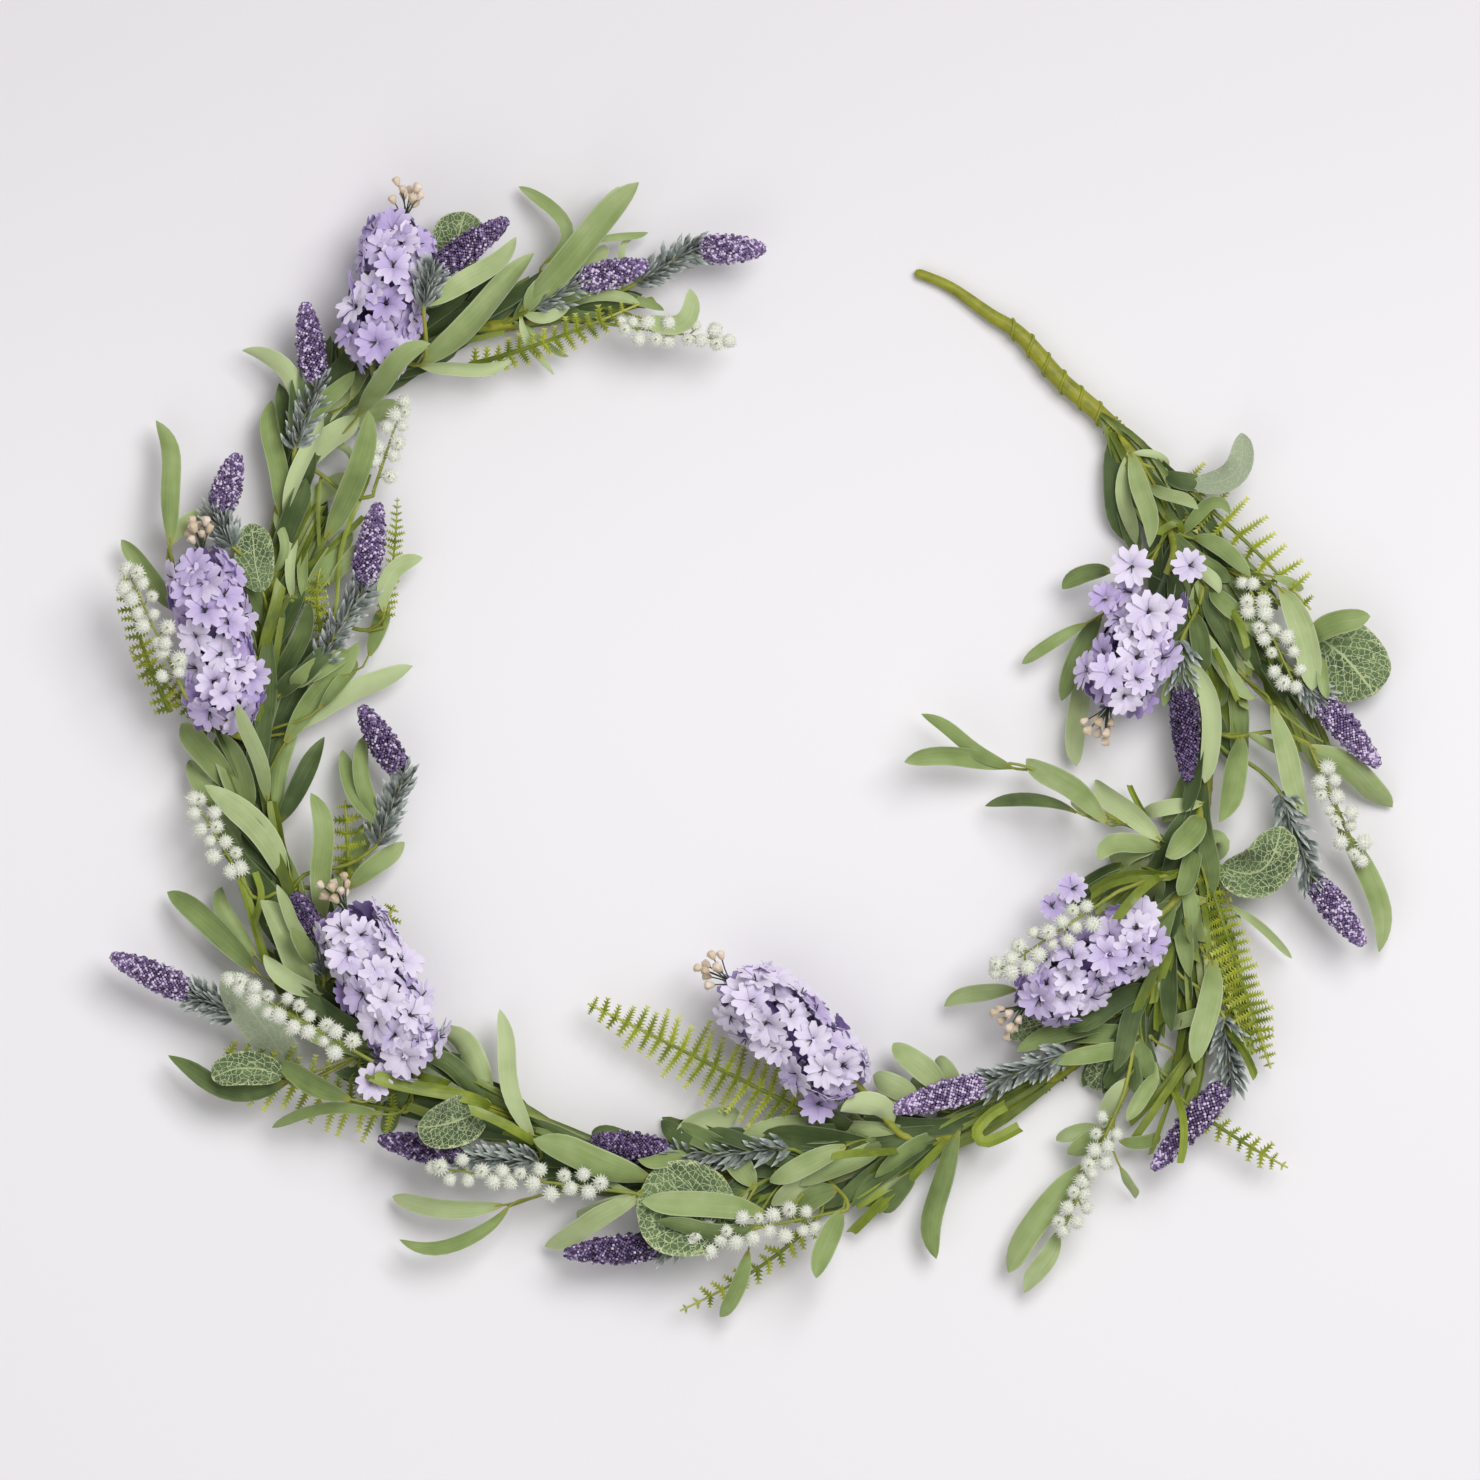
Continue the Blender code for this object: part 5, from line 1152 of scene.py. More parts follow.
@dataclass(frozen=True)
class Banded:
    """A finish of two colours that cloud and streak over a rod or blade: tape, stalks, ferns."""
    name: str
    deep: Colour
    pale: Colour
    end: Colour
    roughness: float = 0.55
    clouds: float = 120.0
    streaks: float = 10.0
    relief: float = 0.25 * MM
    sheen: float = 0.0
    coat: float = 0.0

    def material(self) -> bpy.types.Material:
        """The material of the colours and sizes given."""
        graph = Graph(self.name)
        along, across, up = graph.spot()
        cloud = graph.noise(graph.place(), self.clouds)
        grain = graph.grain(along * self.streaks, across * 5.0, up * 5.0, 3.0)
        shade = graph.tone() * 0.6 + (cloud - 0.5) * 0.9 + (grain - 0.5) * 0.6 + 0.2
        face = graph.mix(shade.fade(0.0, 1.0), self.deep, self.pale)
        face = graph.mix(along.fade(0.6, 1.0) * 0.7, face, self.end)
        return graph.finish(Base_Color=face, Roughness=self.roughness, Sheen_Weight=self.sheen,
                            Coat_Weight=self.coat, Normal=graph.bump(grain + cloud, self.relief, 0.7))


@dataclass(frozen=True)
class PetalSilk:
    """The thin silk of the florets: nearly white at the rim, deeper at the throat and behind."""
    throat: Colour = tint(144, 118, 186)
    body: Colour = tint(196, 179, 222)
    rim: Colour = tint(232, 223, 242)
    clouds: float = 60.0
    roughness: float = 0.75
    sheen: float = 0.15
    relief: float = 0.35 * MM

    def material(self) -> bpy.types.Material:
        """The petals' material."""
        graph = Graph("petal_silk")
        along, across, up = graph.spot()
        streaks = graph.grain(along * 2.0, across * 9.0, graph.tone() * 30.0)
        cloud = graph.noise(graph.place(), self.clouds)
        shade = (graph.tone() * 0.9 + along * 0.3 + (streaks - 0.5) * 0.4 + (cloud - 0.5) * 0.5
                 - 0.02)
        face = graph.mix(shade.fade(-0.1, 0.5), self.throat, self.body)
        face = graph.mix(shade.fade(0.4, 1.05), face, self.rim)
        face = graph.mix((1.0 - up) * 0.5, face, self.throat)
        return graph.finish(Base_Color=face, Roughness=self.roughness, Sheen_Weight=self.sheen,
                            Sheen_Roughness=0.5, Normal=graph.bump(streaks, self.relief, 0.6))


@dataclass(frozen=True)
class GlitterGrain:
    """The lavender's grains: most are dusky purple, some lilac, a few nearly white, with pale flecks of
    painted highlight for the glitter's glints.
    """
    deep: Colour = tint(42, 24, 62)
    mid: Colour = tint(126, 100, 152)
    pale: Colour = tint(230, 214, 242)
    glint_scale: float = 1800.0
    relief: float = 0.4 * MM

    def material(self) -> bpy.types.Material:
        """The grains' material."""
        graph = Graph("glitter_grain")
        tone = graph.tone()
        face = graph.mix(tone.fade(0.1, 0.75), self.deep, self.mid)
        face = graph.mix(tone.fade(0.72, 1.05), face, self.pale)
        glint_noise = graph.noise(graph.place(), self.glint_scale)
        # Pale flecks mixed into the colour are painted highlights for the glitter's glints; the same noise
        # makes those spots less rough and bumpy.
        face = graph.mix(glint_noise.fade(0.56, 0.72) * 0.6, face, self.pale)
        return graph.finish(Base_Color=face, Roughness=glint_noise.fade(0.35, 0.65) * 0.5 + 0.25,
                            Normal=graph.bump(glint_noise, self.relief, 0.7))


@dataclass(frozen=True)
class Fuzz:
    """Fine white flock on the berries, mottled with a faintly green shaded white."""
    white: Colour = tint(240, 241, 230)
    shaded: Colour = tint(208, 212, 190)
    fibres: float = 1500.0
    roughness: float = 0.95
    sheen: float = 0.5
    relief: float = 0.5 * MM

    def material(self) -> bpy.types.Material:
        """The berries' material."""
        graph = Graph("white_flock")
        fuzz = graph.noise(graph.place(), self.fibres, 3.0)
        face = graph.mix(fuzz.fade(0.35, 0.6), self.shaded, self.white)
        return graph.finish(Base_Color=face, Roughness=self.roughness, Sheen_Weight=self.sheen,
                            Sheen_Roughness=0.6, Normal=graph.bump(fuzz, self.relief, 0.8))


@dataclass(frozen=True)
class TableTop:
    """The pale surface under the garland, darkened towards the back by painted shade."""
    colour: Colour = tint(241, 239, 241)
    # The colour that the floor is painted darker to towards the back, over the span below: painted shade.
    far: Colour = tint(225, 222, 225)
    painted_shade_span: float = 0.5
    roughness: float = 0.8

    def material(self) -> bpy.types.Material:
        """The floor's material."""
        graph = Graph("pale_floor")
        # Painted shade: the floor darkens towards the back of the picture.
        back = graph.parts(graph.place())[1].fade(0.0, self.painted_shade_span)
        face = graph.mix(back * 0.9, self.colour, self.far)
        return graph.finish(Base_Color=face, Roughness=self.roughness)


TAPE = Banded("floral_tape", tint(82, 88, 8), tint(154, 156, 30), tint(140, 144, 26),
              roughness=0.5, clouds=150.0, streaks=90.0)
STALK = Banded("green_stalk", tint(104, 122, 36), tint(164, 166, 64), tint(140, 148, 58),
               roughness=0.5, clouds=200.0)
GRASS = Banded("grass_strap", tint(80, 98, 22), tint(150, 165, 58), tint(142, 158, 60),
               roughness=0.45, clouds=80.0, coat=0.08)
DARK_STALK = Banded("dark_stalk", tint(40, 52, 34), tint(72, 86, 50), tint(62, 78, 50), roughness=0.5)
BUD = Banded("cream_bud", tint(206, 184, 150), tint(238, 220, 200), tint(234, 208, 196),
             roughness=0.7, sheen=0.2)
FERN_GREEN = Banded("fern_green", tint(96, 112, 20), tint(174, 182, 56), tint(214, 214, 118),
                    roughness=0.45, clouds=140.0)
NEEDLE = Banded("frosted_needle", tint(58, 70, 64), tint(166, 176, 168), tint(226, 230, 226),
                roughness=0.7, clouds=300.0, sheen=0.2)
WIRE = Banded("dark_wire", tint(34, 34, 30), tint(64, 64, 56), tint(60, 60, 52), roughness=0.4)


class Mould:
    """A small mesh made once with mesh operators, to be bent and copied many times.

    Its own coordinates run along x from 0 to 1, across y and up z.
    """

    def __init__(self, name: str, form: bmesh.types.BMesh) -> None:
        """Keep a form as a mesh, turned face out."""
        bmesh.ops.recalc_face_normals(form, faces=form.faces)
        self.mesh = bpy.data.meshes.new(name)
        form.to_mesh(self.mesh)
        form.free()
        self.points = np.zeros(3 * len(self.mesh.vertices))
        self.mesh.vertices.foreach_get("co", self.points)
        self.points = self.points.reshape(-1, 3)
        self.faces = len(self.mesh.polygons)

    @classmethod
    def sheet(cls, along: int, across: int) -> "Mould":
        """A thin sheet, from -1 to 1 across and 0 to 1 through."""
        form = bmesh.new()
        bmesh.ops.create_grid(form, x_segments=along, y_segments=across, size=1.0)
        bmesh.ops.solidify(form, geom=form.faces[:], thickness=1.0)
        lowest = min(vertex.co.z for vertex in form.verts)
        bmesh.ops.translate(form, verts=form.verts, vec=(1.0, 0.0, -lowest))
        bmesh.ops.scale(form, verts=form.verts, vec=(0.5, 1.0, 1.0))
        return cls("sheet", form)

    @classmethod
    def rod(cls, along: int, sides: int, tip: float = 1.0) -> "Mould":
        """A rod of radius 1 round the x axis, which may taper to its tip."""
        form = bmesh.new()
        bmesh.ops.create_cone(form, cap_ends=True, segments=sides, radius1=1.0, radius2=tip,
                              depth=1.0)
        long_edges = [edge for edge in form.edges
                       if abs(edge.verts[0].co.z - edge.verts[1].co.z) > 0.5]
        if along > 1:
            bmesh.ops.subdivide_edges(form, edges=long_edges, cuts=along - 1, use_grid_fill=True)
        bmesh.ops.translate(form, verts=form.verts, vec=(0.0, 0.0, 0.5))
        bmesh.ops.rotate(form, verts=form.verts, matrix=Matrix.Rotation(math.pi / 2, 3, "Y"))
        return cls("rod", form)

    @classmethod
    def ball(cls, finer: int) -> "Mould":
        """A ball of radius 1 round the origin."""
        form = bmesh.new()
        bmesh.ops.create_icosphere(form, subdivisions=finer, radius=1.0)
        return cls("ball", form)

    @classmethod
    def comb(cls, teeth: int, reach: float) -> "Mould":
        """A leaflet of a fern: a rib with a row of short teeth down each side."""
        form = bmesh.new()
        add_thorn(form, Vector((0.0, 0.0, 0.0)), Vector((1.0, 0.0, 0.0)), 0.4, 4)
        for k in range(teeth):
            share = (k + 0.6) / teeth
            size = reach * (1.0 - 0.5 * share)
            for side in (-1, 1):
                heel = Vector((share - 0.3 / teeth, 0.0, 0.0))
                point = heel + Vector((0.6 / teeth, side * size, 0.2 * size * (-1) ** k))
                add_thorn(form, heel, point, 0.62 / teeth, 3)
        return cls("comb", form)

    @classmethod
    def flocked_ball(cls, hairs: int) -> "Mould":
        """A ball with short fibres standing out of it."""
        form = bmesh.new()
        bmesh.ops.create_icosphere(form, subdivisions=2, radius=0.82)
        for k in range(hairs):
            height = 1 - 2 * (k + 0.5) / hairs
            reach = math.sqrt(1 - height * height)
            way = Vector((math.cos(k * GOLDEN_ANGLE) * reach, math.sin(k * GOLDEN_ANGLE) * reach,
                          height))
            add_thorn(form, way * 0.6, way * (1.14 + 0.16 * math.sin(7.3 * k)), 0.11, 3)
        return cls("flocked_ball", form)


def add_thorn(form: bmesh.types.BMesh, heel: Vector, point: Vector, radius: float,
              sides: int) -> None:
    """Add a slim closed cone to a form.

    Args:
        form: the form that it is added to.
        heel: the middle of its base.
        point: its tip.
        radius: its base's radius.
        sides: how many sides it has.
    """
    way = point - heel
    turn = way.to_track_quat("Z", "Y").to_matrix().to_4x4()
    bmesh.ops.create_cone(form, cap_ends=True, segments=sides, radius1=radius, radius2=0.0,
                          depth=way.length, matrix=Matrix.Translation((heel + point) / 2) @ turn)


class Path:
    """A smooth line in space, with the ways to its left side and its upper face along it."""

    def __init__(self, spine: Sequence[Vector], roll: float = 0.0, twist: float = 0.0) -> None:
        """Follow a spine, rolled about itself at its start and further by its end."""
        self.points = np.array([tuple(point) for point in spine])
        steps = np.linalg.norm(np.diff(self.points, axis=0), axis=1)
        self.length = float(steps.sum())
        self.shares = np.concatenate(([0.0], np.cumsum(steps))) / self.length
        along = np.gradient(self.points, axis=0)
        along /= np.linalg.norm(along, axis=1)[:, None]
        left = np.cross((0.0, 0.0, 1.0), along)
        size = np.linalg.norm(left, axis=1)[:, None]
        left = np.where(size > 0.05, left / np.maximum(size, 1e-9), (0.0, 1.0, 0.0))
        rise = np.cross(along, left)
        turn = -(roll + twist * self.shares)[:, None]
        self.left = left * np.cos(turn) + rise * np.sin(turn)
        self.rise = rise * np.cos(turn) - left * np.sin(turn)

    def spread(self, along: Array, across: Array, up: Array) -> Array:
        """World points from shares of the length, and distances to the left and up."""
        points, left, rise = (
            np.stack([np.interp(along, self.shares, row) for row in rows.T], 1)
            for rows in (self.points, self.left, self.rise))
        return points + left * across[:, None] + rise * up[:, None]

    def point(self, share: float) -> Vector:
        """The point at a share of the length."""
        return Vector([float(np.interp(share, self.shares, row)) for row in self.points.T])


class Seat:
    """A place in space with its own x, y and z ways."""

    def __init__(self, centre: Vector, x: Vector, z: Vector) -> None:
        """Stand at a centre, with x near one way and z along another."""
        z = z.normalized()
        y = z.cross(x)
        y = y.normalized() if y.length > 1e-6 else z.orthogonal().normalized()
        self.centre = np.array(centre)
        self.ways = np.array((y.cross(z), y, z))

    def put(self, points: Array) -> Array:
        """World points from points in this place."""
        return self.centre + points @ self.ways


class Cast:
    """A piece in the making: bent copies of moulds in one mesh."""

    def __init__(self, name: str, *finishes: bpy.types.Material) -> None:
        """Start an empty piece with its materials."""
        self.name = name
        self.finishes = finishes
        self.form = bmesh.new()
        self.points = []
        self.spots = []
        self.tones = []
        self.slots = []
        self.lowest = 0.35 * MM

    def add(self, mould: Mould, points: Array, tone: Union[float, Array] = 0.5,
            slot: int = 0) -> None:
        """Add a copy of a mould with its vertices at the given points."""
        self.form.from_mesh(mould.mesh, face_normals=False, vertex_normals=False)
        self.points.append(points)
        self.spots.append(mould.points)
        self.tones.append(np.zeros(len(points)) + tone)
        self.slots.append(np.full(mould.faces, slot))

    def add_rod(self, mould: Mould, spine: Sequence[Vector], radius: float, tip: float = 1.0,
                tone: float = 0.5, slot: int = 0) -> None:
        """Lay a rod along a spine, tapered to a share of its radius at its tip."""
        path = Path(spine)
        x, y, z = mould.points.T
        reach = radius * (1 - (1 - tip) * x)
        self.add(mould, path.spread(x, y * reach, z * reach), tone, slot)

    def finish(self, nodes: Sequence[str], slot: str, smooth_to: float = 50.0) -> None:
        """Make the piece, which stands for some nodes and hides them; the slot is not used."""
        mesh = bpy.data.meshes.new(self.name)
        self.form.to_mesh(mesh)
        self.form.free()
        points = np.concatenate(self.points)
        points[:, 2] = np.maximum(points[:, 2], self.lowest)
        mesh.vertices.foreach_set("co", points.ravel())
        spots = mesh.attributes.new("spot", "FLOAT_VECTOR", "POINT")
        spots.data.foreach_set("vector", np.concatenate(self.spots).ravel())
        tones = mesh.attributes.new("tone", "FLOAT", "POINT")
        tones.data.foreach_set("value", np.concatenate(self.tones))
        for material in self.finishes:
            mesh.materials.append(material)
        mesh.polygons.foreach_set("material_index", np.concatenate(self.slots))
        mesh.update()
        mesh.shade_smooth()
        mesh.set_sharp_from_angle(angle=math.radians(smooth_to))
        piece = link(self.name, mesh)
        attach(piece, "root")
        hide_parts(*nodes)
        log.info("%s: %d faces", self.name, len(mesh.polygons))


@dataclass(frozen=True)
class Winding:
    """Tape wound over strands that show through it as low lobes."""
    pitch: float
    edge: float
    strand: float
    strands: int
    twist: float
    wobble: float = 0.0

    def lay(self, along: Array, y: Array, z: Array) -> tuple[Array, Array]:
        """How far the tape stands out at points of a stem, and its tone there."""
        turn = np.arctan2(z, y) / math.tau
        wind = (along / self.pitch - turn + self.wobble * np.sin(along * 70)) % 1.0
        lobes = np.abs(np.sin(math.pi * (self.strands * turn + along * self.twist)))
        relief = self.edge * (wind ** 3 - 0.25) + self.strand * (lobes - 0.6)
        return relief, np.clip(0.15 + 0.55 * lobes + 0.35 * (1 - wind ** 4), 0, 1)


@dataclass
class MainStem:
    """The wire core under its winding of floral tape, with the wraps that it rests on."""
    survey: Survey
    winding: Winding = Winding(9 * MM, 0.5 * MM, 0.45 * MM, 5, 14, 0.15)
    step: float = 1.6 * MM
    sides: int = 28
    rest_points: tuple = ((1197, 640), (715, 1171), (335, 398))
    rest_radius: float = 8.8 * MM
    rest_half_length: float = 5 * MM
    rest_taper: float = 4 * MM
    ties: tuple = ((1047, 1083), (1060, 1069), (960, 1127))
    tie_radius: float = 0.7 * MM
    tie_turn: float = 1.6 * math.tau
    tie_advance: float = 0.35 * MM
    cords: tuple = (((1010, 326), (1110, 422), 13 * MM), ((1110, 422), (1119, 434), 2.4 * MM),
                    ((278, 894), (285, 864), 3.2 * MM))
    cord_radius: float = 0.95 * MM
    smooth_end: float = 125 * MM
    smooth_fade: float = 20 * MM
    least_relief: float = 0.06
    tail_tone: float = 0.75
    round_end: float = 3 * MM

    def radius(self, along: Array) -> Array:
        """The stem's radius at lengths along it: fuller past its tail, and at its rests."""
        survey = self.survey
        share = np.clip(along / survey.tail_length, 0, 1)
        full = share * share * (3 - 2 * share)
        reach = survey.tail_radius + (survey.stem_radius - survey.tail_radius) * full
        for point in self.rest_points:
            off = np.abs(along - survey.nearest(point)) - self.rest_half_length
            rest = np.clip(1 - off / self.rest_taper, 0, 1)
            reach = reach + (self.rest_radius - reach) * rest
        return reach

    def build(self, tape: bpy.types.Material, wire: bpy.types.Material) -> None:
        """Wind the tape over strands that show through: each turn stands over the one before."""
        path = Path(self.survey.line)
        mould = Mould.rod(int(path.length / self.step), self.sides)
        cast = Cast("main_stem_tape", tape, wire)
        x, y, z = mould.points.T
        along = x * path.length
        relief, tone = self.winding.lay(along, y, z)
        bound = np.clip((along - self.smooth_end) / self.smooth_fade, self.least_relief, 1)
        round_end = np.clip(along / self.round_end + 0.2, 0, 1) ** 0.5
        reach = (self.radius(along) + bound * relief) * round_end
        tone = self.tail_tone + (tone - self.tail_tone) * bound
        cast.lowest = 0.0
        cast.add(mould, path.spread(x, y * reach, z * reach), tone)
        self.add_ties(cast, path)
        self.add_cords(cast, path)
        cast.finish(["main_stem"], "tape")

    def add_ties(self, cast: Cast, path: Path) -> None:
        """Twist a turn and a half of dark wire round the stem at each tie."""
        mould = Mould.rod(28, 5)
        turns = np.linspace(0, self.tie_turn, 29)
        for point in self.ties:
            at = self.survey.nearest(point)
            reach = float(self.radius(np.array([at]))[0]) + self.tie_radius * 0.8
            share = (at + turns * self.tie_advance) / path.length
            spine = path.spread(share, np.cos(turns) * reach, np.sin(turns) * reach)
            cast.add_rod(mould, [Vector(row) for row in spine], self.tie_radius, slot=1)

    def add_cords(self, cast: Cast, path: Path) -> None:
        """Wind cords of twisted tape round the stem."""
        for start, end, pitch in self.cords:
            first, last = self.survey.nearest(start), self.survey.nearest(end)
            turns = (last - first) / pitch
            steps = round(turns * 14)
            along = np.linspace(first, last, steps + 1)
            angle = np.linspace(0, turns * math.tau, steps + 1)
            reach = self.radius(along) + self.cord_radius * 0.3
            spine = path.spread(along / path.length, np.cos(angle) * reach, np.sin(angle) * reach)
            cast.add_rod(Mould.rod(steps, 6), [Vector(row) for row in spine], self.cord_radius,
                         tone=0.85)


@dataclass
class Foliage:
    """The leaves, straps and round leaves of the bunches, cut from thin fabric.

    A row of fills has the least and most turn off the stem of a blade that fills a bunch, then its
    length, tip height and width in mm. A tone is a mean and a spread.
    """
    survey: Survey
    thickness: float = 0.45 * MM
    petiole_radius: float = 0.85 * MM
    sprig_radius: float = 1.25 * MM
    sway: float = 0.05
    spare: float = 12 * MM
    clear_reach: float = 27 * MM
    # Painted shade: a blade whose middle lies this low and this near the stem has its tone darkened by this
    # much.
    painted_shade_height: float = 16 * MM
    painted_shade_reach: float = 15 * MM
    painted_shade_depth: float = 0.25
    near: float = 4 * MM
    shortest_lead: float = 10 * MM
    twig_filler_step: float = 15 * MM
    twig_filler_reach: float = 24 * MM
    leaf_count: int = 19
    strap_count: int = 6
    fills: dict = field(default_factory=lambda: {
        Cut.LEAF: ((0.08, 0.55), (44, 74), (3, 24), (9, 13.5)),
        Cut.STRAP: ((0.0, 0.22), (55, 90), (8, 22), (4, 7.5)),
    })
    tone: tuple = (0.58, 0.24)
    # The small blades' tone is set darker than the others': painted shade for the gaps deep in the garland.
    small_painted_shade_tone: tuple = (0.2, 0.24)
    round_tone: tuple = (0.0, 0.5)
    leaf_bend: tuple = (0.2, 0.75)
    round_bend: tuple = (-0.15, 0.3)
    strap_bend: tuple = (-0.9, 1.3)
    twist_spread: float = 0.45
    most_twist: float = 1.1
    stiff_twist: float = 0.25
    end_slant: float = 0.5
    sheaf_spreads: tuple = (0.35, 0.9, 1.0)
    sheaf_fills: tuple = ((-0.35, 0.35), (34, 56), (3, 12), (9, 13))
    fold_depth: float = 0.6
    ripple_depth: float = 0.07
    outlines: dict = field(default_factory=lambda: {
        Cut.LEAF: ((0, 0.05, 0.14, 0.26, 0.4, 0.55, 0.68, 0.79, 0.88, 0.945, 0.98, 1),
                   (0.2, 0.36, 0.64, 0.86, 0.97, 1, 0.95, 0.8, 0.56, 0.31, 0.14, 0.02)),
        Cut.STRAP: ((0, 0.25, 0.5, 0.93, 1), (0.45, 0.85, 1, 1, 0.8)),
        Cut.ROUND: ((0, 0.04, 0.12, 0.26, 0.42, 0.56, 0.7, 0.84, 0.94, 1),
                    (0.08, 0.4, 0.68, 0.9, 1, 1, 0.96, 0.83, 0.57, 0.1)),
    })
    blunt: tuple = (0.22, 0.42, 0.72, 0.92, 1, 1, 1, 0.97, 0.84, 0.54, 0.26, 0.04)
    paths: list = field(default_factory=list)

    def __post_init__(self) -> None:
        """Make the moulds, and list the places where a blade may be bound in."""
        self.moulds = {Cut.LEAF: Mould.sheet(14, 4), Cut.STRAP: Mould.sheet(16, 2),
                       Cut.ROUND: Mould.sheet(16, 10)}
        self.small = Mould.sheet(10, 2)
        self.petiole = Mould.rod(6, 5)
        self.sprig_rod = Mould.rod(18, 6)
        self.paths = [[point + UP * 3 * MM for point in self.survey.line[::2]]]
        self.paths += [smooth(twig.path, 3) for twig in self.survey.twigs if not twig.foot]
        self.paths += [self.sprig_path(item) for item in SPRIGS]

    @staticmethod
    def sprig_path(item: Union[Sprig, Loop]) -> list[Vector]:
        """The smooth line of a sprig's stem or a bent strap."""
        return smooth([place((x, y), height * MM) for x, y, height in item.points], 4)

    def off_stem(self, point: Vector) -> float:
        """How far a point is to the side of the main stem."""
        return min(flat(point - centre).length for centre in self.survey.line[::2])

    def root_of(self, blade: Blade) -> tuple[Vector, Vector]:
        """Where a blade leaves a stem, behind its heel, and the way that the stem has there."""
        heel = blade.rib[0]
        ahead = flat(blade.rib[2] - heel).normalized()

        def cost(choice: tuple[list[Vector], int]) -> float:
            gap = flat(heel - choice[0][choice[1]])
            if gap.length < self.near:
                return gap.length / 4
            return gap.length * (3 - 2 * gap.normalized().dot(ahead))

        path, k = min(((path, k) for path in self.paths for k in range(len(path) - 1)), key=cost)
        back = max(flat(heel - path[k]).length, self.shortest_lead)
        while k > 0 and back > 0:
            k -= 1
            back -= (path[k + 1] - path[k]).length
        return path[k], (path[k + 1] - path[k]).normalized()

    def lead(self, blade: Blade) -> list[Vector]:
        """A smooth line from a blade's root to its heel."""
        root, way = self.root_of(blade)
        heel = blade.rib[0]
        ahead = (blade.rib[1] - heel).normalized()
        reach = (heel - root).length * 0.4
        straight = (heel - root).normalized()
        way = (way + straight * 1.5).normalized()
        ease = reach * max(0.1, 0.5 + 0.5 * straight.dot(ahead))
        return [bezier(root, root + way * reach, heel - ahead * ease, heel, k / 6)
                for k in range(7)]

    def add(self, cast: Cast, blade: Blade, rng: random.Random, small: bool = False) -> None:
        """Bend a blade along its rib and join it to its stem."""
        lead, rib = self.lead(blade), blade.rib
        bend = rng.uniform(*self.leaf_bend) * rng.choice((-1, 1, 1))
        twist = clamp(rng.gauss(0, self.twist_spread), -self.most_twist, self.most_twist)
        sway = rng.uniform(-1, 1) * self.sway
        if blade.cut is not Cut.LEAF:
            bend = rng.uniform(*self.round_bend)
            twist, sway = rng.uniform(-self.stiff_twist, self.stiff_twist), sway * 0.4
        if blade.cut is Cut.STRAP:
            bend = rng.uniform(*self.strap_bend)
            rib = lead[:-1] + rib
        path = Path(rib, blade.roll - twist * 0.4, twist)
        mould = self.small if small else self.moulds[blade.cut]
        x, y, z = mould.points.T
        share = 0.5 * x + 0.25 * (1 - np.cos(math.pi * x))
        if blade.cut is Cut.STRAP:
            slant = rng.uniform(-self.end_slant, self.end_slant) * blade.width / path.length
            share = share - (abs(slant) - slant * y) * share ** 6
        stations, pointed = self.outlines[blade.cut]
        half = np.interp(share, stations, pointed) * blade.width / 2
        if blade.cut is Cut.LEAF:
            blunt = np.interp(share, stations, self.blunt) * blade.width / 2
            half = half + (blunt - half) * rng.random()
        swing = sway * path.length * np.sin(math.tau * share) * share
        fold = bend * half * y * y * self.fold_depth
        ripple = self.ripple_depth * half * np.sin(share * 9 + rng.uniform(0, 6)) * y
        up = fold + ripple + self.thickness * (z - 0.5)
        # Small blades take the darker tone: painted shade for the gaps between the leaves.
        tone = rng.gauss(*(self.small_painted_shade_tone if small else self.tone))
        # Painted shade: low blades beside the stem are darkened further.
        if rib[1].z < self.painted_shade_height and self.off_stem(rib[1]) < self.painted_shade_reach:
            tone -= self.painted_shade_depth
        tone = clamp(tone)
        if blade.cut is Cut.ROUND:
            tone = 1.0 if blade.pale else rng.uniform(*self.round_tone)
        cast.add(mould, path.spread(share, y * half + swing, up), tone,
                 (Cut.LEAF, Cut.ROUND, Cut.STRAP).index(blade.cut))
        if blade.cut is not Cut.STRAP:
            spine = lead + [path.point(0.06)]
            cast.add_rod(self.petiole, spine, self.petiole_radius, 0.7, tone=rng.random(), slot=3)

    def sprout(self, root: Vector, heading: Vector, turn: float, reach: float, height: float,
               width: float, cut: Cut, rng: random.Random) -> Blade:
        """A blade that leaves a stem at an angle, turned in until it keeps near the garland.

        Args:
            root: where it starts.
            heading: the stem's way there.
            turn: how far it turns off that way to the left.
            reach: how long it is.
            height: how high its tip lies.
            width: its width.
            cut: how it is cut.
            rng: the source of its bends.

        Returns:
            The blade.
        """
        ahead = flat(heading).normalized()
        most = max(self.clear_reach, self.off_stem(root) + self.spare)
        for _ in range(4):
            tip = flat(root) + Matrix.Rotation(turn, 3, "Z") @ ahead * reach + UP * height
            if self.off_stem(tip) < most:
                break
            turn, reach = turn * 0.6, reach * 0.9
        side = UP.cross(tip - root).normalized() * reach * rng.uniform(-0.07, 0.07)
        middle = (root + tip) / 2 + UP * rng.uniform(0, 7) * MM + side
        rib = bowed(root, middle, tip)
        return Blade("", rib, width, rng.uniform(-0.6, 0.6), cut)

    @staticmethod
    def in_clearing(blade: Blade) -> bool:
        """Whether a blade would lie in an open spot."""
        spots = [(place((x, y), 0.0), reach * SQUARE) for x, y, reach in CLEARINGS]
        return any(flat(point - spot).length < reach for point in blade.rib[4::3]
                   for spot, reach in spots)

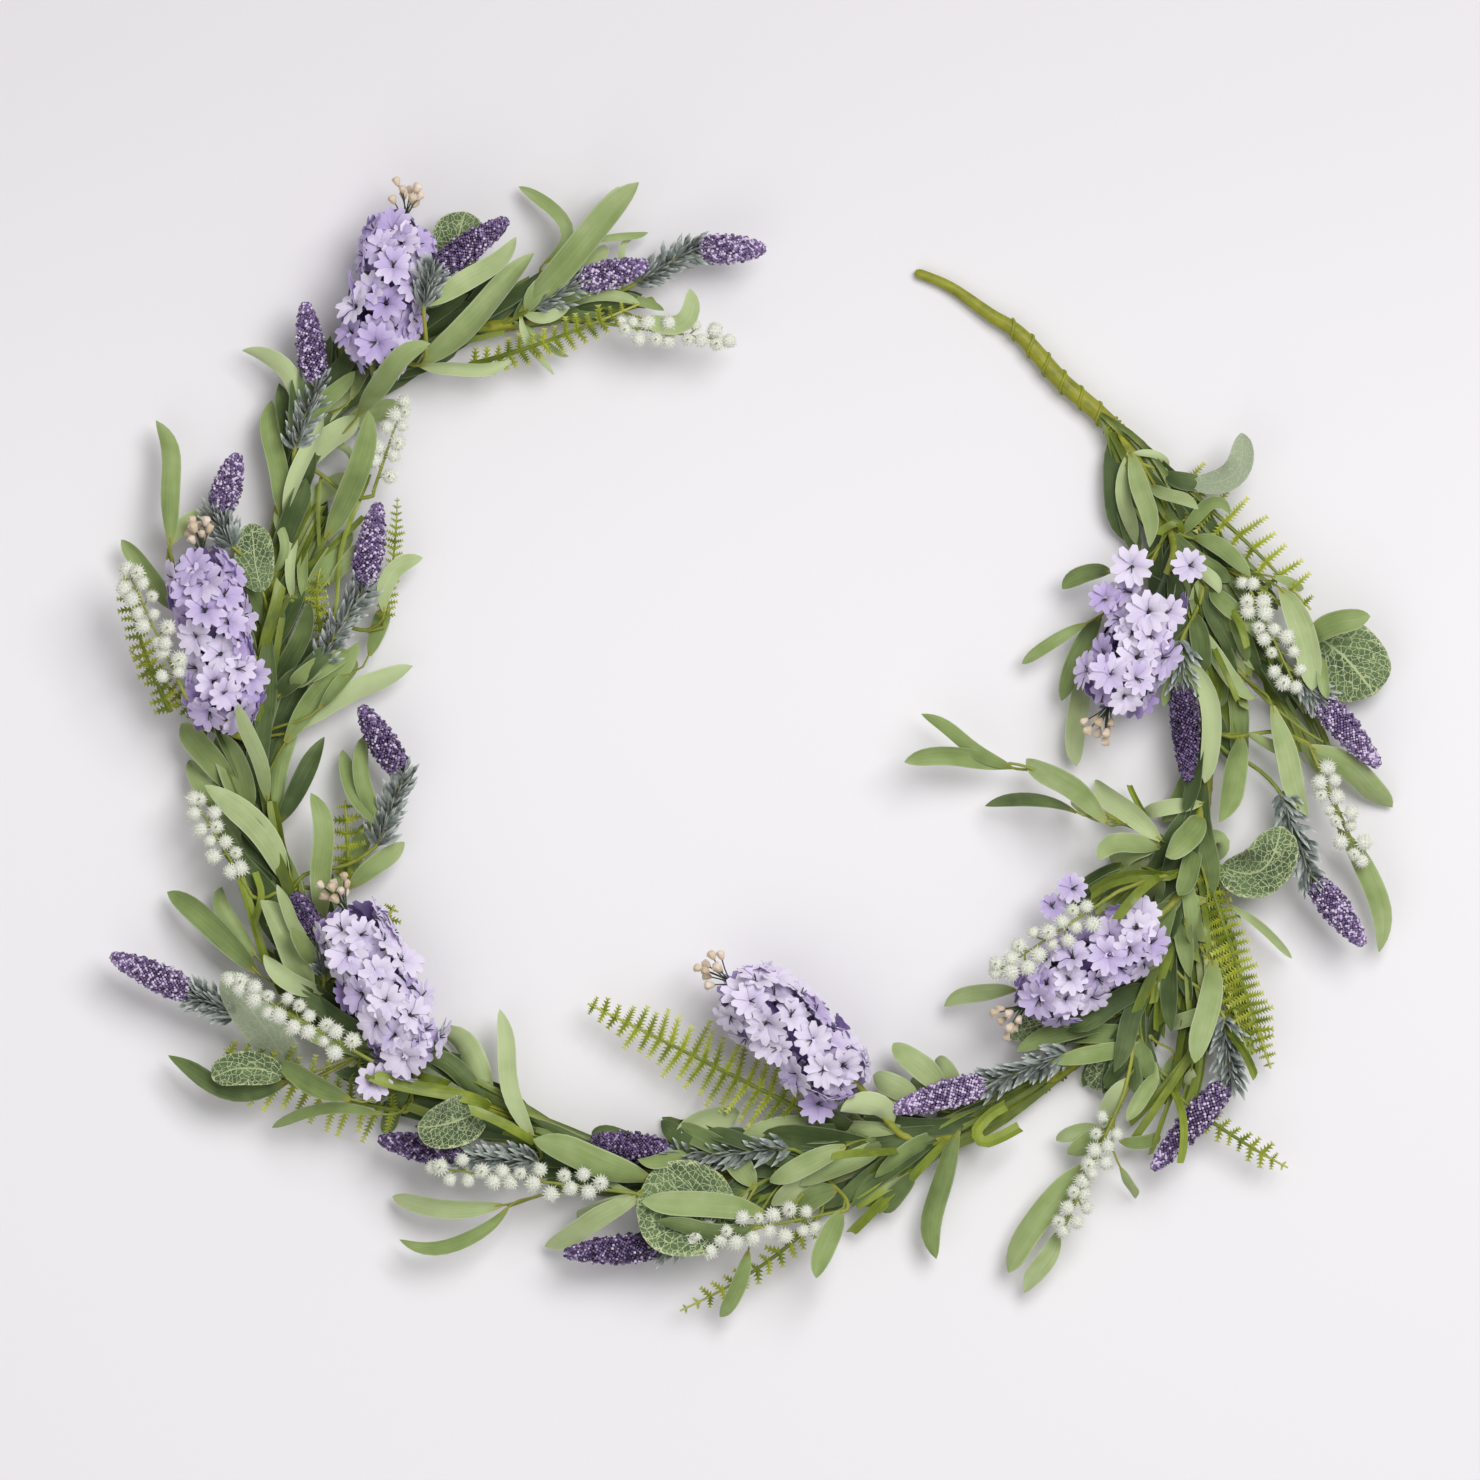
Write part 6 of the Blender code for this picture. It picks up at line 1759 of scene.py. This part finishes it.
    def fillers(self, number: int, rng: random.Random) -> list[Blade]:
        """The blades that the nearer ones hide: low along the main stem, and on the side stems."""
        survey = self.survey
        start = survey.nearest(FEET[number - 1].start)
        ends = [survey.nearest(foot.start) for foot in FEET[number:number + 1]]
        reach = (ends[0] if ends else survey.lengths[-1]) - start
        found = []
        for k in range(self.leaf_count + self.strap_count):
            cut = Cut.LEAF if k < self.leaf_count else Cut.STRAP
            along = start + reach * rng.random()
            heading = survey.at(along + 5 * MM) - survey.at(along - 5 * MM)
            root = survey.at(along) + UP * rng.uniform(2, 5) * MM
            side = (-1) ** k
            turns, *spans = self.fills[cut]
            found.append(self.sprout(root, heading, side * rng.uniform(*turns),
                                     *(rng.uniform(*span) * MM for span in spans), cut, rng))
        for twig in survey.twigs:
            if twig.foot or twig.node != f"bunch_{number:02d}":
                continue
            path = Path(smooth(twig.path, 3))
            for k in range(round(path.length / self.twig_filler_step)):
                share = rng.uniform(0.1, 0.8)
                root = path.point(share)
                if self.off_stem(root) > self.twig_filler_reach:
                    continue
                heading = path.point(min(share + 0.1, 1.0)) - path.point(share - 0.1)
                ahead = survey.at(start + reach) - survey.at(start)
                if heading.normalized().dot(ahead.normalized()) < 0.5:
                    continue
                found.append(self.sprout(root, heading, (-1) ** k * rng.uniform(0.25, 0.7),
                                         rng.uniform(28, 46) * MM,
                                         max(root.z + rng.uniform(-9, 3) * MM, 3 * MM),
                                         rng.uniform(8, 11.5) * MM, Cut.LEAF, rng))
        return [blade for blade in found if not self.in_clearing(blade)]

    def sheaf(self, item: Sheaf, rng: random.Random) -> list[Blade]:
        """The straps of a sheaf, side by side."""
        found = []
        for k in range(item.count):
            aside = (k + 0.5) / item.count - 0.5 + rng.uniform(-0.06, 0.06)
            points = []
            for point, spread in zip((item.start, item.middle, item.end), self.sheaf_spreads):
                way = place(item.end, 0.0) - place(item.start, 0.0)
                left = UP.cross(way).normalized() * aside * item.breadth * SQUARE * spread
                points.append(place(point, (9 + 5 * spread + rng.uniform(-4, 5)) * MM) + left)
            points[2] = points[0].lerp(points[2], rng.uniform(0.82, 1.05))
            rib = bowed(*points)
            found.append(Blade("", rib, item.breadth * SQUARE / item.count * rng.uniform(0.9, 1.5),
                               rng.uniform(-0.5, 0.5), Cut.STRAP))
            share = rng.uniform(0.0, 0.7)
            root = bow(*points, share)
            heading = bow(*points, share + 0.1) - root
            turns, *spans = self.sheaf_fills
            found.append(self.sprout(root - UP * 3 * MM, heading, rng.uniform(*turns),
                                     *(rng.uniform(*span) * MM for span in spans), Cut.LEAF, rng))
        return [blade for blade in found
                if blade.cut is Cut.STRAP or not self.in_clearing(blade)]

    def build(self, number: int, finishes: Sequence[bpy.types.Material]) -> None:
        """Make all the blades of one bunch."""
        rng = random.Random(40 + number)
        node = f"bunch_{number:02d}"
        cast = Cast(f"{node}_leaves", *finishes)
        for blade in [blade for blade in self.survey.blades if blade.node == node]:
            self.add(cast, blade, rng)
        for blade in self.fillers(number, rng):
            self.add(cast, blade, rng, small=True)
        for item in of_bunch(SHEAVES, number):
            for blade in self.sheaf(item, rng):
                self.add(cast, blade, rng, small=True)
        for item in of_bunch(SPRIGS, number):
            cast.add_rod(self.sprig_rod, self.sprig_path(item), self.sprig_radius, 0.6, slot=3)
        for item in of_bunch(LOOPS, number):
            path = Path(self.sprig_path(item), rng.uniform(-0.4, 0.4))
            x, y, z = self.moulds[Cut.STRAP].points.T
            half = item.width * SQUARE / 2
            points = path.spread(x, y * half, y * y * half * 0.5 + self.thickness * (z - 0.5))
            cast.add(self.moulds[Cut.STRAP], points, 0.7, 2)
        cast.finish([node], "foliage")


@dataclass
class Stems:
    """The taped foot of a bunch, its side stems, and the leaflets below its lavender heads."""
    survey: Survey
    winding: Winding = Winding(8 * MM, 0.35 * MM, 0.4 * MM, 4, 12)
    sunk: float = 2.6 * MM
    needles: int = 110
    needle_length: float = 14 * MM
    needle_radius: float = 1.5 * MM
    needle_flatness: float = 0.45
    needle_heel: float = 0.8 * MM
    needle_leans: tuple = (0.5, 1.3)
    needle_sizes: tuple = (0.6, 1.0)
    needle_profile: tuple = ((0, 0.3, 0.75, 1), (0.5, 1, 0.85, 0.15))

    def __post_init__(self) -> None:
        """Make the moulds."""
        self.foot = Mould.rod(60, 20)
        self.stem = Mould.rod(16, 8)
        self.needle = Mould.rod(3, 4)

    def build(self, number: int, finishes: Sequence[bpy.types.Material],
              needle: bpy.types.Material) -> None:
        """Make the stems of one bunch, and its leaflets as a piece of their own."""
        rng = random.Random(80 + number)
        node = f"bunch_{number:02d}"
        twigs = [twig for twig in self.survey.twigs if twig.node == node]
        cast = Cast(f"{node}_stems", *finishes)
        for twig in twigs:
            if twig.foot:
                self.add_foot(cast, twig)
            else:
                cast.add_rod(self.stem, smooth(twig.path, 4), twig.radius * 0.85,
                             tone=rng.random(), slot=1)
        cast.finish([node], "tape")
        spiked = [twig for twig in twigs if twig.spike]
        if spiked:
            cast = Cast(f"{node}_needles", needle)
            for twig in spiked:
                self.add_needles(cast, twig, rng)
            cast.finish([node], "foliage")

    def add_foot(self, cast: Cast, twig: Twig) -> None:
        """Wind tape over the strands of a bunch's foot, narrowed at both ends."""
        path = Path([point - UP * self.sunk for point in smooth(twig.path, 4)])
        x, y, z = self.foot.points.T
        relief, tone = self.winding.lay(x * path.length, y, z)
        ends = np.sin(np.clip(np.minimum(x, 1 - x) / 0.25, 0, 1) * math.pi / 2)
        reach = twig.radius * (0.15 + 0.85 * ends) + relief + self.winding.edge / 4
        cast.add(self.foot, path.spread(x, y * reach, z * reach), tone)

    def add_needles(self, cast: Cast, twig: Twig, rng: random.Random) -> None:
        """Set frosted leaflets all round the last stretch of a stem, leaning towards the head."""
        stretch = Path(smooth(twig.path[-2 - self.survey.needle_rows:], 3))
        x, y, z = self.needle.points.T
        profile = np.interp(x, *self.needle_profile) * self.needle_radius
        for k in range(self.needles):
            share = (k + 0.5) / self.needles
            turn = k * GOLDEN_ANGLE
            along = stretch.point(min(share + 0.1, 1.0)) - stretch.point(max(share - 0.1, 0.0))
            along.normalize()
            out = around(along, turn)
            heel = stretch.point(share) + out * self.needle_heel
            lean = rng.uniform(*self.needle_leans)
            length = self.needle_length * rng.uniform(*self.needle_sizes)
            way = along * math.cos(lean) + out * math.sin(lean)
            knee = heel + way * length * 0.55
            tip = knee + (way + along * rng.uniform(0.2, 0.9)).normalized() * length * 0.45
            path = Path([heel, knee, tip], turn + rng.uniform(-0.5, 0.5))
            points = path.spread(x, y * profile, z * profile * self.needle_flatness)
            cast.add(self.needle, points, clamp(rng.gauss(0.5, 0.3)))


@dataclass
class Hyacinth:
    """A hyacinth spike: flat scalloped florets round a dark stalk, and cream buds at its tip.

    The florets start and end at shares of its half length from its middle. How far some of them are
    set in, and the others in or out, is in mm.
    """
    survey: Survey
    radius: float = 20.5 * MM
    past_ends: float = 7.5 * MM
    florets: int = 48
    first: float = -0.94
    last: float = 0.9
    other_firsts: dict = field(default_factory=lambda: {1: -0.5})
    floret_sizes: tuple = (0.84, 1.08)
    set_in: tuple = (-7, -3)
    set_out: tuple = (-3, 0.8)
    lean: float = 0.32
    lift: float = 0.15
    # Painted light: how much paler a floret is painted the more it faces up.
    painted_top_light: float = 0.3
    shade_spread: tuple = (-0.35, 0.25)
    branch_radius: float = 0.6 * MM
    floret_radius: float = 11.6 * MM
    throat_depth: float = 4 * MM
    notch: float = 0.71
    petal_turn: float = math.radians(38)
    petal_leans: tuple = (-0.16, 0.16)
    petal_shades: tuple = (-0.12, 0.12)
    eye_radius: float = 0.5 * MM
    eye_reach: tuple = (2.2, 3.6)
    eye_ways: tuple = (-0.6, 0.5)
    stalk_radius: float = 1.6 * MM
    heart_radius: float = 9 * MM
    smooth_to: float = 40.0
    bud_reach: float = 21 * MM
    buds: int = 9
    bud_spread: tuple = (3, 9)
    bud_sizes: tuple = (2.1, 2.9)
    bud_stalk: float = 0.4 * MM

    def __post_init__(self) -> None:
        """Make the moulds, and a few petals of different frills."""
        self.petal = Mould.sheet(3, 6)
        self.rod = Mould.rod(4, 5)
        self.ball = Mould.ball(2)
        rng = random.Random(6)
        self.petals = [self.shape_petal(rng) for _ in range(9)]

    def shape_petal(self, rng: random.Random) -> Array:
        """A petal along x: two round lobes at its rim, one side of it lapped over the next."""
        x, y, z = self.petal.points.T
        rim = np.clip(3 * x - 2, 0, 1)
        lobe = (0.04 + np.abs(np.sin(math.pi * y)) ** 0.5) * rim
        body = np.interp(x, (0, 0.34, 0.67, 1), (0.1, 0.36, self.notch, self.notch))
        reach = self.floret_radius * (body + (1 - self.notch) * lobe * rng.uniform(0.85, 1.15))
        turn = y * self.petal_turn
        bowl = -self.throat_depth * np.interp(x, (0, 0.34, 1), (1, 0.22, 0))
        curl = rng.uniform(-1.2, 0.5) * lobe
        frill = 0.5 * np.sin(y * 5 + rng.uniform(0, 6)) * x + 0.35 * y + curl
        up = bowl + frill * MM + 0.3 * MM * z
        return np.stack((reach * np.cos(turn), reach * np.sin(turn), up), 1)

    def add_floret(self, cast: Cast, centre: Vector, facing: Vector, size: float, tone: float,
                   rng: random.Random) -> Vector:
        """Set five petals and a dark eye, and return the floret's throat."""
        spin = rng.uniform(0, math.tau)
        seat = Seat(centre, facing.orthogonal(), facing)
        for k in range(5):
            turn = spin + k * math.tau / 5
            lean = Matrix.Rotation(rng.uniform(*self.petal_leans), 3, "Y")
            points = rng.choice(self.petals) @ np.array(lean).T
            cos, sin = math.cos(turn), math.sin(turn)
            spun = points @ np.array(((cos, sin, 0), (-sin, cos, 0), (0, 0, 1)))
            cast.add(self.petal, seat.put(spun * size),
                     clamp(tone + rng.uniform(*self.petal_shades)))
        throat = centre - facing * self.throat_depth * 0.9 * size
        across = facing.orthogonal().normalized()
        across.rotate(Matrix.Rotation(spin, 3, facing))
        for way in self.eye_ways:
            out = (across + facing.cross(across) * way).normalized()
            out *= rng.uniform(*self.eye_reach) * MM
            cast.add_rod(self.rod, [throat - facing * MM, throat + facing * 3.2 * MM + out * 0.5,
                                    throat + facing * 4.6 * MM + out], self.eye_radius, 0.6, 0.3, 1)
        return throat

    def build(self, piece: Carried, silk: bpy.types.Material, stalk: bpy.types.Material,
              bud: bpy.types.Material) -> None:
        """Make one hyacinth as two pieces, its florets and its stalk with the buds."""
        number = int(piece.node[-2:])
        rng = random.Random(11 + number * 17)
        base, tip = self.survey.axis(piece.item, piece.level, piece.tilt)
        along = (tip - base).normalized()
        florets = Cast(f"{piece.node}_florets", silk, stalk)
        stalks = Cast(f"{piece.node}_stalk", stalk, bud)
        self.add_crowd(florets, stalks, number, base, tip, rng)
        self.add_lone(florets, stalks, number, base, tip, rng)
        florets.finish([piece.node], "petal", self.smooth_to)
        self.add_buds(stalks, tip, along, rng)
        stalks.finish([piece.node], "petal")

    def add_crowd(self, florets: Cast, stalks: Cast, number: int, base: Vector, tip: Vector,
                  rng: random.Random) -> None:
        """Crowd florets round a bloom's axis, each on its own branch, over a thick inner rod."""
        middle, along, half = (base + tip) / 2, (tip - base).normalized(), (tip - base).length / 2
        straight = half + self.past_ends - self.radius
        total = straight + self.radius
        first, last = self.other_firsts.get(number, self.first), self.last
        count = round(self.florets * (last - first) / (last - self.first))
        for k in range(count):
            height = total * (first + (last - first) * (k + 0.5) / count)
            turn = k * GOLDEN_ANGLE + rng.uniform(-0.3, 0.3)
            past = max(abs(height) - straight, 0.0)
            reach = math.sqrt(max(self.radius ** 2 - past ** 2, 0.0))
            out = around(along, turn)
            facing = (out * reach + along * math.copysign(past, height)).normalized()
            centre = middle + along * (height + rng.uniform(-2, 2) * MM) + out * reach
            centre += facing * rng.choice((rng.uniform(*self.set_in), rng.uniform(*self.set_out))) * MM
            facing = (facing + (stray(rng) * self.lean + UP * self.lift)).normalized()
            # Florets facing up are painted paler and those facing down darker: painted light and shade.
            shade = BLOOM_SHADES[number - 1] + self.painted_top_light * facing.z
            shade += rng.uniform(*self.shade_spread)
            size = rng.uniform(*self.floret_sizes)
            throat = self.add_floret(florets, centre, facing, size, shade, rng)
            inner = middle + along * clamp(height * 0.85, -half, half)
            stalks.add_rod(self.rod, [inner, (inner + throat) / 2 - along * 2 * MM, throat],
                           self.branch_radius, tone=rng.random())
        heart = [middle + along * total * share for share in (first * 0.8, 0.0, 0.75)]
        florets.add_rod(self.rod, heart, self.heart_radius, 0.6, 0.0)
        top = middle + along * (total * last)
        stalks.add_rod(self.rod, [base, middle, top], self.stalk_radius, 0.6)

    def add_lone(self, florets: Cast, stalks: Cast, number: int, base: Vector, tip: Vector,
                 rng: random.Random) -> None:
        """Add the florets that stand clear of a bloom."""
        along, half = (tip - base).normalized(), (tip - base).length / 2
        for floret in [floret for floret in LONE_FLORETS if floret.bloom == number]:
            centre = place(floret.point, floret.height * MM)
            facing = (UP + stray(rng) * 0.3).normalized()
            throat = self.add_floret(florets, centre, facing, floret.size, floret.tone, rng)
            inner = base.lerp(tip, clamp((centre - base).dot(along) / half / 2))
            stalks.add_rod(self.rod, [inner, (inner + throat) / 2 - UP * 2 * MM, throat],
                           0.7 * MM, tone=rng.random())

    def add_buds(self, cast: Cast, tip: Vector, along: Vector, rng: random.Random) -> None:
        """Set small lobed buds on thin branches past the last florets."""
        left = UP.cross(along).normalized()
        x, y, z = self.ball.points.T
        for k in range(self.buds):
            turn = k * GOLDEN_ANGLE
            out = around(along, turn)
            share = 1 - 0.55 * k / self.buds
            end = tip + along * self.bud_reach * share + out * rng.uniform(*self.bud_spread) * MM
            heel = tip + along * self.bud_reach * (share * 0.6 - 0.3)
            cast.add_rod(self.rod, [heel, heel.lerp(end, 0.5) + along * MM, end], self.bud_stalk,
                         tone=rng.random())
            seat = Seat(end, left, (end - heel).normalized())
            flare = np.clip(z + 0.3, 0, 1)
            lobe = 0.75 + flare * (0.4 + 0.25 * np.cos(5 * np.arctan2(y, x)))
            size = rng.uniform(*self.bud_sizes) * MM
            points = np.stack((x * lobe, y * lobe, z * 1.3 + 0.3 - 0.35 * flare), 1) * size
            cast.add(self.ball, seat.put(points), rng.random(), 1)


@dataclass
class Lavender:
    """A lavender head: glittering grains that crowd a tapered spike."""
    survey: Survey
    grains: int = 900
    grain_radius: float = 0.94 * MM
    grain_sizes: tuple = (0.65, 1.2)
    clumps: float = 0.1
    unevenness: tuple = (-0.16, 0.06)
    core: float = 0.7
    profile: tuple = ((0, 0.06, 0.2, 0.42, 0.65, 0.85, 0.96, 1.0),
                      (0.5, 0.8, 0.98, 1.0, 0.84, 0.6, 0.36, 0.2))

    def __post_init__(self) -> None:
        """Make the moulds."""
        self.grain = Mould.ball(1)
        self.core_rod = Mould.rod(8, 8)

    def build(self, piece: Carried, glitter: bpy.types.Material) -> None:
        """Make one head."""
        number = int(piece.node[-2:])
        rng = random.Random(900 + number)
        base, tip = self.survey.axis(piece.item, piece.level, piece.tilt)
        along = (tip - base).normalized()
        full = self.survey.head_radius
        cast = Cast(piece.node + "_grains", glitter)
        path = Path([base, base.lerp(tip, 0.5), tip])
        x, y, z = self.core_rod.points.T
        reach = np.interp(x, *self.profile) * full * self.core
        cast.add(self.core_rod, path.spread(x * 0.97, y * reach, z * reach), 0.0)
        seat = Seat(Vector(), UP.cross(along).normalized(), along)
        bright = HEAD_SHADES[number - 1]
        for k in range(self.grains):
            share = (k + 0.5) / self.grains
            turn = k * GOLDEN_ANGLE
            out = around(along, turn)
            reach = float(np.interp(share, *self.profile)) * full
            clump = 1 + self.clumps * math.sin(share * 55 + 3 * turn) + rng.uniform(*self.unevenness)
            centre = base.lerp(tip, share) + out * (reach * clump)
            seat.centre = np.array(centre)
            size = self.grain_radius * rng.uniform(*self.grain_sizes)
            tone = clamp(rng.random() ** 1.2 + bright)
            cast.add(self.grain, seat.put(self.grain.points * size), tone)
        cast.finish([piece.node], "lavender", 80.0)


@dataclass
class BerrySpray:
    """A yellow-green stalk with fuzzy white berries in two rows on short side stalks."""
    survey: Survey
    spacing: float = 4.3 * MM
    reach: float = 5.4 * MM
    most: int = 18
    covered: float = 0.88
    berry_sizes: tuple = (0.82, 1.18)
    stagger: tuple = (-1.9, 1.9)
    sideways: tuple = (0.2, 1.35)
    upwards: tuple = (-0.3, 0.9)
    tip_radius: float = 0.55 * MM
    stalk_radius: float = 0.95 * MM
    branch_radius: float = 0.5 * MM

    def __post_init__(self) -> None:
        """Make the moulds."""
        self.berry = Mould.flocked_ball(80)
        self.rod = Mould.rod(6, 6)

    def build(self, piece: Carried, flock: bpy.types.Material, stalk: bpy.types.Material) -> None:
        """Make one spray."""
        rng = random.Random(300 + int(piece.node[-2:]))
        line = self.survey.stalk(piece.item, piece.level, piece.tilt)
        spine = bowed(*line, 8)
        path = Path(spine)
        along = (line[2] - line[0]).normalized()
        side = UP.cross(along).normalized()
        cast = Cast(piece.node + "_berries", flock, stalk)
        cast.add_rod(self.rod, spine, self.stalk_radius, 0.5, slot=1)
        count = min(self.most, round(path.length * self.covered / self.spacing))
        for k in range(count):
            node = path.point(1 - k * self.covered / count)
            node = node + along * rng.uniform(*self.stagger) * MM
            way = side * (-1) ** k * rng.uniform(*self.sideways) + UP * rng.uniform(*self.upwards)
            centre = node + way * self.reach * min(1.0, 0.4 + k * 0.3) if k else node
            if k:
                cast.add_rod(self.rod, [node - along * 3 * MM, node + (centre - node) * 0.5, centre],
                             self.branch_radius, slot=1)
            spin = Euler([rng.uniform(0, 6) for _ in range(3)]).to_matrix()
            size = self.survey.berry_radius * rng.uniform(*self.berry_sizes)
            if k % 4 == 1:
                cast.add_rod(self.rod, [centre, centre + UP * size, centre + UP * size * 1.3],
                             self.tip_radius, slot=1)
            points = self.berry.points @ np.array(spin) * size + np.array(centre)
            cast.add(self.berry, points, rng.random())
        cast.finish([piece.node], "berry", 60.0)


@dataclass
class Fern:
    """A fern frond: a rib with a row of narrow toothed leaflets down each side."""
    survey: Survey
    rib_radius: float = 1.5 * MM
    tooth: float = 3.5 * MM
    tip_reach: float = 0.22
    droop: float = 0.12
    sizes: tuple = (0.74, 1.1)
    more_teeth: tuple = (9 * MM, 17 * MM)

    def __post_init__(self) -> None:
        """Make the moulds."""
        self.combs = [Mould.comb(teeth, 1.0) for teeth in (4, 7, 10)]
        self.rod = Mould.rod(12, 6)

    def build(self, piece: Carried, green: bpy.types.Material) -> None:
        """Make one frond."""
        rng = random.Random(500 + int(piece.node[-2:]))
        line = self.survey.rib(piece.item, piece.level, piece.tilt)
        spine = bowed(*line, 12)
        path = Path(spine)
        cast = Cast(piece.node + "_frond", green)
        radius = min(self.rib_radius, piece.item.reach * SQUARE * 0.16)
        cast.add_rod(self.rod, spine, radius, 0.4, 0.0)
        pairs = max(6, round(path.length / (piece.item.step * SQUARE)))
        for k in range(pairs):
            share = (k + 0.5) / pairs
            along = path.point(min(share + 0.05, 1)) - path.point(max(share - 0.05, 0))
            along.normalize()
            left = UP.cross(along).normalized()
            reach = piece.item.reach * SQUARE * min(
                1.0, self.tip_reach + piece.item.taper * (1 - share))
            for way in (-1, 1):
                lean = piece.item.lean + rng.uniform(-0.12, 0.12)
                out = left * way * math.sqrt(1 - lean ** 2) + along * lean
                out = (out - UP * self.droop * rng.uniform(0, 2)).normalized()
                seat = Seat(path.point(share), out, UP)
                size = reach * rng.uniform(*self.sizes)
                comb = self.combs[sum(size > least for least in self.more_teeth)]
                tooth = min(self.tooth, size * 0.4)
                points = comb.points * np.array((size, tooth, tooth))
                points[:, 2] -= 0.1 * size * comb.points[:, 0] ** 2
                cast.add(comb, seat.put(points), rng.random())
        cast.finish([piece.node], "fern", 60.0)


@dataclass
class Studio:
    """The pale floor, the soft light from the top right of the picture and the camera overhead."""
    height: float = 12.0
    lens: float = 500.0
    view: float = 1480 * SQUARE
    view_centre: Plan = (740, 740)
    floor_size: float = 4.0
    lights: tuple = (("key", (1.28, 1.35, 3.45), 2.25, 115.0), ("fill", (-0.9, -1.4, 2.4), 2.6, 16.0))
    sky: Colour = (1.0, 0.985, 1.0, 1.0)
    sky_strength: float = 0.3

    def build(self) -> None:
        """Set the floor, the lights and the camera."""
        form = bmesh.new()
        bmesh.ops.create_grid(form, x_segments=2, y_segments=2, size=self.floor_size)
        mesh = bpy.data.meshes.new("floor")
        form.to_mesh(mesh)
        form.free()
        mesh.materials.append(TableTop().material())
        floor = link("floor", mesh)
        for light in self.lights:
            self.add_light(*light)
        world = bpy.data.worlds.new("soft_room")
        world.use_nodes = True
        colour, strength = world.node_tree.nodes["Background"].inputs[:2]
        colour.default_value, strength.default_value = self.sky, self.sky_strength
        bpy.context.scene.world = world
        bpy.context.scene.view_settings.view_transform = "Standard"
        camera = bpy.data.cameras.new("overhead")
        camera.lens = self.lens
        camera.sensor_width = camera.sensor_height = self.view / self.height * self.lens
        stand = link("overhead", camera)
        stand.location = place(self.view_centre, self.height)
        bpy.context.scene.camera = stand

    @staticmethod
    def add_light(name: str, place_at: tuple[float, float, float], size: float,
                  power: float) -> None:
        """Hang a large square light that looks at the garland's middle."""
        light = bpy.data.lights.new(name, "AREA")
        light.size = size
        light.energy = power
        lamp = link(name, light)
        lamp.location = place_at
        lamp.rotation_euler = (-Vector(place_at)).to_track_quat("-Z", "Y").to_euler()


def main() -> None:
    """Build the garland's looks and the studio round it."""
    logging.basicConfig(level=logging.INFO, format="%(message)s")
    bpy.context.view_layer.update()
    Studio().build()
    survey = Survey()
    survey.run()
    for number, item in enumerate(SMALL_LEAVES):
        survey.blades.append(survey.guess_blade(200 + number, item, Cut.LEAF))
    for number, item in enumerate(SMALL_STRAPS):
        survey.blades.append(survey.guess_blade(300 + number, item, Cut.STRAP))
    for frond, level in MORE_FRONDS:
        survey.carried.append(Carried(f"bunch_{frond.bunch:02d}", frond, level, 4))
    log.info("%d pieces and %d blades found", len(survey.carried), len(survey.blades))
    tape, stalk, grass = TAPE.material(), STALK.material(), GRASS.material()
    dark, bud, wire = DARK_STALK.material(), BUD.material(), WIRE.material()
    MainStem(survey).build(tape, wire)
    foliage, stems = Foliage(survey), Stems(survey)
    leaf_finishes = (SageFabric().material(), FlockedLeaf().material(), grass, stalk)
    needle = NEEDLE.material()
    for number in range(1, len(FEET) + 1):
        foliage.build(number, leaf_finishes)
        stems.build(number, (tape, stalk), needle)
    makers = {
        Bloom: (Hyacinth(survey), (PetalSilk().material(), dark, bud)),
        Spike: (Lavender(survey), (GlitterGrain().material(),)),
        Spray: (BerrySpray(survey), (Fuzz().material(), stalk)),
        Frond: (Fern(survey), (FERN_GREEN.material(),)),
    }
    for piece in survey.carried:
        maker, finishes = makers[type(piece.item)]
        maker.build(piece, *finishes)


if __name__ == "__main__":
    main()
